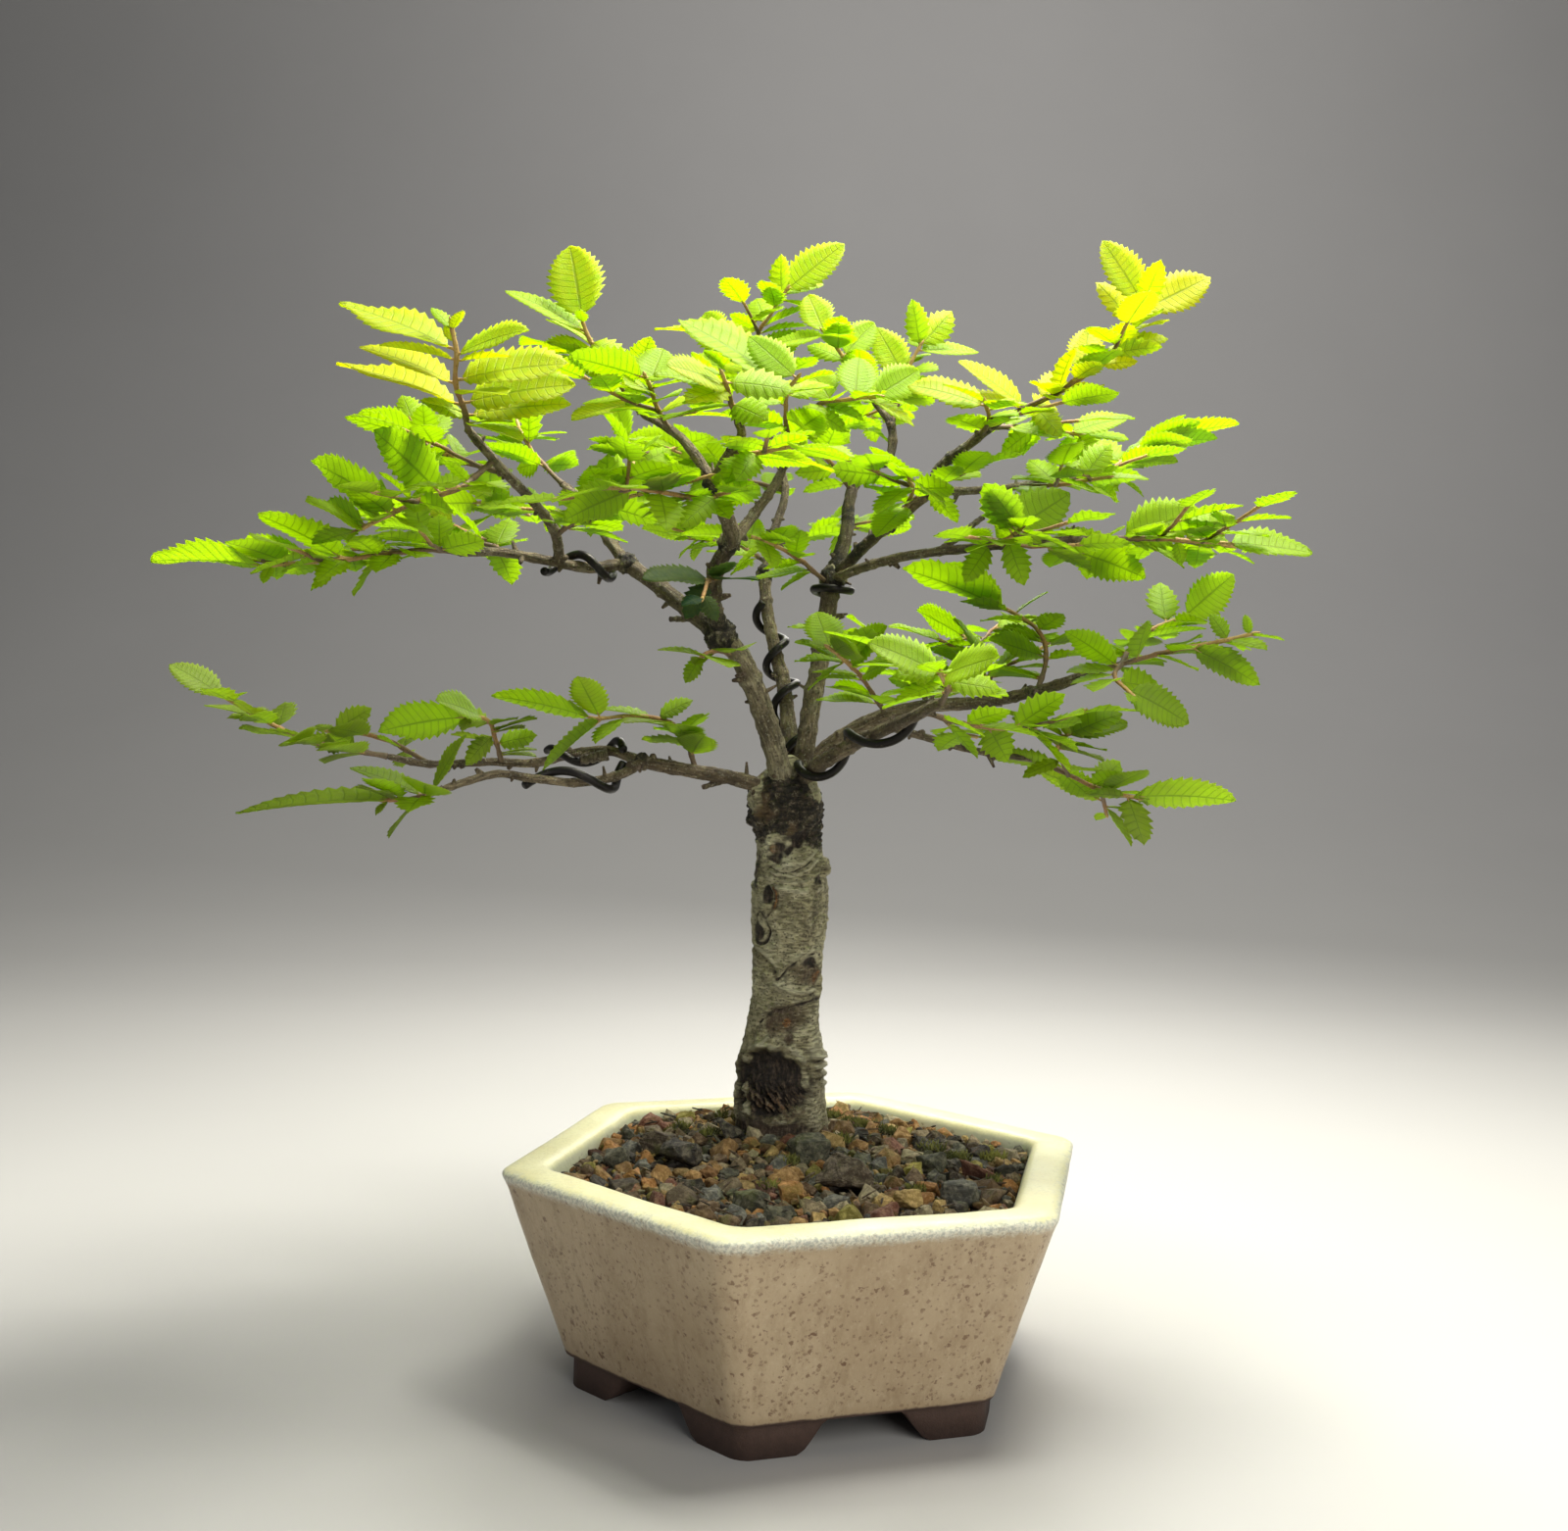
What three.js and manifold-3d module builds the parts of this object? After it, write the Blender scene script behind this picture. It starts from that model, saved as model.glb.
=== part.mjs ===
// A chinese elm trained as a small tree in a six-sided glazed pot.
// Millimetres, +Z up. The front of the tree faces -Y, and the pot stands on Z = 0.
// Routes are written from the pot's centre. The last lines move the origin under the whole tree's middle.
import * as THREE from 'three';
import { mergeVertices } from 'three/addons/utils/BufferGeometryUtils.js';
import Module from 'manifold-3d';

const wasm = await Module();
wasm.setup();

const DEG = Math.PI / 180;
const TURN = 2 * Math.PI;
const GAP = 0.3; // air between neighbouring pieces

// Pot: radii are centre to corner, heights are above the table
const POT = {
  turn: 16.8 * DEG, // first corner from +X
  rim: 85,
  rimTop: 59.4,
  opening: 70.9,
  wallTop: 83.5,
  lipBottom: 55,
  lipRound: 2.4,
  wallBottom: 67.1,
  wallBottomHeight: 10,
  foot: 64.1,
  footInside: 50,
  underside: 8.6,
  floor: 60,
  floorTop: 17,
  cornerRound: 8,
  drain: 7,
};
const ARCH = { bottom: 36, top: 19 }; // width of the cut-out between two feet

// Screen over the drain hole
const SCREEN = { side: 27, thick: 1, hole: 8, bar: 3 };

// Soil: level at the wall, mound at the trunk, and grit larger than life that covers it
const SOIL = { edge: 54.5, mound: 61.5, reach: 58, seed: 41 };
const GRIT = { spacing: 11.6, valley: 2.4, rise: 1.7, top: 2.9 }; // one stone's share of the surface
const BIG_STONES = [ // x, y, size
  [13, -22, 8.2], [-34, -6, 6.4], [2, -3, 5.8], [41, -33, 5.2], [49, -9, 5.2], [-14, -42, 4.4],
];

// Trunk: foot of the axis in the soil, and [height, radius, axis x, axis y]
const TRUNK_SIDES = 16;
const TRUNK = [
  [30, 11.5, -6, 25],
  [50, 13.5, -6, 25],
  [60, 13.9, -6, 25],
  [66, 13.5, -6, 25],
  [71, 13.1, -6, 24.5],
  [76, 12.8, -6, 24],
  [81, 12.2, -6, 24],
  [86, 11.4, -6, 24],
  [93, 10.5, -5.5, 24],
  [100, 10.1, -5, 24],
  [107, 10.2, -5, 24],
  [114, 10.6, -5, 24],
  [120, 11.1, -5, 23.5],
  [126, 11.3, -5, 23],
  [131, 11.2, -5, 23],
  [137, 10.2, -5, 22.5],
  [143, 9.5, -5.5, 22],
  [149, 9.6, -6, 22],
  [155, 10.1, -6, 22],
  [160, 9.8, -6.5, 22],
  [165, 7.6, -6.5, 22],
  [169, 4, -6, 22],
];
// Scars and knots: [height, bearing from +X, half height, half width as an angle, rise, hollow]
const KNOTS = [
  [75.4, 250, 9.5, 60, 1.6, 4.2],
  [104, 318, 4.5, 26, 0.9, 0.9],
  [92, 285, 3.5, 24, 0.7, 0.6],
  [118, 232, 4, 24, 0.6, 0.9],
  [129, 250, 3.5, 22, 0.6, 0.8],
  [127, 352, 3, 20, 1.5, 0],
  [157, 188, 6, 34, 1.8, 0],
  [137, 276, 2.5, 24, 0, 0.9],
];

// Limbs: [route, radius at the start, radius at the end]
const LIMBS = {
  low_left: [[[-7, 21, 157], [-12, 19, 161], [-23, 16, 164], [-36, 12, 166], [-48, 8, 168]], 2.3, 1.9],
  low_left_back: [
    [[-48, 8, 168], [-58, 12, 171], [-69, 18, 170], [-81, 22, 167], [-94, 20, 167], [-110, 14, 166],
      [-121, 8, 168]],
    1.5, 1.0,
  ],
  low_left_front: [
    [[-48, 8, 168], [-54, -2, 164], [-64, -10, 162], [-75, -18, 163], [-84, -24, 164], [-95, -37, 160]],
    1.4, 0.95,
  ],
  left_rise: [
    [[-7, 20, 156], [-8, 17, 164], [-11, 12, 175], [-16, 6, 189], [-21, 2, 199], [-26, 0, 204]],
    3.5, 2.95,
  ],
  left_reach: [[[-26, 0, 204], [-35, 4, 211], [-44, 8, 218], [-54, 10, 225]], 2.5, 2.15],
  left_flat: [[[-54, 10, 225], [-64, 6, 223], [-75, 0, 224], [-87, -8, 225], [-95, -20, 223]], 1.7, 1.1],
  left_lift: [[[-54, 10, 225], [-61, 14, 234], [-67, 20, 243], [-75, 26, 250]], 1.7, 1.2],
  left_fore: [[[-72, 2, 224], [-72, -8, 231], [-76, -20, 237], [-82, -34, 243], [-88, -48, 250]], 1.5, 1.1],
  left_stem: [
    [[-26, 0, 204], [-28, -6, 213], [-27, -10, 222], [-23, -14, 229], [-25, -20, 236], [-28, -24, 242]],
    2.4, 2.0,
  ],
  stem_left_fork: [[[-28, -24, 242], [-32, -22, 249], [-38, -20, 256], [-48, -18, 262]], 1.6, 1.0],
  stem_front_fork: [[[-28, -24, 242], [-24, -34, 247], [-20, -44, 251], [-21, -50, 254]], 1.7, 1.1],
  stem_right_fork: [[[-23, -14, 228], [-17, -4, 238], [-11, 6, 249], [-8, 14, 259], [-4, 20, 269]], 1.6, 1.0],
  back_rise: [
    [[-5, 25, 157], [-3, 34, 166], [-6, 44, 179], [-8, 52, 193], [-11, 56, 204], [-14, 60, 218],
      [-15, 64, 229]],
    2.7, 1.8,
  ],
  back_top: [[[-15, 64, 229], [-12, 70, 245], [-9, 74, 258], [-13, 80, 274], [-17, 84, 289]], 1.6, 0.95],
  right_rise: [
    [[-5, 23, 156], [-2, 25, 167], [0, 28, 183], [3, 30, 201], [5, 30, 217], [6, 30, 224]],
    2.95, 2.65,
  ],
  right_top: [
    [[6, 30, 224], [10, 36, 239], [11, 42, 250], [15, 46, 261], [23, 50, 264], [24, 52, 275], [18, 54, 284]],
    2.3, 1.1,
  ],
  right_up: [
    [[6, 30, 224], [16, 20, 234], [26, 14, 242], [33, 10, 248], [35, 8, 254], [43, 4, 260], [52, 0, 267]],
    1.9, 1.25,
  ],
  right_flat: [
    [[6, 30, 224], [15, 14, 226], [27, 2, 228], [43, -8, 229], [60, -16, 230], [77, -22, 230]],
    1.5, 1.1,
  ],
  right_side: [[[33, 10, 248], [44, 22, 250], [60, 30, 253], [73, 36, 257]], 1.4, 0.9],
  low_right_front: [
    [[-5, 20, 158], [-1, 16, 165], [5, 4, 170], [15, -14, 176], [25, -32, 181], [32, -46, 185]],
    2.4, 1.4,
  ],
  low_right_back: [
    [[-4, 24, 159], [1, 27, 169], [10, 27, 177], [21, 24, 183], [34, 16, 186], [48, 4, 187],
      [62, -8, 190], [76, -18, 195]],
    2.5, 1.35,
  ],
  low_right_under: [[[20, -22, 179], [33, -12, 176], [47, -4, 173], [65, 4, 171]], 1.1, 0.9],
};

// Swellings where limbs part, and short stubs left by pruning: [x, y, z, radius] and [from, to, radius]
const KNUCKLES = [
  [-26, 0, 204, 4.4], [6, 30, 224, 4.1], [-54, 10, 225, 3.2], [-28, -24, 242, 2.7],
  [-48, 8, 168, 2.5], [33, 10, 248, 2.7], [-15, 64, 229, 3], [-24, -13, 228, 3],
];
const STUBS = [
  [[-58, 10, 170], [-66, 9, 168], 1.5],
  [[-27, -6, 213], [-32, -8, 216], 1.4],
  [[-33, 3, 209], [-40, -3, 208], 0.9],
  [[23, 16, 240], [22, 9, 236], 1.2],
  [[34, -3, 228], [47, 1, 239], 1.0],
  [[-22, 17, 164], [-31, 14, 161], 0.9],
  [[60, -8, 190], [60, -18, 189], 1.3],
];

// Training wire wound on the limbs: [limb, its two ends as shares of the limb, turns, start bearing]
const WIRE = 1.25; // radius
const WIRE_ROOM = WIRE + GAP + 0.35; // from the wire's middle to the bark
const WIRES = {
  wire_low_left_front: ['low_left_front', 0.08, 0.62, 1.25, 150],
  wire_low_left_back: ['low_left_back', 0.08, 0.45, 1.25, 30],
  wire_left: ['left_flat', 0.06, 0.52, 1.25, 200],
  wire_back: ['back_rise', 0.2, 0.84, 3.25, 0],
  wire_low_right: ['low_right_front', 0.2, 0.78, 1.75, 90],
  wire_right: ['right_rise', 0.86, 0.97, 1, 200],
};

// Leafy shoots. Each springs from its limb at the point nearest to its route's first point.
// held: leaves that the front view shows, as [share of the shoot at its foot, tip x, y, z, lean]
// leaves: how many by rule, and length: the longest blade
// lean: degrees that a blade's face turns from the sky to the front
const SHOOTS = [
  { name: 'left_tip', limb: 'left_flat',
    route: [[-95, -20, 223], [-103, -25, 223], [-116, -32, 220], [-125, -38, 218], [-138, -48, 215]],
    held: [[0.98, -167, -47, 216, -10], [0.87, -144, -59, 217, -22], [0.75, -147, -37, 223, -18],
      [0.60, -139, -53, 224, -14], [0.43, -117, -47, 223, -50], [0.12, -103, -13, 234, 60],
      [0.12, -87, -31, 225, -40]] },
  { name: 'left_shelf', limb: 'left_fore',
    route: [[-83, -38, 245], [-91, -44, 236], [-98, -48, 233], [-106, -52, 228], [-114, -55, 223]],
    held: [[0.72, -126, -51, 241, -30], [0.76, -112, -66, 232, -35], [0.76, -94, -58, 223, -30],
      [0.95, -121, -71, 228, 50], [0.92, -125, -48, 228, -45], [0.58, -90, -55, 229, -40],
      [0.43, -112, -46, 250, -50]] },
  { name: 'left_high', limb: 'left_fore',
    route: [[-88, -48, 250], [-87, -58, 253], [-88, -64, 258], [-87, -68, 264], [-88, -70, 270]],
    held: [[0.82, -115, -68, 275, 28], [0.56, -111, -64, 266, 26], [0.36, -118, -59, 263, 20],
      [0.79, -69, -75, 268, 45], [0.59, -61, -64, 263, 45], [0.39, -60, -60, 259, 48],
      [0.24, -62, -53, 256, 42], [0.88, -90, -69, 270, 60]] },
  { name: 'left_under', limb: 'left_fore',
    route: [[-82, -33, 242], [-94, -28, 246], [-103, -24, 251], [-109, -20, 258]],
    held: [[0.86, -123, -22, 259, -25], [0.96, -113, -15, 266, 55], [0.76, -103, -16, 264, 70],
      [0.55, -102, -38, 246, -50]] },
  { name: 'left_crest', limb: 'stem_left_fork',
    route: [[-48, -18, 262], [-55, -22, 271], [-61, -26, 279], [-63, -28, 284]],
    held: [[0.98, -68, -19, 306, 90], [0.88, -82, -28, 294, 25], [0.84, -70, -26, 285, 25],
      [0.79, -51, -33, 270, 60], [0.14, -71, -19, 277, 25], [0.12, -65, -33, 264, 30]] },
  { name: 'left_near', limb: 'stem_left_fork',
    route: [[-41, -20, 257], [-42, -34, 259], [-43, -44, 262], [-44, -50, 264]],
    held: [[0.89, -41, -34, 275, 90], [0.77, -48, -58, 260, 70], [0.62, -36, -51, 263, 40],
      [0.45, -30, -41, 261, 40]] },
  { name: 'left_mid', limb: 'left_fore', leaves: 4, length: 20, lean: -42,
    route: [[-72, -6, 231], [-65, -16, 233], [-53, -26, 237], [-44, -34, 238]] },
  { name: 'left_back', limb: 'left_lift', leaves: 4, length: 20, lean: -47,
    route: [[-75, 26, 250], [-83, 32, 258], [-89, 38, 266], [-93, 44, 274]] },
  { name: 'left_rear', limb: 'left_lift', leaves: 3, length: 20, lean: -42,
    route: [[-64, 18, 241], [-78, 30, 242], [-92, 38, 245], [-104, 44, 247]] },
  { name: 'left_inner', limb: 'left_lift', leaves: 3, length: 19, lean: -47,
    route: [[-61, 14, 234], [-58, 26, 247], [-55, 34, 258], [-58, 40, 267]] },
  { name: 'left_low', limb: 'left_flat', leaves: 3, length: 19, lean: -42,
    route: [[-86, -7, 225], [-96, 8, 231], [-106, 18, 236], [-115, 24, 240]] },
  { name: 'stem_side', limb: 'left_stem', leaves: 4, length: 21, lean: -34,
    route: [[-26, -22, 238], [-34, -34, 237], [-45, -44, 237], [-53, -50, 236]] },
  { name: 'front_crest', limb: 'stem_front_fork',
    route: [[-21, -50, 254], [-22, -58, 256], [-23, -64, 258], [-24, -70, 260]],
    held: [[0.78, -36, -81, 259, 60], [0.67, -32, -75, 252, 50], [0.83, -7, -67, 257, 58],
      [0.37, -13, -67, 250, 80]] },
  { name: 'front_side', limb: 'stem_front_fork', leaves: 3, length: 22, lean: -27,
    route: [[-24, -36, 248], [-16, -48, 246], [-8, -56, 246]] },
  { name: 'stem_drop', limb: 'left_stem',
    route: [[-27, -9, 219], [-29, -18, 217], [-30, -24, 212]],
    held: [[0.50, -35, -17, 207, 88], [0.91, -26, -23, 206, 85]] },
  { name: 'knuckle_drop', limb: 'left_rise',
    route: [[-21, 2, 199], [-28, -6, 199], [-31, -10, 197]],
    held: [[0.97, -35, -10, 190, 75]] },
  { name: 'centre_top', limb: 'stem_right_fork',
    route: [[-4, 20, 269], [1, 14, 273], [8, 8, 273], [17, 4, 273]],
    held: [[0.75, 12, 20, 288, 90], [0.46, -2, 24, 284, 88], [0.96, 29, 13, 283, 88],
      [0.88, 29, 5, 269, 30], [0.98, 43, 4, 277, 6], [0.32, -3, 6, 264, 60]] },
  { name: 'crown_tip', limb: 'back_top',
    route: [[-16, 82, 286], [-20, 74, 295], [-20, 68, 305], [-15, 62, 312], [-10, 58, 319]],
    held: [[0.98, 8, 58, 334, 58], [0.72, -20, 75, 321, 90], [0.66, -31, 72, 311, 65],
      [0.56, -50, 62, 320, 14], [0.34, -30, 82, 301, 50]] },
  { name: 'centre_long', limb: 'stem_right_fork',
    route: [[-7, 15, 260], [-9, 2, 266], [-9, -6, 271], [-6, -12, 274]],
    held: [[0.83, -39, -8, 290, 35], [0.98, -20, -2, 283, 65], [0.72, 1, 3, 276, 60]] },
  { name: 'right_crest', limb: 'right_top',
    route: [[18, 54, 284], [12, 50, 291], [6, 46, 298], [2, 44, 302]],
    held: [[0.98, -3, 53, 316, 85], [0.96, -17, 44, 312, 18], [0.63, 18, 54, 308, 88],
      [0.57, -3, 53, 300, 55], [0.22, 24, 59, 288, 60]] },
  { name: 'right_crest_side', limb: 'right_top',
    route: [[24, 52, 275], [27, 56, 287], [30, 56, 296], [33, 56, 302]],
    held: [[0.98, 43, 60, 314, 88], [0.98, 29, 60, 318, 85], [0.98, 57, 56, 315, 60],
      [0.93, 52, 60, 304, 35], [0.60, 19, 59, 308, 75], [0.66, 38, 47, 292, 50]] },
  { name: 'right_inner', limb: 'right_top', leaves: 3, length: 18, lean: -47,
    route: [[12, 43, 253], [4, 36, 261], [-2, 30, 263]] },
  { name: 'back_left', limb: 'back_top', leaves: 4, length: 21, lean: -42,
    route: [[-10, 74, 258], [-22, 84, 263], [-35, 90, 269], [-45, 94, 274]] },
  { name: 'back_right', limb: 'back_top', leaves: 4, length: 21, lean: -42,
    route: [[-13, 80, 274], [0, 90, 281], [12, 98, 286], [24, 104, 290]] },
  { name: 'back_high', limb: 'back_top', leaves: 3, length: 21, lean: 60,
    route: [[-17, 84, 289], [-26, 92, 299], [-32, 98, 310]] },
  { name: 'back_low_left', limb: 'back_top', leaves: 3, length: 19, lean: -42,
    route: [[-14, 66, 234], [-21, 74, 238], [-30, 84, 242], [-42, 90, 244]] },
  { name: 'back_low_right', limb: 'back_top', leaves: 3, length: 19, lean: -42,
    route: [[-13, 68, 240], [-2, 78, 243], [7, 86, 247], [19, 92, 250]] },
  { name: 'right_tip', limb: 'right_up',
    route: [[52, 0, 267], [66, -4, 273], [78, -6, 281], [84, -7, 287], [89, -9, 298]],
    held: [[0.98, 77, -9, 314, 62], [0.93, 107, -8, 305, 62], [0.86, 77, -8, 304, 72],
      [0.98, 96, -9, 310, 65], [0.47, 76, 3, 293, 88], [0.76, 96, -7, 288, 50],
      [0.58, 88, -6, 282, 55], [0.35, 77, -4, 274, 72], [0.22, 69, 4, 281, 82],
      [0.13, 39, -2, 282, 32], [0.12, 38, -2, 278, 58], [0.17, 67, -12, 263, 60]] },
  { name: 'right_near', limb: 'right_up',
    route: [[46, 3, 262], [47, -8, 265], [45, -14, 268]],
    held: [[0.89, 26, -2, 271, 45], [0.64, 54, -16, 264, 40], [0.98, 33, -20, 271, 20]] },
  { name: 'right_shoulder', limb: 'right_up',
    route: [[49, 2, 265], [61, 12, 267], [73, 22, 268], [82, 28, 268]],
    held: [[0.80, 92, 24, 273, 42], [0.19, 67, -6, 265, 32], [0.45, 53, 10, 259, -50],
      [0.89, 80, 16, 259, -55]] },
  { name: 'right_rear', limb: 'right_side',
    route: [[73, 36, 257], [85, 44, 259], [95, 50, 264], [106, 56, 274]],
    held: [[0.95, 134, 55, 279, -8], [0.86, 127, 54, 274, -14], [0.69, 114, 51, 266, -18],
      [0.68, 88, 61, 274, 62], [0.38, 78, 52, 268, 60]] },
  { name: 'right_side_tip', limb: 'right_side',
    route: [[62, 31, 253], [71, 20, 252], [77, 12, 252], [83, 6, 252]],
    held: [[0.90, 95, 8, 252, 22], [0.72, 85, 21, 262, 82], [0.95, 85, -3, 245, 55],
      [0.44, 64, 30, 261, 60]] },
  { name: 'right_flat_tip', limb: 'right_flat',
    route: [[77, -22, 230], [88, -26, 230], [98, -30, 229], [106, -34, 228]],
    held: [[0.12, 102, -23, 238, 78], [0.64, 109, -29, 236, 70], [0.98, 128, -34, 226, 38],
      [0.58, 96, -28, 223, 60], [0.30, 91, -32, 221, -40]] },
  { name: 'right_fore', limb: 'right_flat',
    route: [[45, -9, 229], [50, -26, 229], [53, -38, 231]],
    held: [[0.26, 68, -17, 243, 78], [0.60, 55, -26, 217, 75], [0.22, 40, -18, 219, 60]] },
  { name: 'right_below', limb: 'right_flat',
    route: [[63, -17, 230], [73, -6, 229], [83, 2, 228]],
    held: [[0.44, 91, -8, 222, -42], [0.75, 91, -2, 230, -28], [0.20, 75, -4, 234, 40]] },
  { name: 'right_middle', limb: 'right_up', leaves: 3, length: 18, lean: 50,
    route: [[26, 15, 241], [27, 0, 245], [25, -10, 248]] },
  { name: 'right_back', limb: 'right_rise', leaves: 3, length: 18, lean: -37,
    route: [[6, 30, 222], [-4, 18, 228], [-12, 8, 231], [-18, 0, 232]] },
  { name: 'low_right_twig', limb: 'low_right_back',
    route: [[63, -8, 191], [66, 2, 201], [64, 10, 209], [55, 18, 216]],
    held: [[0.98, 39, 17, 228, -22], [0.93, 26, 16, 226, -18], [0.87, 68, 15, 220, 4],
      [0.63, 70, -1, 212, -55], [0.54, 55, 15, 209, -30]] },
  { name: 'low_right_near', limb: 'low_right_front',
    route: [[32, -46, 185], [32, -60, 188], [29, -76, 189], [27, -90, 190]],
    held: [[0.78, 39, -97, 193, 60], [0.87, 17, -84, 189, 55], [0.58, 43, -71, 187, 60],
      [0.20, 17, -47, 183, 6], [0.23, 46, -49, 184, 8], [0.87, 10, -84, 195, 50]] },
  { name: 'low_right_inner', limb: 'low_right_back',
    route: [[23, 24, 183], [15, 12, 193], [9, 2, 198], [4, -6, 201]],
    held: [[0.96, 1, 9, 212, 60], [0.76, -5, 2, 203, 20], [0.68, 20, -8, 207, 55],
      [0.47, 27, -3, 200, 50], [0.26, 7, 24, 192, -30]] },
  { name: 'low_right_tip', limb: 'low_right_back',
    route: [[76, -18, 195], [82, -22, 197], [96, -26, 201], [106, -29, 203], [114, -31, 205]],
    held: [[0.98, 112, -31, 210, 45], [0.85, 103, -30, 210, 75], [0.86, 115, -40, 202, 30],
      [0.98, 123, -31, 205, 35], [0.62, 120, -27, 198, -28], [0.40, 99, -35, 195, -12],
      [0.90, 116, -29, 209, 70]],
    forks: [
      { at: 1, route: [[88, -10, 204], [96, -6, 209], [104, -4, 212]],
        held: [[0.80, 98, 4, 222, 90], [0.96, 118, -4, 222, 78], [0.98, 124, -4, 215, 12]] },
      { at: 1, route: [[78, -32, 193], [81, -40, 188]],
        held: [[0.67, 92, -26, 190, 65], [0.86, 96, -38, 181, 62]] },
    ] },
  { name: 'low_right_under', limb: 'low_right_under',
    route: [[65, 4, 171], [73, 2, 167], [82, 0, 163], [91, -3, 161]],
    held: [[0.92, 119, -2, 161, -28], [0.91, 77, -2, 162, -28], [0.60, 89, 9, 171, 80],
      [0.19, 49, 3, 173, -22], [0.21, 80, 5, 161, -60]],
    forks: [
      { at: 1, route: [[68, -8, 174], [69, -16, 178]],
        held: [[0.98, 84, -15, 184, 42], [0.97, 90, -15, 182, 2], [0.95, 51, -15, 184, 4],
          [0.74, 79, -20, 174, -8]] },
      { at: 2, route: [[84, 7, 160], [86, 12, 156]],
        held: [[0.60, 62, 8, 162, -32]] },
    ] },
  { name: 'low_right_mid', limb: 'low_right_front', leaves: 4, length: 20, lean: -42,
    route: [[28, -38, 182], [38, -36, 180], [48, -32, 179], [58, -28, 179]] },
  { name: 'low_right_back', limb: 'low_right_back', leaves: 4, length: 20, lean: -42,
    route: [[48, 4, 187], [52, 16, 196], [50, 26, 204], [46, 32, 208]] },
  { name: 'low_right_rear', limb: 'low_right_back', leaves: 3, length: 19, lean: -42,
    route: [[35, 16, 186], [32, 32, 196], [27, 44, 203], [22, 50, 207]] },
  { name: 'low_left_tip', limb: 'low_left_back',
    route: [[-121, 8, 168], [-138, 2, 171], [-150, -3, 176], [-163, -9, 184]],
    held: [[0.98, -177, -9, 192, 35], [0.97, -178, -8, 184, -28], [0.94, -156, -8, 185, 0],
      [0.63, -151, 10, 183, 88], [0.41, -161, 1, 175, -10], [0.26, -145, 7, 171, -50]] },
  { name: 'low_left_curl', limb: 'low_left_back',
    route: [[-110, 14, 166], [-122, 18, 172], [-134, 20, 175], [-141, 20, 175]],
    held: [[0.97, -129, 20, 182, 78], [0.78, -144, 27, 169, -60], [0.58, -119, 14, 171, -30]] },
  { name: 'low_left_rise', limb: 'low_left_back',
    route: [[-90, 21, 167], [-91, 12, 174], [-92, 6, 179], [-97, 2, 180]],
    held: [[0.98, -122, 2, 175, -40], [0.82, -108, -7, 179, 52], [0.50, -99, 11, 166, 55],
      [0.33, -79, 13, 175, 60]] },
  { name: 'low_left_inner', limb: 'low_left',
    route: [[-32, 13, 166], [-37, 10, 177], [-47, 9, 181], [-62, 6, 180]],
    held: [[0.98, -91, 6, 186, -18], [0.93, -86, 7, 176, -35], [0.55, -61, 9, 183, 12],
      [0.53, -34, 9, 186, 45], [0.36, -50, 11, 185, 10]] },
  { name: 'low_left_fore', limb: 'low_left_front',
    route: [[-95, -37, 160], [-100, -41, 158], [-108, -43, 157]],
    held: [[0.77, -146, -42, 153, 9], [0.37, -118, -40, 165, 12], [0.22, -78, -39, 166, 10]] },
];
const TWIG = { start: 0.95, end: 0.6, sides: 3 }; // radii at its two ends
const LEAF = {
  angle: 52, // between blade and shoot
  width: 0.29, // half width as a share of the length
  teeth: 4, // a side, larger than life
  short: 20, // shorter blades have a tooth less
  notch: 0.8, // width left at a notch
  rib: 0.65, // half thickness along the midrib
  fold: 0.14, // rise of the blade's sides from the midrib
  arch: 0.1, // droop of the tip as a share of the length
  seed: 7,
};
// Ways to hold a leaf, tried until it touches nothing: [pitch, roll, yaw, share of its length], in degrees
const TURNS = [
  [0, 0, 0, 1], [8, 0, 0, 1], [-8, 0, 0, 1], [0, 14, 6, 1], [0, -14, -6, 1], [14, 0, 6, 1], [-14, 0, -6, 1],
  [22, 0, 0, 0.95], [-22, 0, 0, 0.95], [0, 35, 15, 0.9], [0, -35, -15, 0.9], [40, 20, 0, 0.85],
  [-40, -20, 0, 0.85], [0, 0, 30, 0.8], [0, 0, -30, 0.8],
];

const ROOM = { own: 0.5, other: 1.7, wood: 1.1 }; // between a blade's middle and its own spray, another, wood

const COLOURS = {
  glaze: '#cfc3ab', screen: '#22231f', soil: '#6d5439', bark: '#6e6650', wire: '#1c1b1a', leaf: '#8fc81e',
};

// Vectors and draws

const vec = (p) => new THREE.Vector3(...p);
const mix = (a, b, t) => a + (b - a) * t;

// Park and Miller's draw, 0 to 1
function makeDraw(seed) {
  let state = seed * 7919 + 13;
  return () => {
    state = (state * 16807) % 2147483647;
    return state / 2147483647;
  };
}

// A smooth curve through the points, with the given steps between each two
function smooth(points, steps) {
  const p = points.map(vec);
  const first = p[0].clone().multiplyScalar(2).sub(p[1]);
  const last = p[p.length - 1].clone().multiplyScalar(2).sub(p[p.length - 2]);
  const all = [first, ...p, last];
  const curve = [];
  for (let i = 1; i < all.length - 2; i += 1) {
    for (let k = 0; k < steps; k += 1) {
      const t = k / steps;
      const tt = t * t;
      const ttt = tt * t;
      curve.push(new THREE.Vector3()
        .addScaledVector(all[i - 1], -0.5 * t + tt - 0.5 * ttt)
        .addScaledVector(all[i], 1 - 2.5 * tt + 1.5 * ttt)
        .addScaledVector(all[i + 1], 0.5 * t + 2 * tt - 1.5 * ttt)
        .addScaledVector(all[i + 2], -0.5 * tt + 0.5 * ttt));
    }
  }
  curve.push(p[p.length - 1].clone());
  return curve;
}

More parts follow.
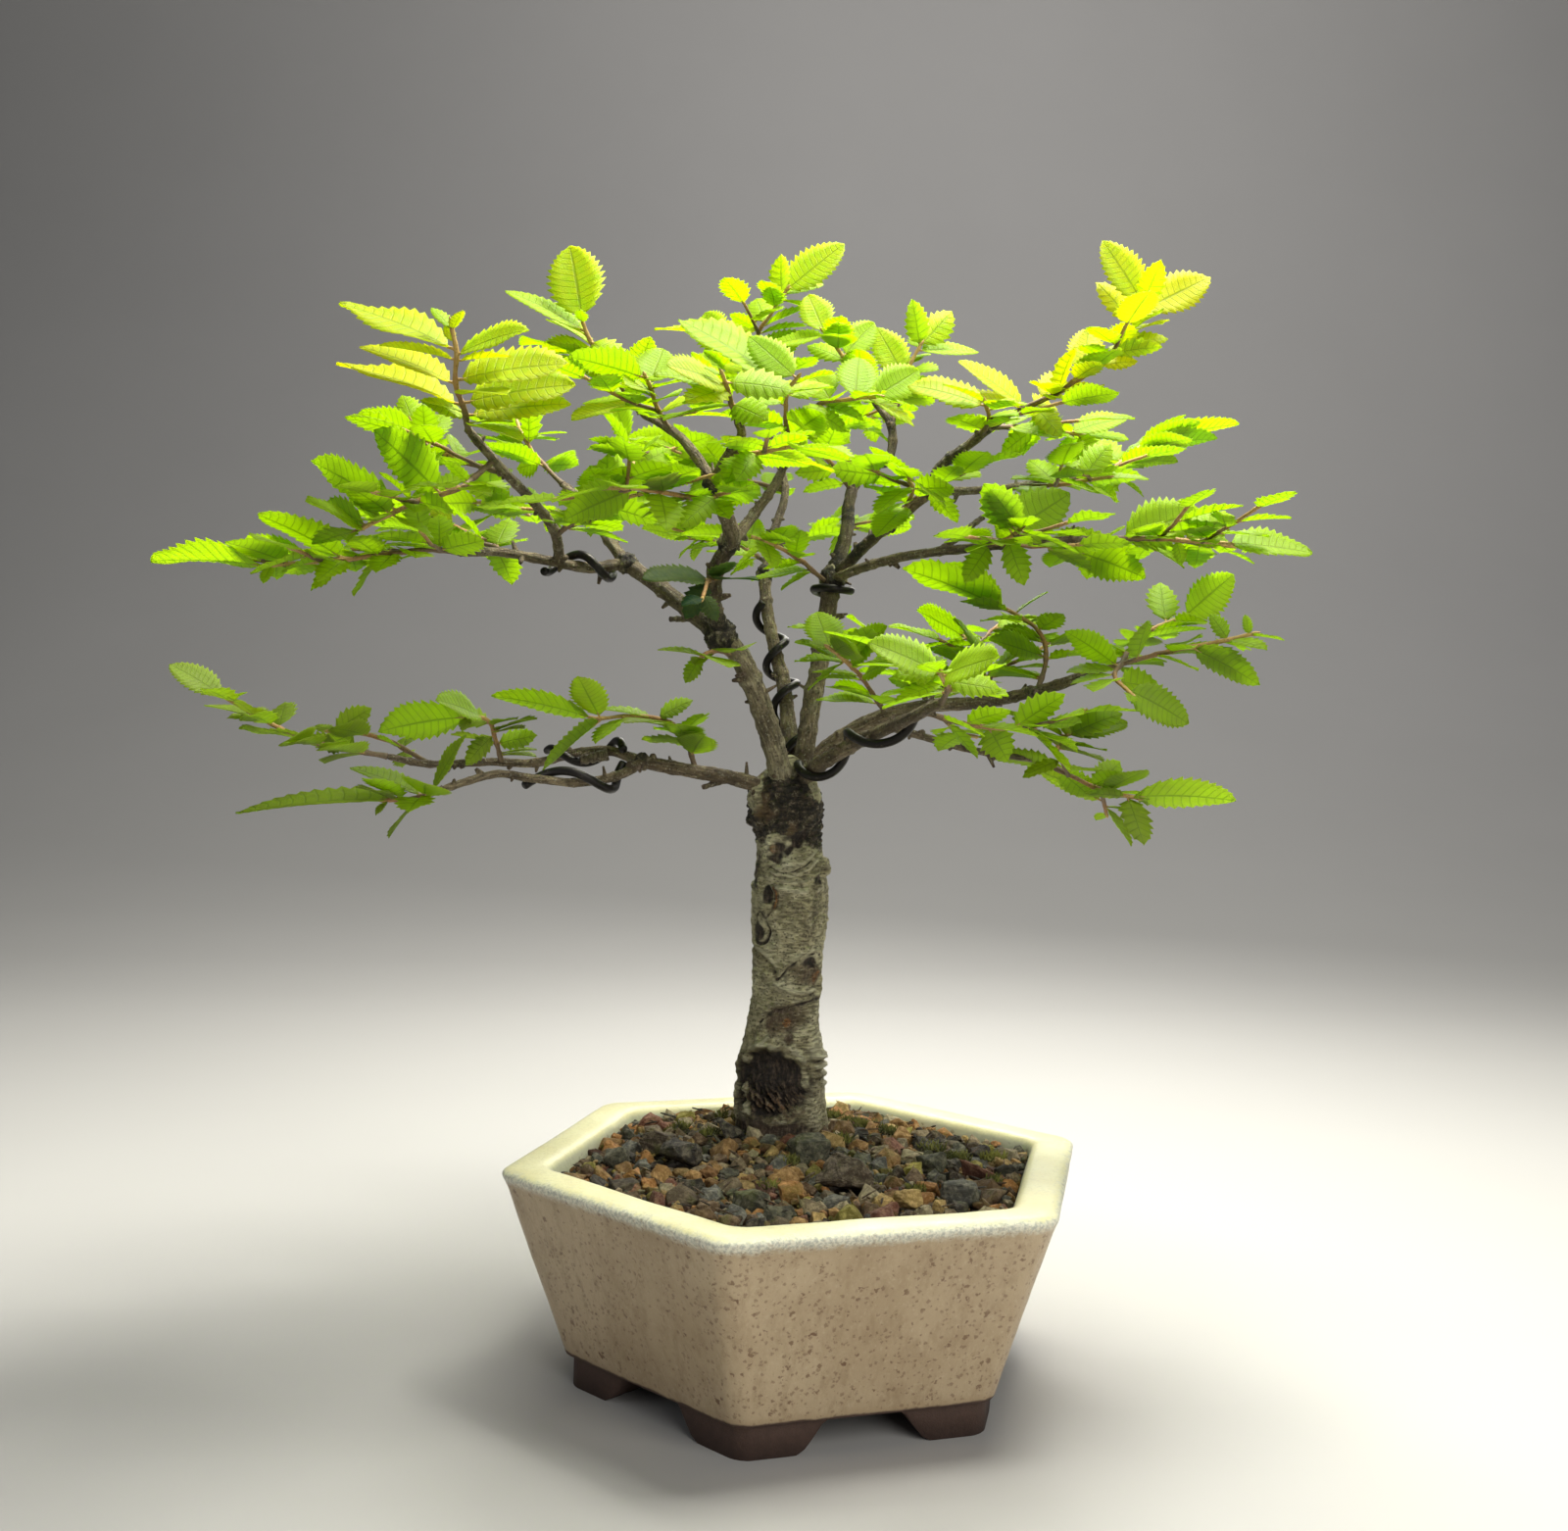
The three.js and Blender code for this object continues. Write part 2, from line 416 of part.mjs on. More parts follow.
// The point and direction at a share of a curve's length
function along(curve, share) {
  const lengths = curve.map((p, i) => (i ? p.distanceTo(curve[i - 1]) : 0));
  let left = share * lengths.reduce((a, b) => a + b, 0);
  let i = 1;
  while (i < curve.length - 1 && left > lengths[i]) {
    left -= lengths[i];
    i += 1;
  }
  const direction = curve[i].clone().sub(curve[i - 1]).normalize();
  return { point: curve[i - 1].clone().addScaledVector(direction, left), direction };
}

function nearest(curve, point) {
  return curve.reduce((a, b) => (b.distanceTo(point) < a.distanceTo(point) ? b : a));
}

// Two directions across each step of a curve, carried along it without twisting
function carriedFrames(curve) {
  let side = null;
  return curve.map((p, i) => {
    const ahead = curve[Math.min(i + 1, curve.length - 1)];
    const behind = curve[Math.max(i - 1, 0)];
    const tangent = ahead.clone().sub(behind).normalize();
    if (!side) {
      const away = Math.abs(tangent.z) < 0.9 ? vec([0, 0, 1]) : vec([1, 0, 0]);
      side = away.cross(tangent).normalize();
    }
    side = side.clone().addScaledVector(tangent, -side.dot(tangent)).normalize();
    return { p, tangent, side, up: tangent.clone().cross(side) };
  });
}

// Solids

function toSolid(geometry) {
  const plain = geometry.clone();
  plain.deleteAttribute('normal');
  plain.deleteAttribute('uv');
  const merged = mergeVertices(plain, 1e-4);
  return new wasm.Manifold(new wasm.Mesh({
    numProp: 3,
    vertProperties: merged.attributes.position.array,
    triVerts: new Uint32Array(merged.index.array),
  }));
}

function toGeometry(solid) {
  const mesh = solid.getMesh();
  const geometry = new THREE.BufferGeometry();
  geometry.setAttribute('position', new THREE.BufferAttribute(new Float32Array(mesh.vertProperties), 3));
  geometry.setIndex(new THREE.BufferAttribute(new Uint32Array(mesh.triVerts), 1));
  return geometry;
}

const join = (solids) => solids.reduce((a, b) => a.add(b));

// The body that holds together, without the scraps that a cut leaves
function largestBody(solid) {
  return solid.decompose().reduce((a, b) => (b.volume() > a.volume() ? b : a));
}

function closedSkin(points, faces) {
  const geometry = new THREE.BufferGeometry();
  const flat = points.flatMap((p) => [p.x, p.y, p.z]);
  geometry.setAttribute('position', new THREE.Float32BufferAttribute(flat, 3));
  geometry.setIndex(faces);
  return toSolid(geometry);
}

// A closed skin over rings of points that run anticlockwise seen from the last ring
function loft(rings) {
  const sides = rings[0].length;
  const points = rings.flat();
  const faces = [];
  for (let r = 0; r < rings.length - 1; r += 1) {
    for (let s = 0; s < sides; s += 1) {
      const a = r * sides + s;
      const b = r * sides + ((s + 1) % sides);
      faces.push(a, b, b + sides, a, b + sides, a + sides);
    }
  }
  const lastRing = (rings.length - 1) * sides;
  for (let s = 1; s < sides - 1; s += 1) {
    faces.push(0, s + 1, s);
    faces.push(lastRing, lastRing + s, lastRing + s + 1);
  }
  return closedSkin(points, faces);
}

// A tapering round rod along a curve
function rod(curve, start, end, sides) {
  const rings = carriedFrames(curve).map(({ p, side, up }, i) => {
    const radius = mix(start, end, i / (curve.length - 1));
    return Array.from({ length: sides }, (_, k) => {
      const angle = (k / sides) * TURN;
      return p.clone()
        .addScaledVector(side, radius * Math.cos(angle))
        .addScaledVector(up, radius * Math.sin(angle));
    });
  });
  return loft(rings);
}

// Pot

function hexagon(radius, z) {
  const round = POT.cornerRound * (radius / POT.rim);
  const inset = radius - round / Math.cos(30 * DEG);
  const ring = [];
  for (let corner = 0; corner < 6; corner += 1) {
    const bearing = POT.turn + corner * 60 * DEG;
    for (const swing of [-24, 24]) {
      const turned = bearing + swing * DEG;
      ring.push(vec([
        inset * Math.cos(bearing) + round * Math.cos(turned),
        inset * Math.sin(bearing) + round * Math.sin(turned),
        z,
      ]));
    }
  }
  return ring;
}

function drum(radius, bottom, top) {
  const solid = new THREE.CylinderGeometry(radius, radius, top - bottom, 12);
  return toSolid(solid.rotateX(90 * DEG).translate(0, 0, (bottom + top) / 2));
}

function makePot() {
  const wall = loft([
    hexagon(POT.foot, POT.underside),
    hexagon(POT.wallBottom - 0.4, POT.underside + 0.2),
    hexagon(POT.wallBottom, POT.wallBottomHeight),
    hexagon(POT.wallTop, POT.lipBottom),
    hexagon(POT.rim, POT.rimTop - POT.lipRound),
    hexagon(POT.rim - 0.3 * POT.lipRound, POT.rimTop - 0.3 * POT.lipRound),
    hexagon(POT.rim - POT.lipRound, POT.rimTop),
    hexagon(POT.opening + 1.4, POT.rimTop),
    hexagon(POT.opening, POT.rimTop - 1.8),
    hexagon(POT.floor, POT.floorTop),
  ]);
  const overlap = 1;
  let feet = loft([hexagon(POT.foot, 0), hexagon(POT.foot, POT.underside + overlap)]);
  feet = feet.subtract(loft([hexagon(POT.footInside, -overlap), hexagon(POT.footInside, POT.underside)]));
  const arch = new THREE.Shape();
  arch.moveTo(-ARCH.bottom / 2, -overlap);
  arch.lineTo(-ARCH.bottom / 2, 0);
  arch.quadraticCurveTo(-ARCH.bottom * 0.46, POT.underside * 0.8, -ARCH.top / 2, POT.underside);
  arch.lineTo(ARCH.top / 2, POT.underside);
  arch.quadraticCurveTo(ARCH.bottom * 0.46, POT.underside * 0.8, ARCH.bottom / 2, 0);
  arch.lineTo(ARCH.bottom / 2, -overlap);
  const reach = 2 * POT.rim;
  for (let side = 0; side < 3; side += 1) {
    const tunnel = new THREE.ExtrudeGeometry(arch, { depth: reach, bevelEnabled: false, curveSegments: 2 });
    tunnel.translate(0, 0, -reach / 2).rotateX(90 * DEG).rotateZ(POT.turn + side * 60 * DEG);
    feet = feet.subtract(toSolid(tunnel));
  }
  const drain = drum(POT.drain, POT.underside - overlap, POT.floorTop + overlap);
  return wall.add(feet).subtract(drain);
}

// Room for the soil: the pot's inside, a gap smaller
function potInside() {
  const shrink = GAP / Math.cos(30 * DEG) + 0.1;
  return loft([
    hexagon(POT.floor - shrink, POT.floorTop + GAP),
    hexagon(POT.opening - shrink, POT.rimTop - 1.8),
    hexagon(POT.opening - shrink, POT.rimTop + 12),
  ]);
}

function block(width, depth, bottom, top) {
  return toSolid(new THREE.BoxGeometry(width, depth, top - bottom).translate(0, 0, (bottom + top) / 2));
}

function makeScreen() {
  const bottom = POT.floorTop + GAP;
  const top = bottom + SCREEN.thick;
  let screen = block(SCREEN.side, SCREEN.side, bottom, top);
  const pitch = SCREEN.hole + SCREEN.bar;
  for (const x of [-pitch / 2, pitch / 2]) {
    for (const y of [-pitch / 2, pitch / 2]) {
      const hole = block(SCREEN.hole, SCREEN.hole, bottom - 1, top + 1);
      screen = screen.subtract(hole.translate([x, y, 0]));
    }
  }
  return screen;
}

// Soil

const trunkFoot = { x: TRUNK[2][2], y: TRUNK[2][3] };

function soilLevel(x, y) {
  const away = Math.min(1, Math.hypot(x - trunkFoot.x, y - trunkFoot.y) / SOIL.reach);
  return mix(SOIL.mound, SOIL.edge, away * away * (3 - 2 * away));
}

// An angular stone: a box with its corners drawn in or out, turned at random
function makeStone(draw, x, y, z, size) {
  const stone = new THREE.BoxGeometry(2 * size, 1.6 * size, 1.4 * size);
  stone.deleteAttribute('normal');
  stone.deleteAttribute('uv');
  const merged = mergeVertices(stone);
  const corners = merged.attributes.position;
  for (let i = 0; i < corners.count; i += 1) {
    const inward = 0.72 + 0.4 * draw();
    corners.setXYZ(i, corners.getX(i) * inward, corners.getY(i) * inward, corners.getZ(i) * inward);
  }
  merged.rotateX((draw() - 0.5) * 1.2).rotateY((draw() - 0.5) * 1.2).rotateZ(draw() * TURN);
  merged.translate(x, y, z);
  return toSolid(merged);
}

// One body with angular stones on top, set in a lattice: each has a small flat top and a valley all round
function makeGrit(draw) {
  const rowStep = GRIT.spacing * Math.sin(60 * DEG);
  const arm = GRIT.spacing / Math.sqrt(3);
  const reach = Math.ceil(POT.opening / rowStep) + 1;
  const points = [];
  const faces = [];
  const edges = new Set();
  const valleys = new Map();
  const valleyAt = (x, y) => {
    const key = `${Math.round(x)},${Math.round(y)}`;
    if (!valleys.has(key)) {
      valleys.set(key, points.length);
      const vx = x + (draw() - 0.5) * 0.3 * GRIT.spacing;
      const vy = y + (draw() - 0.5) * 0.3 * GRIT.spacing;
      const depth = GRIT.valley * (0.3 + 0.7 * draw());
      points.push(vec([vx, vy, soilLevel(vx, vy) - depth]), vec([vx, vy, 0]));
    }
    return valleys.get(key);
  };
  for (let row = -reach; row <= reach; row += 1) {
    for (let column = -reach; column <= reach; column += 1) {
      const x = (column + Math.abs(row % 2) * 0.5) * GRIT.spacing;
      const y = row * rowStep;
      const ring = [30, 90, 150, 210, 270, 330].map((bearing) => (
        valleyAt(x + arm * Math.cos(bearing * DEG), y + arm * Math.sin(bearing * DEG))
      ));
      const turned = Math.round(draw());
      const level = soilLevel(x, y) + GRIT.rise * (draw() - 0.3);
      const tops = [0, 1, 2].map((k) => {
        const bearing = (30 + 120 * k + 60 * turned + (draw() - 0.5) * 40) * DEG;
        const out = GRIT.top * (0.7 + 0.6 * draw());
        const height = level + (draw() - 0.5) * 2;
        points.push(vec([x + out * Math.cos(bearing), y + out * Math.sin(bearing), height]));
        return points.length - 1;
      });
      faces.push(...tops);
      tops.forEach((corner, k) => {
        const at = 2 * k + turned;
        const [before, beside, after] = [at + 5, at, at + 1].map((i) => ring[i % 6]);
        faces.push(corner, before, beside, corner, beside, after, corner, after, tops[(k + 1) % 3]);
      });
      ring.forEach((from, k) => {
        const to = ring[(k + 1) % 6];
        edges.add(`${from} ${to}`);
        if (k > 0 && k < 5) faces.push(ring[0] + 1, to + 1, from + 1);
      });
    }
  }
  for (const edge of edges) {
    const [from, to] = edge.split(' ').map(Number);
    if (!edges.has(`${to} ${from}`)) faces.push(from, from + 1, to + 1, from, to + 1, to);
  }
  return closedSkin(points, faces);
}

function makeSoil(trunkHole) {
  const draw = makeDraw(SOIL.seed);
  const grit = makeGrit(draw);
  const stones = BIG_STONES.map(([x, y, size]) => makeStone(draw, x, y, soilLevel(x, y), size));
  const pocket = block(SCREEN.side + 1, SCREEN.side + 1, 0, POT.floorTop + SCREEN.thick + 3 * GAP);
  const whole = join([grit, ...stones]).intersect(potInside());
  return largestBody(whole.subtract(pocket).subtract(trunkHole));
}

// Trunk and limbs

function knotHeight(angle, z) {
  let height = 0;
  for (const [level, bearing, tall, wide, rise, hollow] of KNOTS) {
    const swing = Math.atan2(Math.sin(angle - bearing * DEG), Math.cos(angle - bearing * DEG));
    const away = Math.hypot((z - level) / tall, swing / (wide * DEG));
    height += rise * Math.exp(-((away - 0.95) ** 2) * 9) - hollow * Math.exp(-(away ** 4) * 1.6);
    if (!hollow) height += rise * Math.exp(-(away ** 2) * 2);
  }
  return height;
}

function makeTrunk(extra) {
  return loft(TRUNK.map(([z, radius, x, y]) => Array.from({ length: TRUNK_SIDES }, (_, k) => {
    const angle = (k / TRUNK_SIDES) * TURN;
    const uneven = 0.35 * Math.sin(3 * angle + z * 0.05) + 0.25 * Math.sin(5 * angle - z * 0.09);
    const reach = radius + uneven + knotHeight(angle, z) + extra;
    return vec([x + reach * Math.cos(angle), y + reach * Math.sin(angle), z + (z > 150 ? extra : 0)]);
  })));
}

const limbCurves = {};
for (const [name, [route]] of Object.entries(LIMBS)) limbCurves[name] = smooth(route, 8);

const thinned = (curve, step) => curve.filter((_, i) => i % step === 0 || i === curve.length - 1);

function makeLimb(name, extra) {
  const [, start, end] = LIMBS[name];
  const curve = thinned(limbCurves[name], 8).map((p) => p.clone());
  if (extra) {
    const tip = curve[curve.length - 1];
    tip.addScaledVector(tip.clone().sub(curve[curve.length - 2]).normalize(), extra);
  }
  return rod(curve, start + extra, end + extra, start > 2.5 ? 7 : 4);
}

function makeKnuckle([x, y, z, radius], extra) {
  const swelling = new THREE.IcosahedronGeometry(radius + extra, 0);
  return toSolid(swelling.rotateX(x).rotateY(y).scale(1, 0.9, 1.1).translate(x, y, z));
}

function makeWood(extra) {
  const limbs = Object.keys(LIMBS).map((name) => makeLimb(name, extra));
  const knuckles = KNUCKLES.map((knuckle) => makeKnuckle(knuckle, extra));
  const stubs = STUBS.map(([from, to, radius]) => (
    rod([vec(from), vec(to)], radius + extra, radius * 0.8 + extra, 5)
  ));
  return join([makeTrunk(extra), ...limbs, ...knuckles, ...stubs]);
}

// Straight pieces of wood with their radii, which wire and leaves keep clear of
function woodPieces() {
  const pieces = [];
  for (const [name, [, start, end]] of Object.entries(LIMBS)) {
    const curve = limbCurves[name];
    for (let i = 1; i < curve.length; i += 1) {
      pieces.push({ owner: name, a: curve[i - 1], b: curve[i], radius: mix(start, end, i / curve.length) });
    }
  }
  for (const [x, y, z, radius] of KNUCKLES) {
    pieces.push({ owner: 'knuckle', a: vec([x, y, z]), b: vec([x, y, z + 0.01]), radius: radius * 1.1 });
  }
  for (const [from, to, radius] of STUBS) pieces.push({ owner: 'stub', a: vec(from), b: vec(to), radius });
  return pieces;
}

// Wire

// The way from a straight piece's middle line to a point
function offsetFrom(piece, point) {
  const run = piece.b.clone().sub(piece.a);
  const share = point.clone().sub(piece.a).dot(run) / run.lengthSq();
  return point.clone().sub(piece.a.clone().addScaledVector(run, Math.min(1, Math.max(0, share))));
}

function pushClear(point, pieces, room) {
  for (let round = 0; round < 6; round += 1) {
    for (const piece of pieces) {
      const offset = offsetFrom(piece, point);
      const short = piece.radius + room - offset.length();
      if (short > 0) point.addScaledVector(offset.normalize(), short);
    }
  }
  return point;
}

const WIRE_STEPS = 9; // a turn

function wireCurve([limb, from, to, turns, bearing], wood) {
  const [, start, end] = LIMBS[limb];
  const frames = carriedFrames(limbCurves[limb]);
  const count = Math.round(turns * WIRE_STEPS);
  const points = [];
  for (let i = 0; i <= count; i += 1) {
    const place = mix(from, to, i / count) * (frames.length - 1);
    const step = Math.min(Math.floor(place), frames.length - 2);
    const share = place - step;
    const point = frames[step].p.clone().lerp(frames[step + 1].p, share);
    const reach = mix(start, end, place / frames.length) + WIRE_ROOM;
    const angle = bearing * DEG + (i / WIRE_STEPS) * TURN;
    point.addScaledVector(frames[step].side, reach * Math.cos(angle));
    point.addScaledVector(frames[step].up, reach * Math.sin(angle));
    points.push(pushClear(point, wood, WIRE_ROOM));
  }
  return points;
}

// Leaves

// Half the blade's width at a share of its length
const bladeWidth = (u) => Math.sin(Math.PI * u ** 0.82) ** 0.7;

// A point of the blade's middle surface: u along it, v across it from -1 to 1
function bladePoint(leaf, u, v) {
  const across = v * LEAF.width * leaf.length * bladeWidth(u);
  const height = LEAF.fold * Math.abs(across) - LEAF.arch * leaf.length * u * u;
  return leaf.base.clone()
    .addScaledVector(leaf.along, u * leaf.length)
    .addScaledVector(leaf.side, across)
    .addScaledVector(leaf.face, height);
}

// The blade's edge, from its foot round its tip and back
function bladeEdge(leaf) {
  const edge = [[0, 0]];
  const teeth = leaf.length < LEAF.short ? LEAF.teeth - 1 : LEAF.teeth;
  for (let k = 1; k <= teeth; k += 1) {
    const u = 0.03 + 0.94 * (k / (teeth + 0.75)) ** 1.05;
    edge.push([u, 1]);
    if (k < teeth) edge.push([u + 0.035, LEAF.notch]);
  }
  const other = edge.slice(1).reverse().map(([u, v]) => [u, -v]);
  return [...edge, [1, 0], ...other].map(([u, v]) => bladePoint(leaf, Math.min(u, 1), v || 0));
}

// Toothed edge joined to a rib point above and one below, alike on both faces
function makeBlade(leaf) {
  const edge = bladeEdge(leaf);
  const count = edge.length;
  const rib = bladePoint(leaf, 0.42, 0);
  const above = rib.clone().addScaledVector(leaf.face, LEAF.rib);
  const below = rib.clone().addScaledVector(leaf.face, -LEAF.rib);
  const points = [...edge, above, below];
  const faces = [];
  for (let i = 0; i < count; i += 1) {
    const next = (i + 1) % count;
    faces.push(count, next, i);
    faces.push(count + 1, i, next);
  }
  return closedSkin(points, faces);
}

// A leaf's frame turned about its face, then its side, then its length
function turnFrame(frame, pitch, roll, yaw) {
  const turn = (a, b, angle) => [
    a.clone().multiplyScalar(Math.cos(angle)).addScaledVector(b, Math.sin(angle)),
    b.clone().multiplyScalar(Math.cos(angle)).addScaledVector(a, -Math.sin(angle)),
  ];
  let { along, side, face } = frame;
  [along, side] = turn(along, side, yaw);
  [along, face] = turn(along, face, pitch);
  [side, face] = turn(side, face, roll);
  return { along, side, face };
}

const skyward = (lean) => vec([0, -Math.sin(lean * DEG), Math.cos(lean * DEG)]);

// A leaf from its shoot to a known tip
function heldLeaf(twig, [share, x, y, z, lean]) {
  const base = along(twig.curve, share).point;
  const reach = vec([x, y, z]).sub(base);
  const length = reach.length();
  const axis = reach.divideScalar(length);
  const sky = skyward(lean);
  const face = sky.addScaledVector(axis, -sky.dot(axis)).normalize();
  const frame = { along: axis, side: face.clone().cross(axis), face };
  return { base, length, ...turnFrame(frame, Math.atan(LEAF.arch), 0, 0) };
}

// Leaves by rule stand by turns on the two sides of a shoot, larger towards its tip, with one at the tip
function ruledLeaf(twig, i, draw) {
  const last = i === twig.leaves - 1;
  const seat = along(twig.curve, last ? 0.97 : 0.3 + (0.66 * (i + 0.25)) / Math.max(1, twig.leaves - 1));
  const tangent = seat.direction;
  const side = skyward(twig.lean).cross(tangent).normalize();
  const frame = { along: tangent, side, face: tangent.clone().cross(side) };
  const hand = last ? 0 : (i % 2) * 2 - 1;
  const pitch = (draw() - 0.5) * 24 - 2;
  const roll = (draw() - 0.5) * 56;
  const yaw = hand * LEAF.angle + (draw() - 0.5) * 20;
  const grown = twig.leaves > 1 ? 0.7 + (0.3 * i) / (twig.leaves - 1) : 1;
  const length = twig.length * grown * (0.9 + 0.16 * draw());
  return { base: seat.point, length, ...turnFrame(frame, pitch * DEG, roll * DEG, yaw * DEG) };
}

const BLADE_STATIONS = [0.12, 0.25, 0.38, 0.51, 0.64, 0.77, 0.9, 1];

function bladeSamples(leaf) {
  return BLADE_STATIONS.flatMap((u) => [-1, -0.5, 0, 0.5, 1].map((v) => bladePoint(leaf, u, v)));
}

function pointMeetsBlade(point, leaf, room) {
  const from = point.clone().sub(leaf.base);
  const u = from.dot(leaf.along) / leaf.length;
  if (u < -0.03 || u > 1.03) return false;
  const inside = Math.min(Math.max(u, 0.04), 0.96);
  const across = Math.abs(from.dot(leaf.side));
  if (across > LEAF.width * leaf.length * bladeWidth(inside) + 0.6) return false;
  const height = LEAF.fold * across - LEAF.arch * leaf.length * u * u;
  return Math.abs(from.dot(leaf.face) - height) < room;
}

function leavesMeet(a, b, room) {
  if (a.base.distanceTo(b.base) > a.length + b.length) return false;
  const meets = (one, two) => one.samples.some((p) => pointMeetsBlade(p, two, room));
  return meets(a, b) || meets(b, a);
}

function leafIsClear(leaf, spray, placed, pieces) {
  for (const other of placed) {
    if (leavesMeet(leaf, other, other.spray === spray ? ROOM.own : ROOM.other)) return false;
  }
  for (const piece of pieces) {
    if (piece.owner === spray) continue;
    if (leaf.samples.some((p) => offsetFrom(piece, p).length() < piece.radius + ROOM.wood)) return false;
  }
  return true;
}

// Every twig of every spray, in the order in which the leaves are placed
function sprayTwigs() {
  const twigs = [];
  for (const shoot of SHOOTS) {
    const root = nearest(limbCurves[shoot.limb], vec(shoot.route[0])).toArray();
    const route = [root, ...shoot.route.slice(1)];
    twigs.push({ spray: shoot.name, ...shoot, curve: smooth(route, 6), thick: TWIG.start });
    for (const fork of shoot.forks ?? []) {
      const forkRoute = [route[fork.at], ...fork.route];
      twigs.push({ spray: shoot.name, ...fork, curve: smooth(forkRoute, 6), thick: TWIG.start * 0.85 });
    }
  }
  return twigs;
}

function placeLeaves(twigs, pieces) {
  const draw = makeDraw(LEAF.seed);
  const placed = [];
  for (const twig of twigs) {
    const held = (twig.held ?? []).map((hold) => heldLeaf(twig, hold));
    const ruled = Array.from({ length: twig.leaves ?? 0 }, (_, i) => ruledLeaf(twig, i, draw));
    for (const wanted of [...held, ...ruled]) {
      for (const [pitch, roll, yaw, scale] of TURNS) {
        const leaf = { spray: twig.spray, base: wanted.base, length: wanted.length * scale };
        Object.assign(leaf, turnFrame(wanted, pitch * DEG, roll * DEG, yaw * DEG));
        leaf.samples = bladeSamples(leaf);
        if (leafIsClear(leaf, twig.spray, placed, pieces)) {
          placed.push(leaf);
          break;
        }
      }
    }
  }
  return placed;
}

// Assembly

const finish = {
  glaze: { color: COLOURS.glaze, roughness: 0.3, metalness: 0 },
  screen: { color: COLOURS.screen, roughness: 0.6, metalness: 0 },
  soil: { color: COLOURS.soil, roughness: 0.95, metalness: 0 },
  bark: { color: COLOURS.bark, roughness: 0.85, metalness: 0 },
  wire: { color: COLOURS.wire, roughness: 0.45, metalness: 0.8 },
  leaf: { color: COLOURS.leaf, roughness: 0.5, metalness: 0 },
};
const tree = new THREE.Group();

function addPiece(name, solid, material) {
  const mesh = new THREE.Mesh(toGeometry(solid), new THREE.MeshStandardMaterial(finish[material]));
  mesh.name = name;
  tree.add(mesh);
}

addPiece('pot', makePot(), 'glaze');
addPiece('drain_screen', makeScreen(), 'screen');
addPiece('soil', makeSoil(makeTrunk(GAP)), 'soil');
addPiece('trunk_and_limbs', makeWood(0), 'bark');

const wood = woodPieces();
const wires = Object.entries(WIRES).map(([name, plan]) => [name, wireCurve(plan, wood)]);
for (const [name, curve] of wires) addPiece(name, rod(curve, WIRE, WIRE, 5), 'wire');

const twigs = sprayTwigs();
const piecesOf = (owner, curve, radius) => curve.slice(1).map((b, i) => ({ owner, a: curve[i], b, radius }));
const obstacles = [
  ...wood,
  ...wires.flatMap(([name, curve]) => piecesOf(name, curve, WIRE)),
  ...twigs.flatMap(({ spray, curve, thick }) => piecesOf(spray, curve, thick)),
];
const leaves = placeLeaves(twigs, obstacles);
const woodSleeve = makeWood(GAP);
for (const shoot of SHOOTS) {
  const own = twigs.filter((twig) => twig.spray === shoot.name);
  const rods = own.map(({ curve, thick }) => rod(thinned(curve, 6), thick, TWIG.end, TWIG.sides));
  const blades = leaves.filter((leaf) => leaf.spray === shoot.name).map(makeBlade);
  addPiece(`spray_${shoot.name}`, largestBody(join([...rods, ...blades]).subtract(woodSleeve)), 'leaf');
}

// The origin stands under the middle of the whole
const box = new THREE.Box3().setFromObject(tree);
const middle = box.getCenter(new THREE.Vector3());
tree.position.set(-middle.x, -middle.y, 0);

export default tree;
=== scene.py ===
import math

import bmesh
import bpy
import numpy as np
from mathutils import Matrix, Vector, noise


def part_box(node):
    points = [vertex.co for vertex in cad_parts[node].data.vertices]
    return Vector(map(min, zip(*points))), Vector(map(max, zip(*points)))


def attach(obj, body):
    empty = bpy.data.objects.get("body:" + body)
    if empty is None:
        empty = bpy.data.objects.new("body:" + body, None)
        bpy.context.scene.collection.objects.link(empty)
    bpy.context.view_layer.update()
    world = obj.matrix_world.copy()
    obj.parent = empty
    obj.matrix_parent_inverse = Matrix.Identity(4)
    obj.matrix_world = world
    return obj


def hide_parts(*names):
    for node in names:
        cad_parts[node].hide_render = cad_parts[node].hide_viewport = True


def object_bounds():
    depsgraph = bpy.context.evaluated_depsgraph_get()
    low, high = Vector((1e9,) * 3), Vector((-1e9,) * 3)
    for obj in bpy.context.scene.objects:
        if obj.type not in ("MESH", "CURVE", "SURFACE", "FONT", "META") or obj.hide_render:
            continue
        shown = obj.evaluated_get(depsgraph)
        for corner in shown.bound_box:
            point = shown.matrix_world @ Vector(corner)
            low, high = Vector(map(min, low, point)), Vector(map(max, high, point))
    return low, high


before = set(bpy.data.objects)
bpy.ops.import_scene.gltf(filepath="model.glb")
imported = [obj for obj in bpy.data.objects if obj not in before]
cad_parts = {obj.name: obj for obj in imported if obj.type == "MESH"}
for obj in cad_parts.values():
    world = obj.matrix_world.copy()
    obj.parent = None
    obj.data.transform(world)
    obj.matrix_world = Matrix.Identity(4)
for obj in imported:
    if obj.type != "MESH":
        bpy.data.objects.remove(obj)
cad_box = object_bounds()

# Shapes are laid out in millimetres about the pot's centre, and go to metres when a piece is finished
pot_low, pot_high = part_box("pot")
POT_PLACE = Vector(((pot_low[0] + pot_high[0]) / 2, (pot_low[1] + pot_high[1]) / 2, 0))
TO_FRAME = Matrix.Translation(POT_PLACE) @ Matrix.Scale(0.001, 4)
BOX_LOW, BOX_HIGH = (np.array((Vector(corner) - POT_PLACE) * 1000) for corner in cad_box)

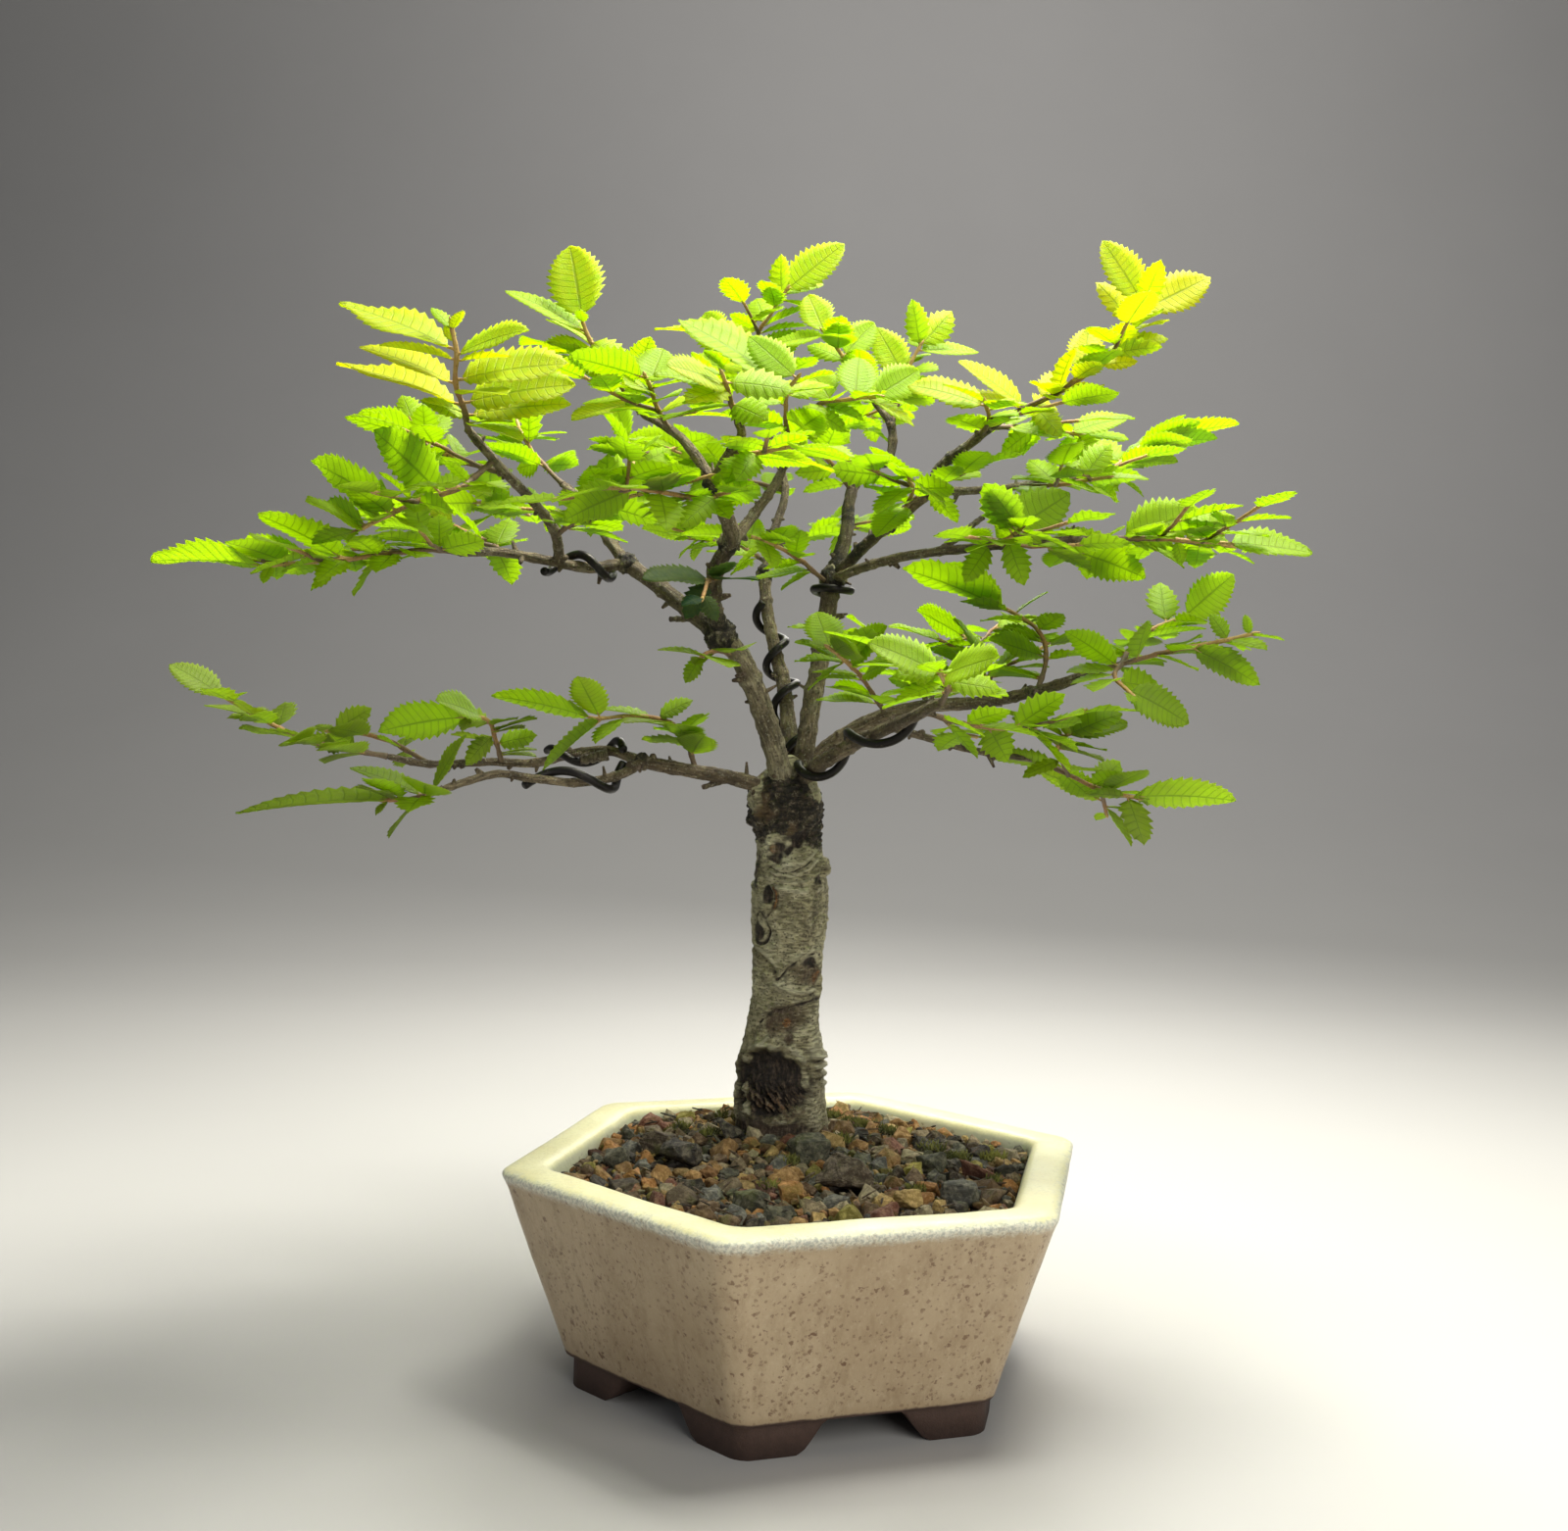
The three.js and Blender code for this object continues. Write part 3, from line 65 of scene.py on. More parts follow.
# The camera stands in front of the tree, a little above the middle of its trunk
VIEW_FROM = Vector((-7.4, -434, 169.3))
VIEW_DOWN = 0.0032
VIEW_ROLL = 0.022
VIEW_LENS = 35.46

# Pot
POT_TURN = math.radians(16.8)
SIDE_BEARINGS = [POT_TURN + math.radians(30 + 60 * k) for k in range(6)]
FLAT = math.cos(math.radians(30))  # from the middle to a side, as a share of the way to a corner
OUTLINE = 85
OUTLINE_ROUND = 8
SIDE_CUTS = 25
POT_PROFILE = [  # radius to a corner, height: from the foot's edge up the wall, over the lip and down inside
    (64.1, 8.6), (65.4, 8.65), (66.4, 8.9), (66.9, 9.4), (67.2, 10.2), (67.9, 12), (69.1, 15.5),
    (70.6, 19.5), (72.0, 23.5), (73.5, 27.5), (74.9, 31.5), (76.4, 35.4), (77.7, 39.2), (79.1, 43),
    (80.5, 46.8), (81.8, 50.4), (82.6, 52.6), (83.2, 54.2), (83.75, 55.4), (84.25, 56.3), (84.65, 57.0),
    (84.85, 57.6), (84.8, 58.1), (84.45, 58.6), (83.8, 59.0), (82.9, 59.3), (81.6, 59.45), (79.5, 59.5),
    (75.6, 59.5), (73.7, 59.35), (72.5, 58.95), (71.7, 58.3), (71.1, 57.3), (70.6, 55.8), (69.6, 52),
    (67.6, 44.5), (65.3, 36.5), (63.0, 28.5), (60.8, 20.5), (60.0, 18.2), (58.6, 17.2), (56.5, 17),
    (40, 17), (20, 17), (7.6, 17), (7.0, 16.4), (7.0, 9.3), (7.6, 8.6), (20, 8.6), (40, 8.6), (50, 8.6),
    (54.5, 8.6), (59.5, 8.6),
]
POT_BASE = 8.6
POT_INSIDE = 70.6
DRAIN_HOLE = 7.0
DRAIN_MOUTH = 7.6
FOOT_INSIDE = 50
FOOT_ARCH = 8.5
FOOT_GAP = (9.5, 18)  # half the arch's width at its top and at its foot

# Soil
SOIL_BOTTOM = 18.6
SOIL_EDGE = 56.0
SOIL_MOUND = 61.8
SOIL_REACH = 58
TRUNK_FOOT = (-6, 25)
BIG_STONES = [  # x, y, half length, tone
    (13, -22, 8.8, 0.70), (-34, -6, 6.6, 0.78), (2, -3, 6.2, 0.62), (41, -33, 5.4, 0.86),
    (49, -9, 5.4, 0.92), (-14, -42, 4.6, 0.62), (-41, 6, 5.4, 0.70), (36, -2, 4.4, 0.64),
    (-52, -4, 4.6, 0.62), (27, -38, 4.2, 0.28), (-22, 12, 4.4, 0.78), (-3, -34, 4.2, 0.05),
]
GRIT_SIZES = [  # how many, smallest and largest length, room a stone needs as a share of its length
    (80, 7.4, 11.0, 0.40), (330, 5.0, 7.4, 0.37), (700, 3.2, 5.0, 0.34), (900, 1.4, 3.2, 0.30),
]
GRIT_SPREAD = 145
GRIT_TRIES = 14
BARK_BITS = 150
MOSS_SPOTS = [  # x, y, spread
    (17, 31, 5), (26, 27, 4), (9, 37, 4), (-21, 33, 5), (38, 15, 4), (45, 7, 3.5), (52, -17, 2.5),
    (-3, -9, 2.5), (-27, 14, 3), (30, -27, 2.5), (-9, -28, 2.5), (55, 8, 4), (-36, 24, 3), (12, 10, 3),
]

# Trunk: height, radius, axis x, axis y
TRUNK = [
    (30, 11.5, -6, 25), (50, 13.5, -6, 25), (60, 13.9, -6, 25), (66, 13.5, -6, 25), (71, 13.1, -6, 24.5),
    (76, 12.8, -6, 24), (81, 12.2, -6, 24), (86, 11.4, -6, 24), (93, 10.5, -5.5, 24), (100, 10.1, -5, 24),
    (107, 10.2, -5, 24), (114, 10.6, -5, 24), (120, 11.1, -5, 23.5), (126, 11.3, -5, 23),
    (131, 11.2, -5, 23), (137, 10.2, -5, 22.5), (143, 9.5, -5.5, 22), (149, 9.6, -6, 22),
    (155, 10.1, -6, 22), (160, 9.8, -6.5, 22), (165, 7.6, -6.5, 22), (169, 4, -6, 22),
]
TRUNK_SIDES = 160
TRUNK_STEP = 0.45
# Scars and knots: height, bearing from +X, half height, half width as an angle, rise of the lip, hollow
KNOTS = [
    (75.0, 246, 10.4, 68, 1.7, 4.2), (104, 318, 4.5, 26, 0.9, 0.9), (92, 285, 3.5, 24, 0.7, 0.6),
    (118, 232, 4, 24, 0.6, 0.9), (129, 250, 3.5, 22, 0.6, 0.8), (138.5, 350, 2.4, 13, 1.5, 0),
    (157, 188, 6, 34, 1.8, 0), (137, 276, 2.5, 24, 0, 0.9),
]
CORK_START = 142
CORK_END = 168
# Marks in the bark: height, bearing, half height, half width as an angle, rise, tone from -1 for pale callus
# to 1 for dark rot, with most sunk marks dark as partly painted shade, and warmth of the wood
BARK_MARKS = [
    (94.6, 274, 4.6, 36, -0.4, 0.34, 0.42), (107.4, 304, 4.2, 36, -0.4, 0.36, 0.42),
    (140.5, 205, 3.2, 16, 0.3, 0.5, 0.2), (62.6, 250, 3.2, 72, -0.4, 0.8, 0.4),
    (161.5, 262, 3.2, 24, 0.2, 0.35, 0.5), (130.8, 236, 2.8, 9, -0.9, 1.0, 0.0),
    (119.8, 216, 3.6, 9, -0.5, 0.8, 0.0), (143.6, 243, 1.5, 7, 0.3, 0.0, 1.0),
    (106.6, 226, 1.1, 6, 0.5, -0.5, 0.0), (110.6, 312, 1.5, 17, -0.9, 1.0, 0.2),
    (106.4, 326, 2.2, 8, 0.5, 0.2, 1.0), (92.6, 252, 3.3, 19, -0.3, 0.45, 0.5),
    (93.4, 273, 1.7, 8, 0.4, 0.1, 1.0), (88.5, 278, 1.7, 8, 0.5, 0.6, 0.5),
    (85.6, 336, 5.2, 27, 0.9, -0.8, 0.0), (159, 268, 3.2, 8, 0.5, 0.0, 0.9),
    (133.6, 205, 2.4, 12, 0.7, 0.7, 0.0), (137.6, 196, 2.2, 10, 0.8, 0.8, 0.0),
    (134.6, 322, 3.0, 11, 0.6, 0.8, 0.0), (137.8, 344, 1.4, 9, 1.0, -0.8, 0.3),
    (101, 150, 4.5, 12, -0.7, 0.8, 0.3), (118, 95, 5.0, 14, -0.6, 0.6, 0.2),
    (84, 60, 6.0, 18, -1.1, 0.9, 0.2), (110, 40, 3.2, 10, -0.5, 0.7, 0.0),
    (126, 130, 3.0, 9, -0.5, 0.6, 0.3), (90, 172, 3.6, 11, -0.4, 0.5, 0.0),
]
# Lines in the bark: width, rise, tone, warmth, and the bearing and height of each point. Raised lines are
# pale and
# sunk lines dark: partly the bark's own colour, partly painted highlight and painted shade
BARK_LINES = [
    (1.8, -1.7, 1.0, 0.0, [(246, 140.2), (262, 141.4), (285, 144), (310, 146.6), (328, 147.8)]),
    (1.7, -1.0, 1.0, 0.0, [(256, 144.4), (276, 146.2), (300, 148)]),
    (0.55, 0.55, -0.9, 0.0, [(236, 139.4), (252, 138.1), (272, 138), (296, 140.4), (330, 144.2)]),
    (0.40, -0.35, 0.7, 0.0, [(238, 138.4), (254, 137.2), (274, 137), (298, 139.2), (332, 142.8)]),
    (0.50, 0.45, -0.8, 0.0, [(236, 137.2), (256, 136.3), (276, 136), (300, 138), (334, 141.4)]),
    (0.40, -0.30, 0.6, 0.0, [(238, 136.2), (258, 135.4), (280, 135.1), (303, 136.8), (335, 140)]),
    (0.45, 0.40, -0.7, 0.0, [(240, 135.3), (262, 134.5), (284, 134.2), (306, 135.6), (336, 138.6)]),
    (0.40, -0.30, 0.7, 0.0, [(247, 134.3), (264, 133.6), (285, 133.1), (310, 133.7), (334, 135.2)]),
    (0.85, 0.50, -1.0, 0.0, [(247, 132.9), (262, 132.3), (285, 131.7), (312, 131.9), (334, 132.8)]),
    (0.80, 0.35, 0.0, 1.0, [(247, 133), (249.5, 130), (247, 126.6)]),
    (0.35, -0.30, 0.6, 0.3, [(247, 126.6), (242, 125.2), (234, 123.8)]),
    (0.50, -0.45, 0.9, 0.0, [(205, 120.4), (210, 124), (221, 125), (233, 122.6), (237, 119.2), (229, 116.4),
                             (215, 115.8), (206, 118), (205, 120.4)]),
    (0.60, 0.35, -0.5, 0.0, [(204, 115), (224, 113.6), (240, 111.2), (250, 109.4)]),
    (0.70, -0.50, 0.6, 0.0, [(204, 113.2), (222, 111.8), (238, 109.4), (247, 107.8)]),
    (0.50, -0.50, 1.0, 0.0, [
        (253, 105.4), (262, 107.4), (275, 109.6), (294, 112), (318, 113), (338, 112.4),
    ]),
    (0.55, 0.50, -0.7, 0.0, [(256, 107), (275, 111), (294, 113.3), (318, 114.2), (338, 113.6)]),
    (0.80, 0.65, -1.0, 0.0, [(253, 104.2), (266, 102.9), (280, 102.3), (300, 102), (322, 102.7)]),
    (0.40, -0.40, 0.6, 0.0, [(256, 102.9), (268, 101.7), (282, 101.1), (300, 100.9), (322, 101.4)]),
    (0.60, 0.45, -0.6, 0.0, [(222, 93.8), (236, 96.2), (250, 97.8), (265, 98.4), (282, 99.4), (306, 100.4)]),
    (0.50, -0.60, 0.9, 0.0, [
        (222, 92.6), (236, 95), (250, 96.6), (265, 97.2), (282, 98.2), (306, 99.4), (334, 100),
    ]),
    (0.40, -0.30, 0.5, 0.0, [(278, 90.6), (290, 91.2), (304, 93), (318, 93.6)]),
    (0.80, 0.80, -0.9, 0.0, [(192, 80.4), (206, 83.4), (222, 85.8), (238, 86.6), (256, 86.3), (274, 86.7),
                             (292, 84.8), (306, 80.8), (314, 76)]),
    (0.55, 0.60, -0.8, 0.0, [(222, 88.4), (232, 86.8), (242, 88.2), (250, 90)]),
    (0.65, 1.1, -1.0, 0.0, [(312, 83.4), (330, 83), (350, 83.6)]),
    (0.45, -0.7, 1.0, 0.0, [(310, 82), (330, 81.6), (352, 82.2)]),
    (0.65, 1.1, -1.0, 0.0, [(313, 80.6), (332, 80.2), (352, 80.7)]),
    (0.45, -0.7, 1.0, 0.0, [(314, 79.2), (332, 78.8), (352, 79.4)]),
    (0.65, 1.0, -1.0, 0.0, [(316, 77.9), (334, 77.5), (350, 78)]),
    (0.45, -0.7, 1.0, 0.0, [(317, 76.5), (334, 76.1), (350, 76.6)]),
    (0.65, 0.9, -0.9, 0.1, [(318, 75.2), (334, 74.8), (347, 75.2)]),
    (0.50, 0.60, -0.9, 0.2, [(194, 74), (204, 71.2), (214, 68.8), (226, 66.6), (238, 65.2)]),
    (0.90, 0.45, -0.4, 0.4, [(244, 65.4), (260, 64.8), (280, 65.6), (300, 68.2)]),
    (0.60, -0.50, 0.5, 0.0, [(70, 96), (100, 94.5), (140, 97), (170, 96.4)]),
    (0.60, 0.40, -0.5, 0.0, [(70, 97.4), (100, 95.8), (140, 98.4), (170, 97.8)]),
    (0.50, -0.45, 0.5, 0.0, [(10, 107), (50, 104.5), (90, 106.5), (120, 105)]),
    (0.50, 0.35, -0.5, 0.0, [(0, 122.4), (40, 121), (80, 123.6), (110, 122)]),
    (0.45, -0.40, 0.6, 0.0, [(0, 121.2), (40, 119.8), (80, 122.4), (110, 120.8)]),
    (0.50, -0.45, 0.5, 0.0, [(120, 113), (150, 112), (180, 114.4), (200, 113.4)]),
    (0.50, 0.40, -0.6, 0.0, [(20, 133), (70, 132), (120, 133.4), (170, 132.6), (200, 131)]),
    (0.50, -0.35, 0.7, 0.0, [(20, 134.4), (70, 133.4), (120, 134.8), (170, 134), (200, 132.4)]),
]

# Limbs: route, radius at the start, radius at the end
LIMBS = {
    "low_left": ([[-7, 21, 157], [-12, 19, 161], [-23, 16, 164], [-36, 12, 166], [-48, 8, 168]], 2.3, 1.9),
    "low_left_back": ([[-48, 8, 168], [-58, 12, 171], [-69, 18, 170], [-81, 22, 167], [-94, 20, 167],
        [-110, 14, 166], [-121, 8, 168]], 1.5, 1.0),
    "low_left_front": ([[-48, 8, 168], [-54, -2, 164], [-64, -10, 162], [-75, -18, 163], [-84, -24, 164],
        [-95, -37, 160]], 1.4, 0.95),
    "left_rise": ([[-7, 20, 156], [-8, 17, 164], [-11, 12, 175], [-16, 6, 189], [-21, 2, 199],
        [-26, 0, 204]], 3.5, 2.95),
    "left_reach": ([[-26, 0, 204], [-35, 4, 211], [-44, 8, 218], [-54, 10, 225]], 2.5, 2.15),
    "left_flat": ([[-54, 10, 225], [-64, 6, 223], [-75, 0, 224], [-87, -8, 225],
        [-95, -20, 223]], 1.7, 1.1),
    "left_lift": ([[-54, 10, 225], [-61, 14, 234], [-67, 20, 243], [-75, 26, 250]], 1.7, 1.2),
    "left_fore": ([[-72, 2, 224], [-72, -8, 231], [-76, -20, 237], [-82, -34, 243],
        [-88, -48, 250]], 1.5, 1.1),
    "left_stem": ([[-26, 0, 204], [-28, -6, 213], [-27, -10, 222], [-23, -14, 229], [-25, -20, 236],
        [-28, -24, 242]], 2.4, 2.0),
    "stem_left_fork": ([[-28, -24, 242], [-32, -22, 249], [-38, -20, 256], [-48, -18, 262]], 1.6, 1.0),
    "stem_front_fork": ([[-28, -24, 242], [-24, -34, 247], [-20, -44, 251], [-21, -50, 254]], 1.7, 1.1),
    "stem_right_fork": ([[-23, -14, 228], [-17, -4, 238], [-11, 6, 249], [-8, 14, 259],
        [-4, 20, 269]], 1.6, 1.0),
    "back_rise": ([[-5, 25, 157], [-3, 34, 166], [-6, 44, 179], [-8, 52, 193], [-11, 56, 204],
        [-14, 60, 218], [-15, 64, 229]], 2.7, 1.8),
    "back_top": ([[-15, 64, 229], [-12, 70, 245], [-9, 74, 258], [-13, 80, 274],
        [-17, 84, 289]], 1.6, 0.95),
    "right_rise": ([[-5, 23, 156], [-2, 25, 167], [0, 28, 183], [3, 30, 201], [5, 30, 217],
        [6, 30, 224]], 2.95, 2.65),
    "right_top": ([[6, 30, 224], [10, 36, 239], [11, 42, 250], [15, 46, 261], [23, 50, 264], [24, 52, 275],
        [18, 54, 284]], 2.3, 1.1),
    "right_up": ([[6, 30, 224], [16, 20, 234], [26, 14, 242], [33, 10, 248], [35, 8, 254], [43, 4, 260],
        [52, 0, 267]], 1.9, 1.25),
    "right_flat": ([[6, 30, 224], [15, 14, 226], [27, 2, 228], [43, -8, 229], [60, -16, 230],
        [77, -22, 230]], 1.5, 1.1),
    "right_side": ([[33, 10, 248], [44, 22, 250], [60, 30, 253], [73, 36, 257]], 1.4, 0.9),
    "low_right_front": ([[-5, 20, 158], [-1, 16, 165], [5, 4, 170], [15, -14, 176], [25, -32, 181],
        [32, -46, 185]], 2.4, 1.4),
    "low_right_back": ([[-4, 24, 159], [1, 27, 169], [10, 27, 177], [21, 24, 183], [34, 16, 186],
        [48, 4, 187], [62, -8, 190], [76, -18, 195]], 2.5, 1.35),
    "low_right_under": ([[20, -22, 179], [33, -12, 176], [47, -4, 173], [65, 4, 171]], 1.1, 0.9),
}
# Swellings where limbs part, and short stubs left by pruning
KNUCKLES = [
    (-26, 0, 204, 4.4), (6, 30, 224, 4.1), (-54, 10, 225, 3.2), (-28, -24, 242, 2.7),
    (-48, 8, 168, 2.5), (33, 10, 248, 2.7), (-15, 64, 229, 3), (-24, -13, 228, 3),
]
STUBS = [
    ((-58, 10, 170), (-66, 9, 168), 1.5), ((-27, -6, 213), (-32, -8, 216), 1.4),
    ((-33, 3, 209), (-40, -3, 208), 0.9), ((23, 16, 240), (22, 9, 236), 1.2),
    ((34, -3, 228), (47, 1, 239), 1.0), ((-22, 17, 164), (-31, 14, 161), 0.9),
    ((60, -8, 190), (60, -18, 189), 1.3),
]

# Training wire: limb, its two ends as shares of the limb, turns, start bearing
WIRE = 1.25
WIRE_ROOM = WIRE + 0.3 + 0.35
WIRE_STEPS = 9
WIRES = {
    "wire_low_left_front": ("low_left_front", 0.08, 0.62, 1.25, 150),
    "wire_low_left_back": ("low_left_back", 0.08, 0.45, 1.25, 30),
    "wire_left": ("left_flat", 0.06, 0.52, 1.25, 200),
    "wire_back": ("back_rise", 0.2, 0.84, 3.25, 0),
    "wire_low_right": ("low_right_front", 0.2, 0.78, 1.75, 90),
    "wire_right": ("right_rise", 0.86, 0.97, 1, 200),
}


def shown(name, limb, route, held, forks=()):
    """A shoot with the leaves that the front view shows. Each is held as the share of the shoot at its foot,
    the place of its tip and its lean. A fork has the point of the route where it starts, its own route and
    its own leaves."""
    return {"name": name, "limb": limb, "route": route, "held": held, "forks": forks}


def ruled(name, limb, leaves, length, lean, route):
    """A shoot with leaves by rule: how many, the longest blade, and how far they face from sky to front."""
    return {"name": name, "limb": limb, "route": route, "leaves": leaves, "length": length, "lean": lean}


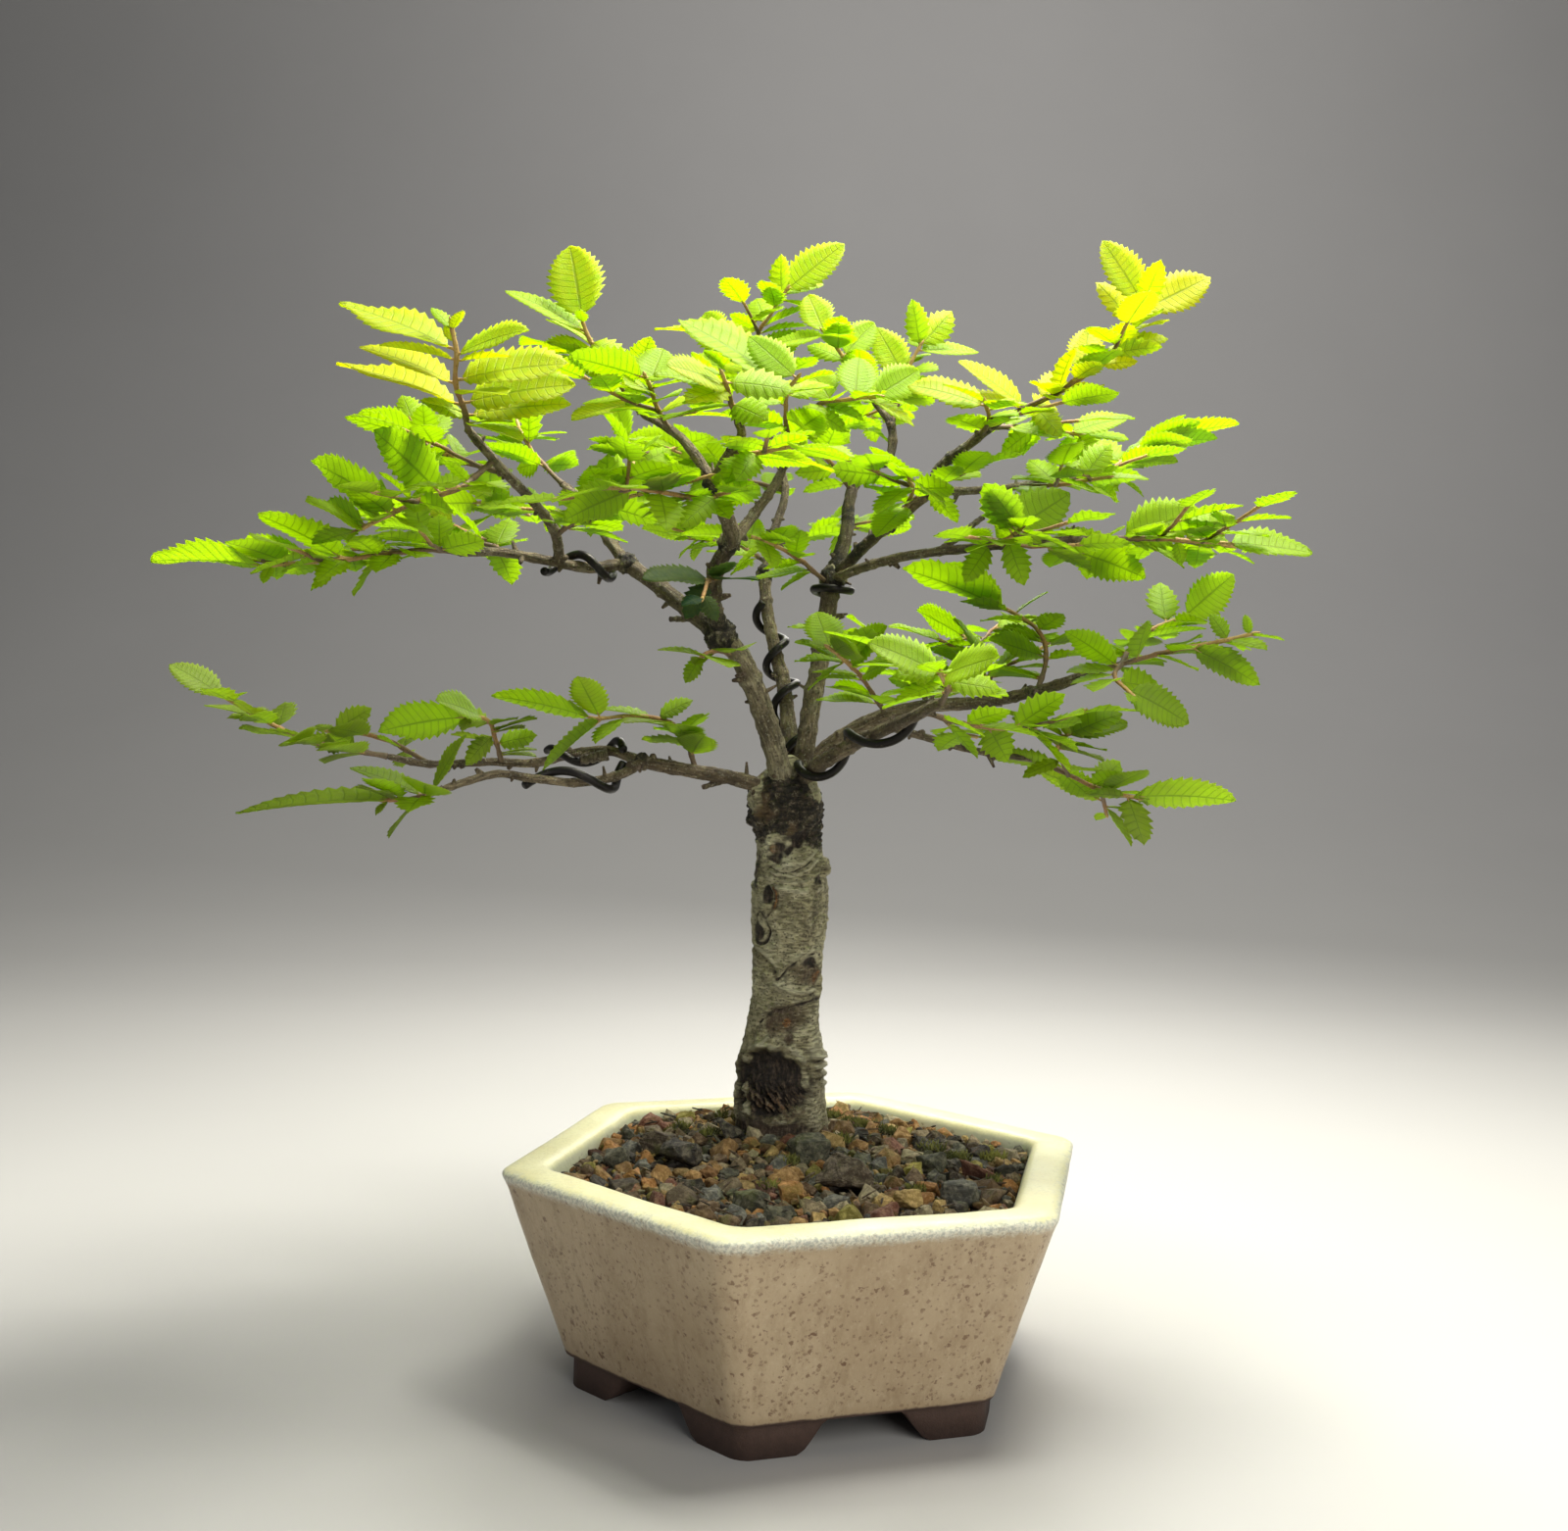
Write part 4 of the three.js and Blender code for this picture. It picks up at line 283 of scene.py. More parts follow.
# Leafy shoots. Each springs from its limb at the point nearest to its route's first point.
SHOOTS = [
    shown("left_tip", "left_flat", [(-95, -20, 223), (-103, -25, 223), (-116, -32, 220), (-125, -38, 218),
          (-138, -48, 215)], [(0.98, -167, -47, 216, -10), (0.87, -144, -59, 217, -22),
          (0.75, -147, -37, 223, -18), (0.6, -139, -53, 224, -14), (0.43, -117, -47, 223, -50),
          (0.12, -103, -13, 234, 60), (0.12, -87, -31, 225, -40)]),
    shown("left_shelf", "left_fore", [(-83, -38, 245), (-91, -44, 236), (-98, -48, 233), (-106, -52, 228),
          (-114, -55, 223)], [(0.72, -126, -51, 241, -30), (0.76, -112, -66, 232, -35),
          (0.76, -94, -58, 223, -30), (0.95, -121, -71, 228, 50), (0.92, -125, -48, 228, -45),
          (0.58, -90, -55, 229, -40), (0.43, -112, -46, 250, -50)]),
    shown("left_high", "left_fore", [(-88, -48, 250), (-87, -58, 253), (-88, -64, 258), (-87, -68, 264),
          (-88, -70, 270)], [(0.82, -115, -68, 275, 28), (0.56, -111, -64, 266, 26),
          (0.36, -118, -59, 263, 20), (0.79, -69, -75, 268, 45), (0.59, -61, -64, 263, 45),
          (0.39, -60, -60, 259, 48), (0.24, -62, -53, 256, 42), (0.88, -90, -69, 270, 60)]),
    shown("left_under", "left_fore", [(-82, -33, 242), (-94, -28, 246), (-103, -24, 251), (-109, -20, 258)],
          [(0.86, -123, -22, 259, -25), (0.96, -113, -15, 266, 55), (0.76, -103, -16, 264, 70),
          (0.55, -102, -38, 246, -50)]),
    shown("left_crest", "stem_left_fork", [(-48, -18, 262), (-55, -22, 271), (-61, -26, 279),
          (-63, -28, 284)], [(0.98, -68, -19, 306, 90), (0.88, -82, -28, 294, 25), (0.84, -70, -26, 285, 25),
          (0.79, -51, -33, 270, 60), (0.14, -71, -19, 277, 25), (0.12, -65, -33, 264, 30)]),
    shown("left_near", "stem_left_fork", [(-41, -20, 257), (-42, -34, 259), (-43, -44, 262),
          (-44, -50, 264)], [(0.89, -41, -34, 275, 90), (0.77, -48, -58, 260, 70), (0.62, -36, -51, 263, 40),
          (0.45, -30, -41, 261, 40)]),
    ruled("left_mid", "left_fore", 4, 20, -42, [(-72, -6, 231), (-65, -16, 233), (-53, -26, 237),
          (-44, -34, 238)]),
    ruled("left_back", "left_lift", 4, 20, -47, [(-75, 26, 250), (-83, 32, 258), (-89, 38, 266),
          (-93, 44, 274)]),
    ruled("left_rear", "left_lift", 3, 20, -42, [(-64, 18, 241), (-78, 30, 242), (-92, 38, 245),
          (-104, 44, 247)]),
    ruled("left_inner", "left_lift", 3, 19, -47, [(-61, 14, 234), (-58, 26, 247), (-55, 34, 258),
          (-58, 40, 267)]),
    ruled("left_low", "left_flat", 3, 19, -42, [(-86, -7, 225), (-96, 8, 231), (-106, 18, 236),
          (-115, 24, 240)]),
    ruled("stem_side", "left_stem", 4, 21, -34, [(-26, -22, 238), (-34, -34, 237), (-45, -44, 237),
          (-53, -50, 236)]),
    shown("front_crest", "stem_front_fork", [(-21, -50, 254), (-22, -58, 256), (-23, -64, 258),
          (-24, -70, 260)], [(0.78, -36, -81, 259, 60), (0.67, -32, -75, 252, 50), (0.83, -7, -67, 257, 58),
          (0.37, -13, -67, 250, 80)]),
    ruled("front_side", "stem_front_fork", 3, 22, -27, [(-24, -36, 248), (-16, -48, 246), (-8, -56, 246)]),
    shown("stem_drop", "left_stem", [(-27, -9, 219), (-29, -18, 217), (-30, -24, 212)],
          [(0.5, -35, -17, 207, 88), (0.91, -26, -23, 206, 85)]),
    shown("knuckle_drop", "left_rise", [(-21, 2, 199), (-28, -6, 199), (-31, -10, 197)],
          [(0.97, -35, -10, 190, 75)]),
    shown("centre_top", "stem_right_fork", [(-4, 20, 269), (1, 14, 273), (8, 8, 273), (17, 4, 273)],
          [(0.75, 12, 20, 288, 90), (0.46, -2, 24, 284, 88), (0.96, 29, 13, 283, 88), (0.88, 29, 5, 269, 30),
          (0.98, 43, 4, 277, 6), (0.32, -3, 6, 264, 60)]),
    shown("crown_tip", "back_top", [(-16, 82, 286), (-20, 74, 295), (-20, 68, 305), (-15, 62, 312),
          (-10, 58, 319)], [(0.98, 8, 58, 334, 58), (0.72, -20, 75, 321, 90), (0.66, -31, 72, 311, 65),
          (0.56, -50, 62, 320, 14), (0.34, -30, 82, 301, 50)]),
    shown("centre_long", "stem_right_fork", [(-7, 15, 260), (-9, 2, 266), (-9, -6, 271), (-6, -12, 274)],
          [(0.83, -39, -8, 290, 35), (0.98, -20, -2, 283, 65), (0.72, 1, 3, 276, 60)]),
    shown("right_crest", "right_top", [(18, 54, 284), (12, 50, 291), (6, 46, 298), (2, 44, 302)],
          [(0.98, -3, 53, 316, 85), (0.96, -17, 44, 312, 18), (0.63, 18, 54, 308, 88),
          (0.57, -3, 53, 300, 55), (0.22, 24, 59, 288, 60)]),
    shown("right_crest_side", "right_top", [(24, 52, 275), (27, 56, 287), (30, 56, 296), (33, 56, 302)],
          [(0.98, 43, 60, 314, 88), (0.98, 29, 60, 318, 85), (0.98, 57, 56, 315, 60),
          (0.93, 52, 60, 304, 35), (0.6, 19, 59, 308, 75), (0.66, 38, 47, 292, 50)]),
    ruled("right_inner", "right_top", 3, 18, -47, [(12, 43, 253), (4, 36, 261), (-2, 30, 263)]),
    ruled("back_left", "back_top", 4, 21, -42, [(-10, 74, 258), (-22, 84, 263), (-35, 90, 269),
          (-45, 94, 274)]),
    ruled("back_right", "back_top", 4, 21, -42, [(-13, 80, 274), (0, 90, 281), (12, 98, 286),
          (24, 104, 290)]),
    ruled("back_high", "back_top", 3, 21, 60, [(-17, 84, 289), (-26, 92, 299), (-32, 98, 310)]),
    ruled("back_low_left", "back_top", 3, 19, -42, [(-14, 66, 234), (-21, 74, 238), (-30, 84, 242),
          (-42, 90, 244)]),
    ruled("back_low_right", "back_top", 3, 19, -42, [(-13, 68, 240), (-2, 78, 243), (7, 86, 247),
          (19, 92, 250)]),
    shown("right_tip", "right_up", [(52, 0, 267), (66, -4, 273), (78, -6, 281), (84, -7, 287),
          (89, -9, 298)], [(0.98, 77, -9, 314, 62), (0.93, 107, -8, 305, 62), (0.86, 77, -8, 304, 72),
          (0.98, 96, -9, 310, 65), (0.47, 76, 3, 293, 88), (0.76, 96, -7, 288, 50), (0.58, 88, -6, 282, 55),
          (0.35, 77, -4, 274, 72), (0.22, 69, 4, 281, 82), (0.13, 39, -2, 282, 32), (0.12, 38, -2, 278, 58),
          (0.17, 67, -12, 263, 60)]),
    shown("right_near", "right_up", [(46, 3, 262), (47, -8, 265), (45, -14, 268)], [(0.89, 26, -2, 271, 45),
          (0.64, 54, -16, 264, 40), (0.98, 33, -20, 271, 20)]),
    shown("right_shoulder", "right_up", [(49, 2, 265), (61, 12, 267), (73, 22, 268), (82, 28, 268)],
          [(0.8, 92, 24, 273, 42), (0.19, 67, -6, 265, 32), (0.45, 53, 10, 259, -50),
          (0.89, 80, 16, 259, -55)]),
    shown("right_rear", "right_side", [(73, 36, 257), (85, 44, 259), (95, 50, 264), (106, 56, 274)],
          [(0.95, 134, 55, 279, -8), (0.86, 127, 54, 274, -14), (0.69, 114, 51, 266, -18),
          (0.68, 88, 61, 274, 62), (0.38, 78, 52, 268, 60)]),
    shown("right_side_tip", "right_side", [(62, 31, 253), (71, 20, 252), (77, 12, 252), (83, 6, 252)],
          [(0.9, 95, 8, 252, 22), (0.72, 85, 21, 262, 82), (0.95, 85, -3, 245, 55),
          (0.44, 64, 30, 261, 60)]),
    shown("right_flat_tip", "right_flat", [(77, -22, 230), (88, -26, 230), (98, -30, 229), (106, -34, 228)],
          [(0.12, 102, -23, 238, 78), (0.64, 109, -29, 236, 70), (0.98, 128, -34, 226, 38),
          (0.58, 96, -28, 223, 60), (0.3, 91, -32, 221, -40)]),
    shown("right_fore", "right_flat", [(45, -9, 229), (50, -26, 229), (53, -38, 231)],
          [(0.26, 68, -17, 243, 78), (0.6, 55, -26, 217, 75), (0.22, 40, -18, 219, 60)]),
    shown("right_below", "right_flat", [(63, -17, 230), (73, -6, 229), (83, 2, 228)],
          [(0.44, 91, -8, 222, -42), (0.75, 91, -2, 230, -28), (0.2, 75, -4, 234, 40)]),
    ruled("right_middle", "right_up", 3, 18, 50, [(26, 15, 241), (27, 0, 245), (25, -10, 248)]),
    ruled("right_back", "right_rise", 3, 18, -37, [(6, 30, 222), (-4, 18, 228), (-12, 8, 231),
          (-18, 0, 232)]),
    shown("low_right_twig", "low_right_back", [(63, -8, 191), (66, 2, 201), (64, 10, 209), (55, 18, 216)],
          [(0.98, 39, 17, 228, -22), (0.93, 26, 16, 226, -18), (0.87, 68, 15, 220, 4),
          (0.63, 70, -1, 212, -55), (0.54, 55, 15, 209, -30)]),
    shown("low_right_near", "low_right_front", [(32, -46, 185), (32, -60, 188), (29, -76, 189),
          (27, -90, 190)], [(0.78, 39, -97, 193, 60), (0.87, 17, -84, 189, 55), (0.58, 43, -71, 187, 60),
          (0.2, 17, -47, 183, 6), (0.23, 46, -49, 184, 8), (0.87, 10, -84, 195, 50)]),
    shown("low_right_inner", "low_right_back", [(23, 24, 183), (15, 12, 193), (9, 2, 198), (4, -6, 201)],
          [(0.96, 1, 9, 212, 60), (0.76, -5, 2, 203, 20), (0.68, 20, -8, 207, 55), (0.47, 27, -3, 200, 50),
          (0.26, 7, 24, 192, -30)]),
    shown("low_right_tip", "low_right_back", [(76, -18, 195), (82, -22, 197), (96, -26, 201),
          (106, -29, 203), (114, -31, 205)], [(0.98, 112, -31, 210, 45), (0.85, 103, -30, 210, 75),
          (0.86, 115, -40, 202, 30), (0.98, 123, -31, 205, 35), (0.62, 120, -27, 198, -28),
          (0.4, 99, -35, 195, -12), (0.9, 116, -29, 209, 70)], forks=[
          (1, [(88, -10, 204), (96, -6, 209), (104, -4, 212)],
           [(0.8, 98, 4, 222, 90), (0.96, 118, -4, 222, 78), (0.98, 124, -4, 215, 12)]),
          (1, [(78, -32, 193), (81, -40, 188)], [(0.67, 92, -26, 190, 65), (0.86, 96, -38, 181, 62)])]),
    shown("low_right_under", "low_right_under", [(65, 4, 171), (73, 2, 167), (82, 0, 163), (91, -3, 161)],
          [(0.92, 119, -2, 161, -28), (0.91, 77, -2, 162, -28), (0.6, 89, 9, 171, 80),
          (0.19, 49, 3, 173, -22), (0.21, 80, 5, 161, -60)], forks=[
          (1, [(68, -8, 174), (69, -16, 178)],
           [(0.98, 84, -15, 184, 42), (0.97, 90, -15, 182, 2), (0.95, 51, -15, 184, 4),
            (0.74, 79, -20, 174, -8)]),
          (2, [(84, 7, 160), (86, 12, 156)], [(0.6, 62, 8, 162, -32)])]),
    ruled("low_right_mid", "low_right_front", 4, 20, -42, [(28, -38, 182), (38, -36, 180), (48, -32, 179),
          (58, -28, 179)]),
    ruled("low_right_back", "low_right_back", 4, 20, -42, [(48, 4, 187), (52, 16, 196), (50, 26, 204),
          (46, 32, 208)]),
    ruled("low_right_rear", "low_right_back", 3, 19, -42, [(35, 16, 186), (32, 32, 196), (27, 44, 203),
          (22, 50, 207)]),
    shown("low_left_tip", "low_left_back", [(-121, 8, 168), (-138, 2, 171), (-150, -3, 176),
          (-163, -9, 184)], [(0.98, -177, -9, 192, 35), (0.97, -178, -8, 184, -28), (0.94, -156, -8, 185, 0),
          (0.63, -151, 10, 183, 88), (0.41, -161, 1, 175, -10), (0.26, -145, 7, 171, -50)]),
    shown("low_left_curl", "low_left_back", [(-110, 14, 166), (-122, 18, 172), (-134, 20, 175),
          (-141, 20, 175)], [(0.97, -129, 20, 182, 78), (0.78, -144, 27, 169, -60),
          (0.58, -119, 14, 171, -30)]),
    shown("low_left_rise", "low_left_back", [(-90, 21, 167), (-91, 12, 174), (-92, 6, 179), (-97, 2, 180)],
          [(0.98, -122, 2, 175, -40), (0.82, -108, -7, 179, 52), (0.5, -99, 11, 166, 55),
          (0.33, -79, 13, 175, 60)]),
    shown("low_left_inner", "low_left", [(-32, 13, 166), (-37, 10, 177), (-47, 9, 181), (-62, 6, 180)],
          [(0.98, -91, 6, 186, -18), (0.93, -86, 7, 176, -35), (0.55, -61, 9, 183, 12),
          (0.53, -34, 9, 186, 45), (0.36, -50, 11, 185, 10)]),
    shown("low_left_fore", "low_left_front", [(-95, -37, 160), (-100, -41, 158), (-108, -43, 157)],
          [(0.77, -146, -42, 153, 9), (0.37, -118, -40, 165, 12), (0.22, -78, -39, 166, 10)]),
]

# Leaves: the form that the solids have too, and the ways of turning one until it touches nothing
LEAF_ANGLE = 52
LEAF_WIDTH = 0.29
LEAF_FOLD = 0.14
LEAF_ARCH = 0.1
LEAF_SEED = 7
LEAF_TURNS = [  # pitch, roll, yaw, size
    (0, 0, 0, 1), (8, 0, 0, 1), (-8, 0, 0, 1), (0, 14, 6, 1), (0, -14, -6, 1),
    (14, 0, 6, 1), (-14, 0, -6, 1), (22, 0, 0, 0.95), (-22, 0, 0, 0.95),
    (0, 35, 15, 0.9), (0, -35, -15, 0.9), (40, 20, 0, 0.85),
    (-40, -20, 0, 0.85), (0, 0, 30, 0.8), (0, 0, -30, 0.8),
]
# Room between a leaf and those of its own spray, those of others, and the limbs and twigs
ROOM_OWN = 0.5
ROOM_OTHER = 1.7
ROOM_WOOD = 1.1
ROOM_SMALL_OWN = 0.3
ROOM_SMALL_OTHER = 0.4
# Twigs and blades as the scene shapes them
TWIG_START = 0.95
TWIG_END = 0.6
TWIG_SLIM = 0.80
TWIG_SIDES = 7
SIDE_TWIG_START = 0.66
BRANCHING_AGE = 0.37  # older shoots grow no side twigs
TEETH_LARGE = 12
TEETH_SMALL = 7
SMALL_LEAF = 17
TOOTH_TIP = 1.05
STALK = 0.07  # the stalk's share of a leaf's length
BLADE_THICK = 0.30
LIGHT_THROUGH = 0.66  # share of a leaf's finish through which light shines

# Age of the leaves on a shoot, from 0 for young and yellow to 1 for old and dark. The ages also follow where
# a shoot sits in the light, so the yellow of the crown's top is partly painted light and the dark grey-olive
# of low and inner shoots partly painted shade
SHOOT_AGES_AND_SHADE = {
    "left_high": 0.06, "left_crest": 0.12, "right_tip": 0.04, "crown_tip": 0.16, "right_crest": 0.2,
    "right_crest_side": 0.2, "centre_top": 0.2, "centre_long": 0.2, "left_near": 0.18, "front_crest": 0.16,
    "front_side": 0.2, "left_tip": 0.26, "left_shelf": 0.3, "left_under": 0.28, "right_near": 0.16,
    "right_shoulder": 0.24, "right_rear": 0.26, "right_flat_tip": 0.3, "stem_drop": 0.9, "knuckle_drop": 0.5,
    "right_fore": 0.36, "low_left_tip": 0.5, "low_left_curl": 0.52, "low_left_rise": 0.5,
    "low_left_inner": 0.46, "low_left_fore": 0.48, "low_right_tip": 0.38, "low_right_near": 0.3,
    "low_right_under": 0.46, "low_right_inner": 0.4, "low_right_twig": 0.4, "right_side_tip": 0.34,
}
MIDDLE_AGE = 0.27
OLD_LEAVES = {
    ("low_right_tip", 10), ("low_right_tip", 11), ("left_mid", 0), ("stem_side", 1), ("left_low", 1),
}


# Curves

def park_draws(seed):
    """Draws from 0 to 1, the same in every run."""
    state = seed * 7919 + 13
    while True:
        state = state * 16807 % 2147483647
        yield state / 2147483647


def sway(draw, spread):
    """A draw to either side of 0."""
    return (next(draw) - 0.5) * spread


def clamp(share):
    return min(1.0, max(0.0, share))


def unit(v):
    return v / np.linalg.norm(v)


def smooth(points, steps):
    """A smooth curve through the points, with the given steps between each two."""
    p = np.array(points, float)
    whole = np.vstack([2 * p[0] - p[1], p, 2 * p[-1] - p[-2]])
    t = np.arange(steps)[:, None] / steps
    curve = []
    for a, b, c, d in zip(whole, whole[1:], whole[2:], whole[3:]):
        curve.append((-0.5 * t + t**2 - 0.5 * t**3) * a + (1 - 2.5 * t**2 + 1.5 * t**3) * b
                     + (0.5 * t + 2 * t**2 - 1.5 * t**3) * c + (-0.5 * t**2 + 0.5 * t**3) * d)
    return np.vstack(curve + [p[-1:]])


def distances(curve):
    steps = np.linalg.norm(np.diff(curve, axis=0), axis=1)
    return np.concatenate([[0], np.cumsum(steps)])


def along(curve, share):
    """The point and direction at a share of a curve's length."""
    steps = np.linalg.norm(np.diff(curve, axis=0), axis=1)
    left = share * steps.sum()
    i = 0
    while i < len(steps) - 1 and left > steps[i]:
        left -= steps[i]
        i += 1
    direction = unit(curve[i + 1] - curve[i])
    return curve[i] + direction * left, direction


def evenly(curve, step):
    """The curve with its points a step apart."""
    at = distances(curve)
    count = max(2, int(round(at[-1] / step)) + 1)
    wanted = np.linspace(0, at[-1], count)
    return np.column_stack([np.interp(wanted, at, curve[:, k]) for k in range(curve.shape[1])])


def nearest(curve, point):
    return curve[np.argmin(np.linalg.norm(curve - np.array(point, float), axis=1))]


def carried_frames(curve):
    """A point, tangent and two directions across at each step, carried along without twisting."""
    frames = []
    side = None
    for i, p in enumerate(curve):
        tangent = unit(curve[min(i + 1, len(curve) - 1)] - curve[max(i - 1, 0)])
        if side is None:
            away = np.array([0.0, 0, 1]) if abs(tangent[2]) < 0.9 else np.array([1.0, 0, 0])
            side = unit(np.cross(away, tangent))
        side = unit(side - tangent * side.dot(tangent))
        frames.append((p, tangent, side, np.cross(tangent, side)))
    return frames


def station(frame_at, radius):
    """The place of a unit circle on a curve."""
    p, tangent, side, up = frame_at
    place = Matrix.Identity(4)
    place.col[0][:3] = side * radius
    place.col[1][:3] = up * radius
    place.col[2][:3] = tangent
    place.col[3][:3] = p
    return place


# Meshes

def only(kind, geometry):
    return [g for g in geometry if isinstance(g, kind)]


def draw_ring(bm, ring, places):
    """Draws a ring of edges from place to place, and returns the last ring."""
    for before, after in zip(places, places[1:]):
        drawn = bmesh.ops.extrude_edge_only(bm, edges=ring)["geom"]
        verts = only(bmesh.types.BMVert, drawn)
        new = set(verts)
        ring = [e for e in only(bmesh.types.BMEdge, drawn) if e.verts[0] in new and e.verts[1] in new]
        bmesh.ops.transform(bm, matrix=after @ before.inverted(), verts=verts)
    return ring


def mesh_of(name, bm):
    mesh = bpy.data.meshes.new(name)
    bm.to_mesh(mesh)
    bm.free()
    return mesh


def tube(frames, radii, sides):
    """A closed tube. Its vertices stand ring by ring."""
    places = [station(frame_at, radius) for frame_at, radius in zip(frames, radii)]
    bm = bmesh.new()
    circle = bmesh.ops.create_circle(bm, cap_ends=False, segments=sides, radius=1)
    bmesh.ops.transform(bm, matrix=places[0], verts=circle["verts"])
    first = bm.edges[:]
    last = draw_ring(bm, first, places)
    bmesh.ops.edgeloop_fill(bm, edges=first)
    bmesh.ops.edgeloop_fill(bm, edges=last)
    bmesh.ops.recalc_face_normals(bm, faces=bm.faces[:])
    return bm


class Gathered:
    """Parts gathered into one piece. Each vertex has three numbers for its material, and some have a place
    along a straight grain."""

    def __init__(self):
        self.bm = bmesh.new()
        self.marks = []
        self.straight = []

    def take(self, part, marks, straight=None):
        loose = mesh_of("part", part)
        self.take_mesh(loose, marks)
        self.straight.append(place_of(loose.vertices) if straight is None else straight)
        bpy.data.meshes.remove(loose)

    def take_mesh(self, mesh, marks):
        self.bm.from_mesh(mesh)
        self.marks.append(np.broadcast_to(np.array(marks, float), (len(mesh.vertices), 3)))

    def finish(self, name, finishes, slot, nodes, rounded=True, grained=False):
        bmesh.ops.transform(self.bm, matrix=TO_FRAME, verts=self.bm.verts[:])
        mesh = mesh_of(name, self.bm)
        for finish in finishes:
            mesh.materials.append(finish)
        keep_vectors(mesh, "marks", self.marks)
        if grained:
            keep_vectors(mesh, "straight", self.straight)
        if rounded:
            mesh.shade_smooth()
        else:
            mesh.shade_flat()
        piece = bpy.data.objects.new(name, mesh)
        bpy.context.scene.collection.objects.link(piece)
        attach(piece, "root")
        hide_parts(*nodes)
        return piece


def keep_vectors(mesh, name, parts):
    """Keeps a vector at each vertex, for the mesh's material to read."""
    kept = mesh.attributes.new(name, "FLOAT_VECTOR", "POINT")
    kept.data.foreach_set("vector", np.vstack(parts).astype(np.float32).ravel())


def place_of(verts):
    return np.array([v.co for v in verts], float)


def push_out(bm, centres, amounts):
    """Moves each vertex away from its centre by its own amount."""
    for vert, centre, amount in zip(bm.verts, centres, amounts):
        away = vert.co - Vector(centre)
        vert.co += away.normalized() * amount


def grain(p, size, seed=0.0):
    """Even noise from -1 to 1 at a point, with lumps of about a size in millimetres."""
    return noise.noise(Vector((p[0] / size + seed, p[1] / size - seed, p[2] / size + 0.5 * seed)))


# Values in a finish's nodes

class Value:
    """A number, colour or place that a finish works out at each point of its surface."""

    def __init__(self, socket):
        self.socket = socket

    def __add__(self, other):
        return reckon("ADD", self, other)

    def __sub__(self, other):
        return reckon("SUBTRACT", self, other)

    def __mul__(self, other):
        return reckon("MULTIPLY", self, other)

    def __abs__(self):
        return reckon("ABSOLUTE", self)

    def beside(self, name):
        """Another value of the same node."""
        return Value(self.socket.node.outputs[name])


def set_inputs(node, inputs):
    for name, value in inputs.items():
        socket = node.inputs[name]
        if isinstance(value, Value):
            node.id_data.links.new(value.socket, socket)
        elif isinstance(value, tuple) and socket.type == "RGBA":
            socket.default_value = (*value, 1)
        else:
            socket.default_value = value


def add(kind, inputs, output=0, **settings):
    """A value from a new node, which stands in the tree that its inputs come from."""
    tree = next(value.socket.id_data for value in inputs.values() if isinstance(value, Value))
    node = tree.nodes.new("ShaderNode" + kind)
    for name, value in settings.items():
        setattr(node, name, value)
    set_inputs(node, inputs)
    return Value(node.outputs[output])


class Finish:
    """A material. Its place is where a point of the piece lies, and its marks are that point's numbers."""

    def __init__(self, name):
        self.material = bpy.data.materials.new(name)
        self.material.use_nodes = True
        self.nodes = self.material.node_tree.nodes
        self.shader = next(n for n in self.nodes if n.type == "BSDF_PRINCIPLED")
        self.place = Value(self.nodes.new("ShaderNodeTexCoord").outputs["Object"])

    def kept(self, name):
        """A vector that the piece keeps at each vertex."""
        node = self.nodes.new("ShaderNodeAttribute")
        node.attribute_name = name
        return Value(node.outputs["Vector"])

    def marks(self):
        return parts_of(self.kept("marks"))

    def coat(self, inputs):
        set_inputs(self.shader, inputs)
        return self.material


def parts_of(place):
    x = add("SeparateXYZ", {0: place})
    return x, x.beside("Y"), x.beside("Z")


def clouds(place, scale, detail=5.0, roughness=0.6, distortion=0.0):
    return add("TexNoise", {"Vector": place, "Scale": scale, "Detail": detail, "Roughness": roughness,
                            "Distortion": distortion}, "Fac")


def cells(place, scale, feature="F1"):
    """Distance from the middle of the nearest cell, or from its edge."""
    return add("TexVoronoi", {"Vector": place, "Scale": scale}, "Distance", feature=feature)


def rise(value, low, high):
    """0 below low and 1 above high, or the other way round if low is the larger."""
    inputs = {"Value": value, "From Min": low, "From Max": high}
    if low > high:
        inputs.update({"From Min": high, "From Max": low, "To Min": 1.0, "To Max": 0.0})
    return add("MapRange", inputs, interpolation_type="SMOOTHSTEP")


def reckon(operation, a, b=0.0):
    return add("Math", {0: a, 1: b}, operation=operation)


def larger(a, b):
    return reckon("MAXIMUM", a, b)


def stretch(place, x, y, z):
    return add("Mapping", {"Vector": place, "Scale": (x, y, z)})


def blend(share, first, second):
    """The first colour where share is 0, and the second where it is 1."""
    return add("Mix", {0: share, 6: first, 7: second}, 2, data_type="RGBA")


def colours(value, stops, steps=False):
    """A colour for each value, from stops that each have a value and a colour."""
    colour = add("ValToRGB", {0: value})
    band = colour.socket.node.color_ramp
    band.interpolation = "CONSTANT" if steps else "LINEAR"
    while len(band.elements) < len(stops):
        band.elements.new(0.5)
    for element, (at, shade) in zip(band.elements, stops):
        element.position = at
        element.color = (*shade, 1)
    return colour


def bumps(height, strength, depth):
    return add("Bump", {"Height": height, "Strength": strength, "Distance": depth})


# Finishes

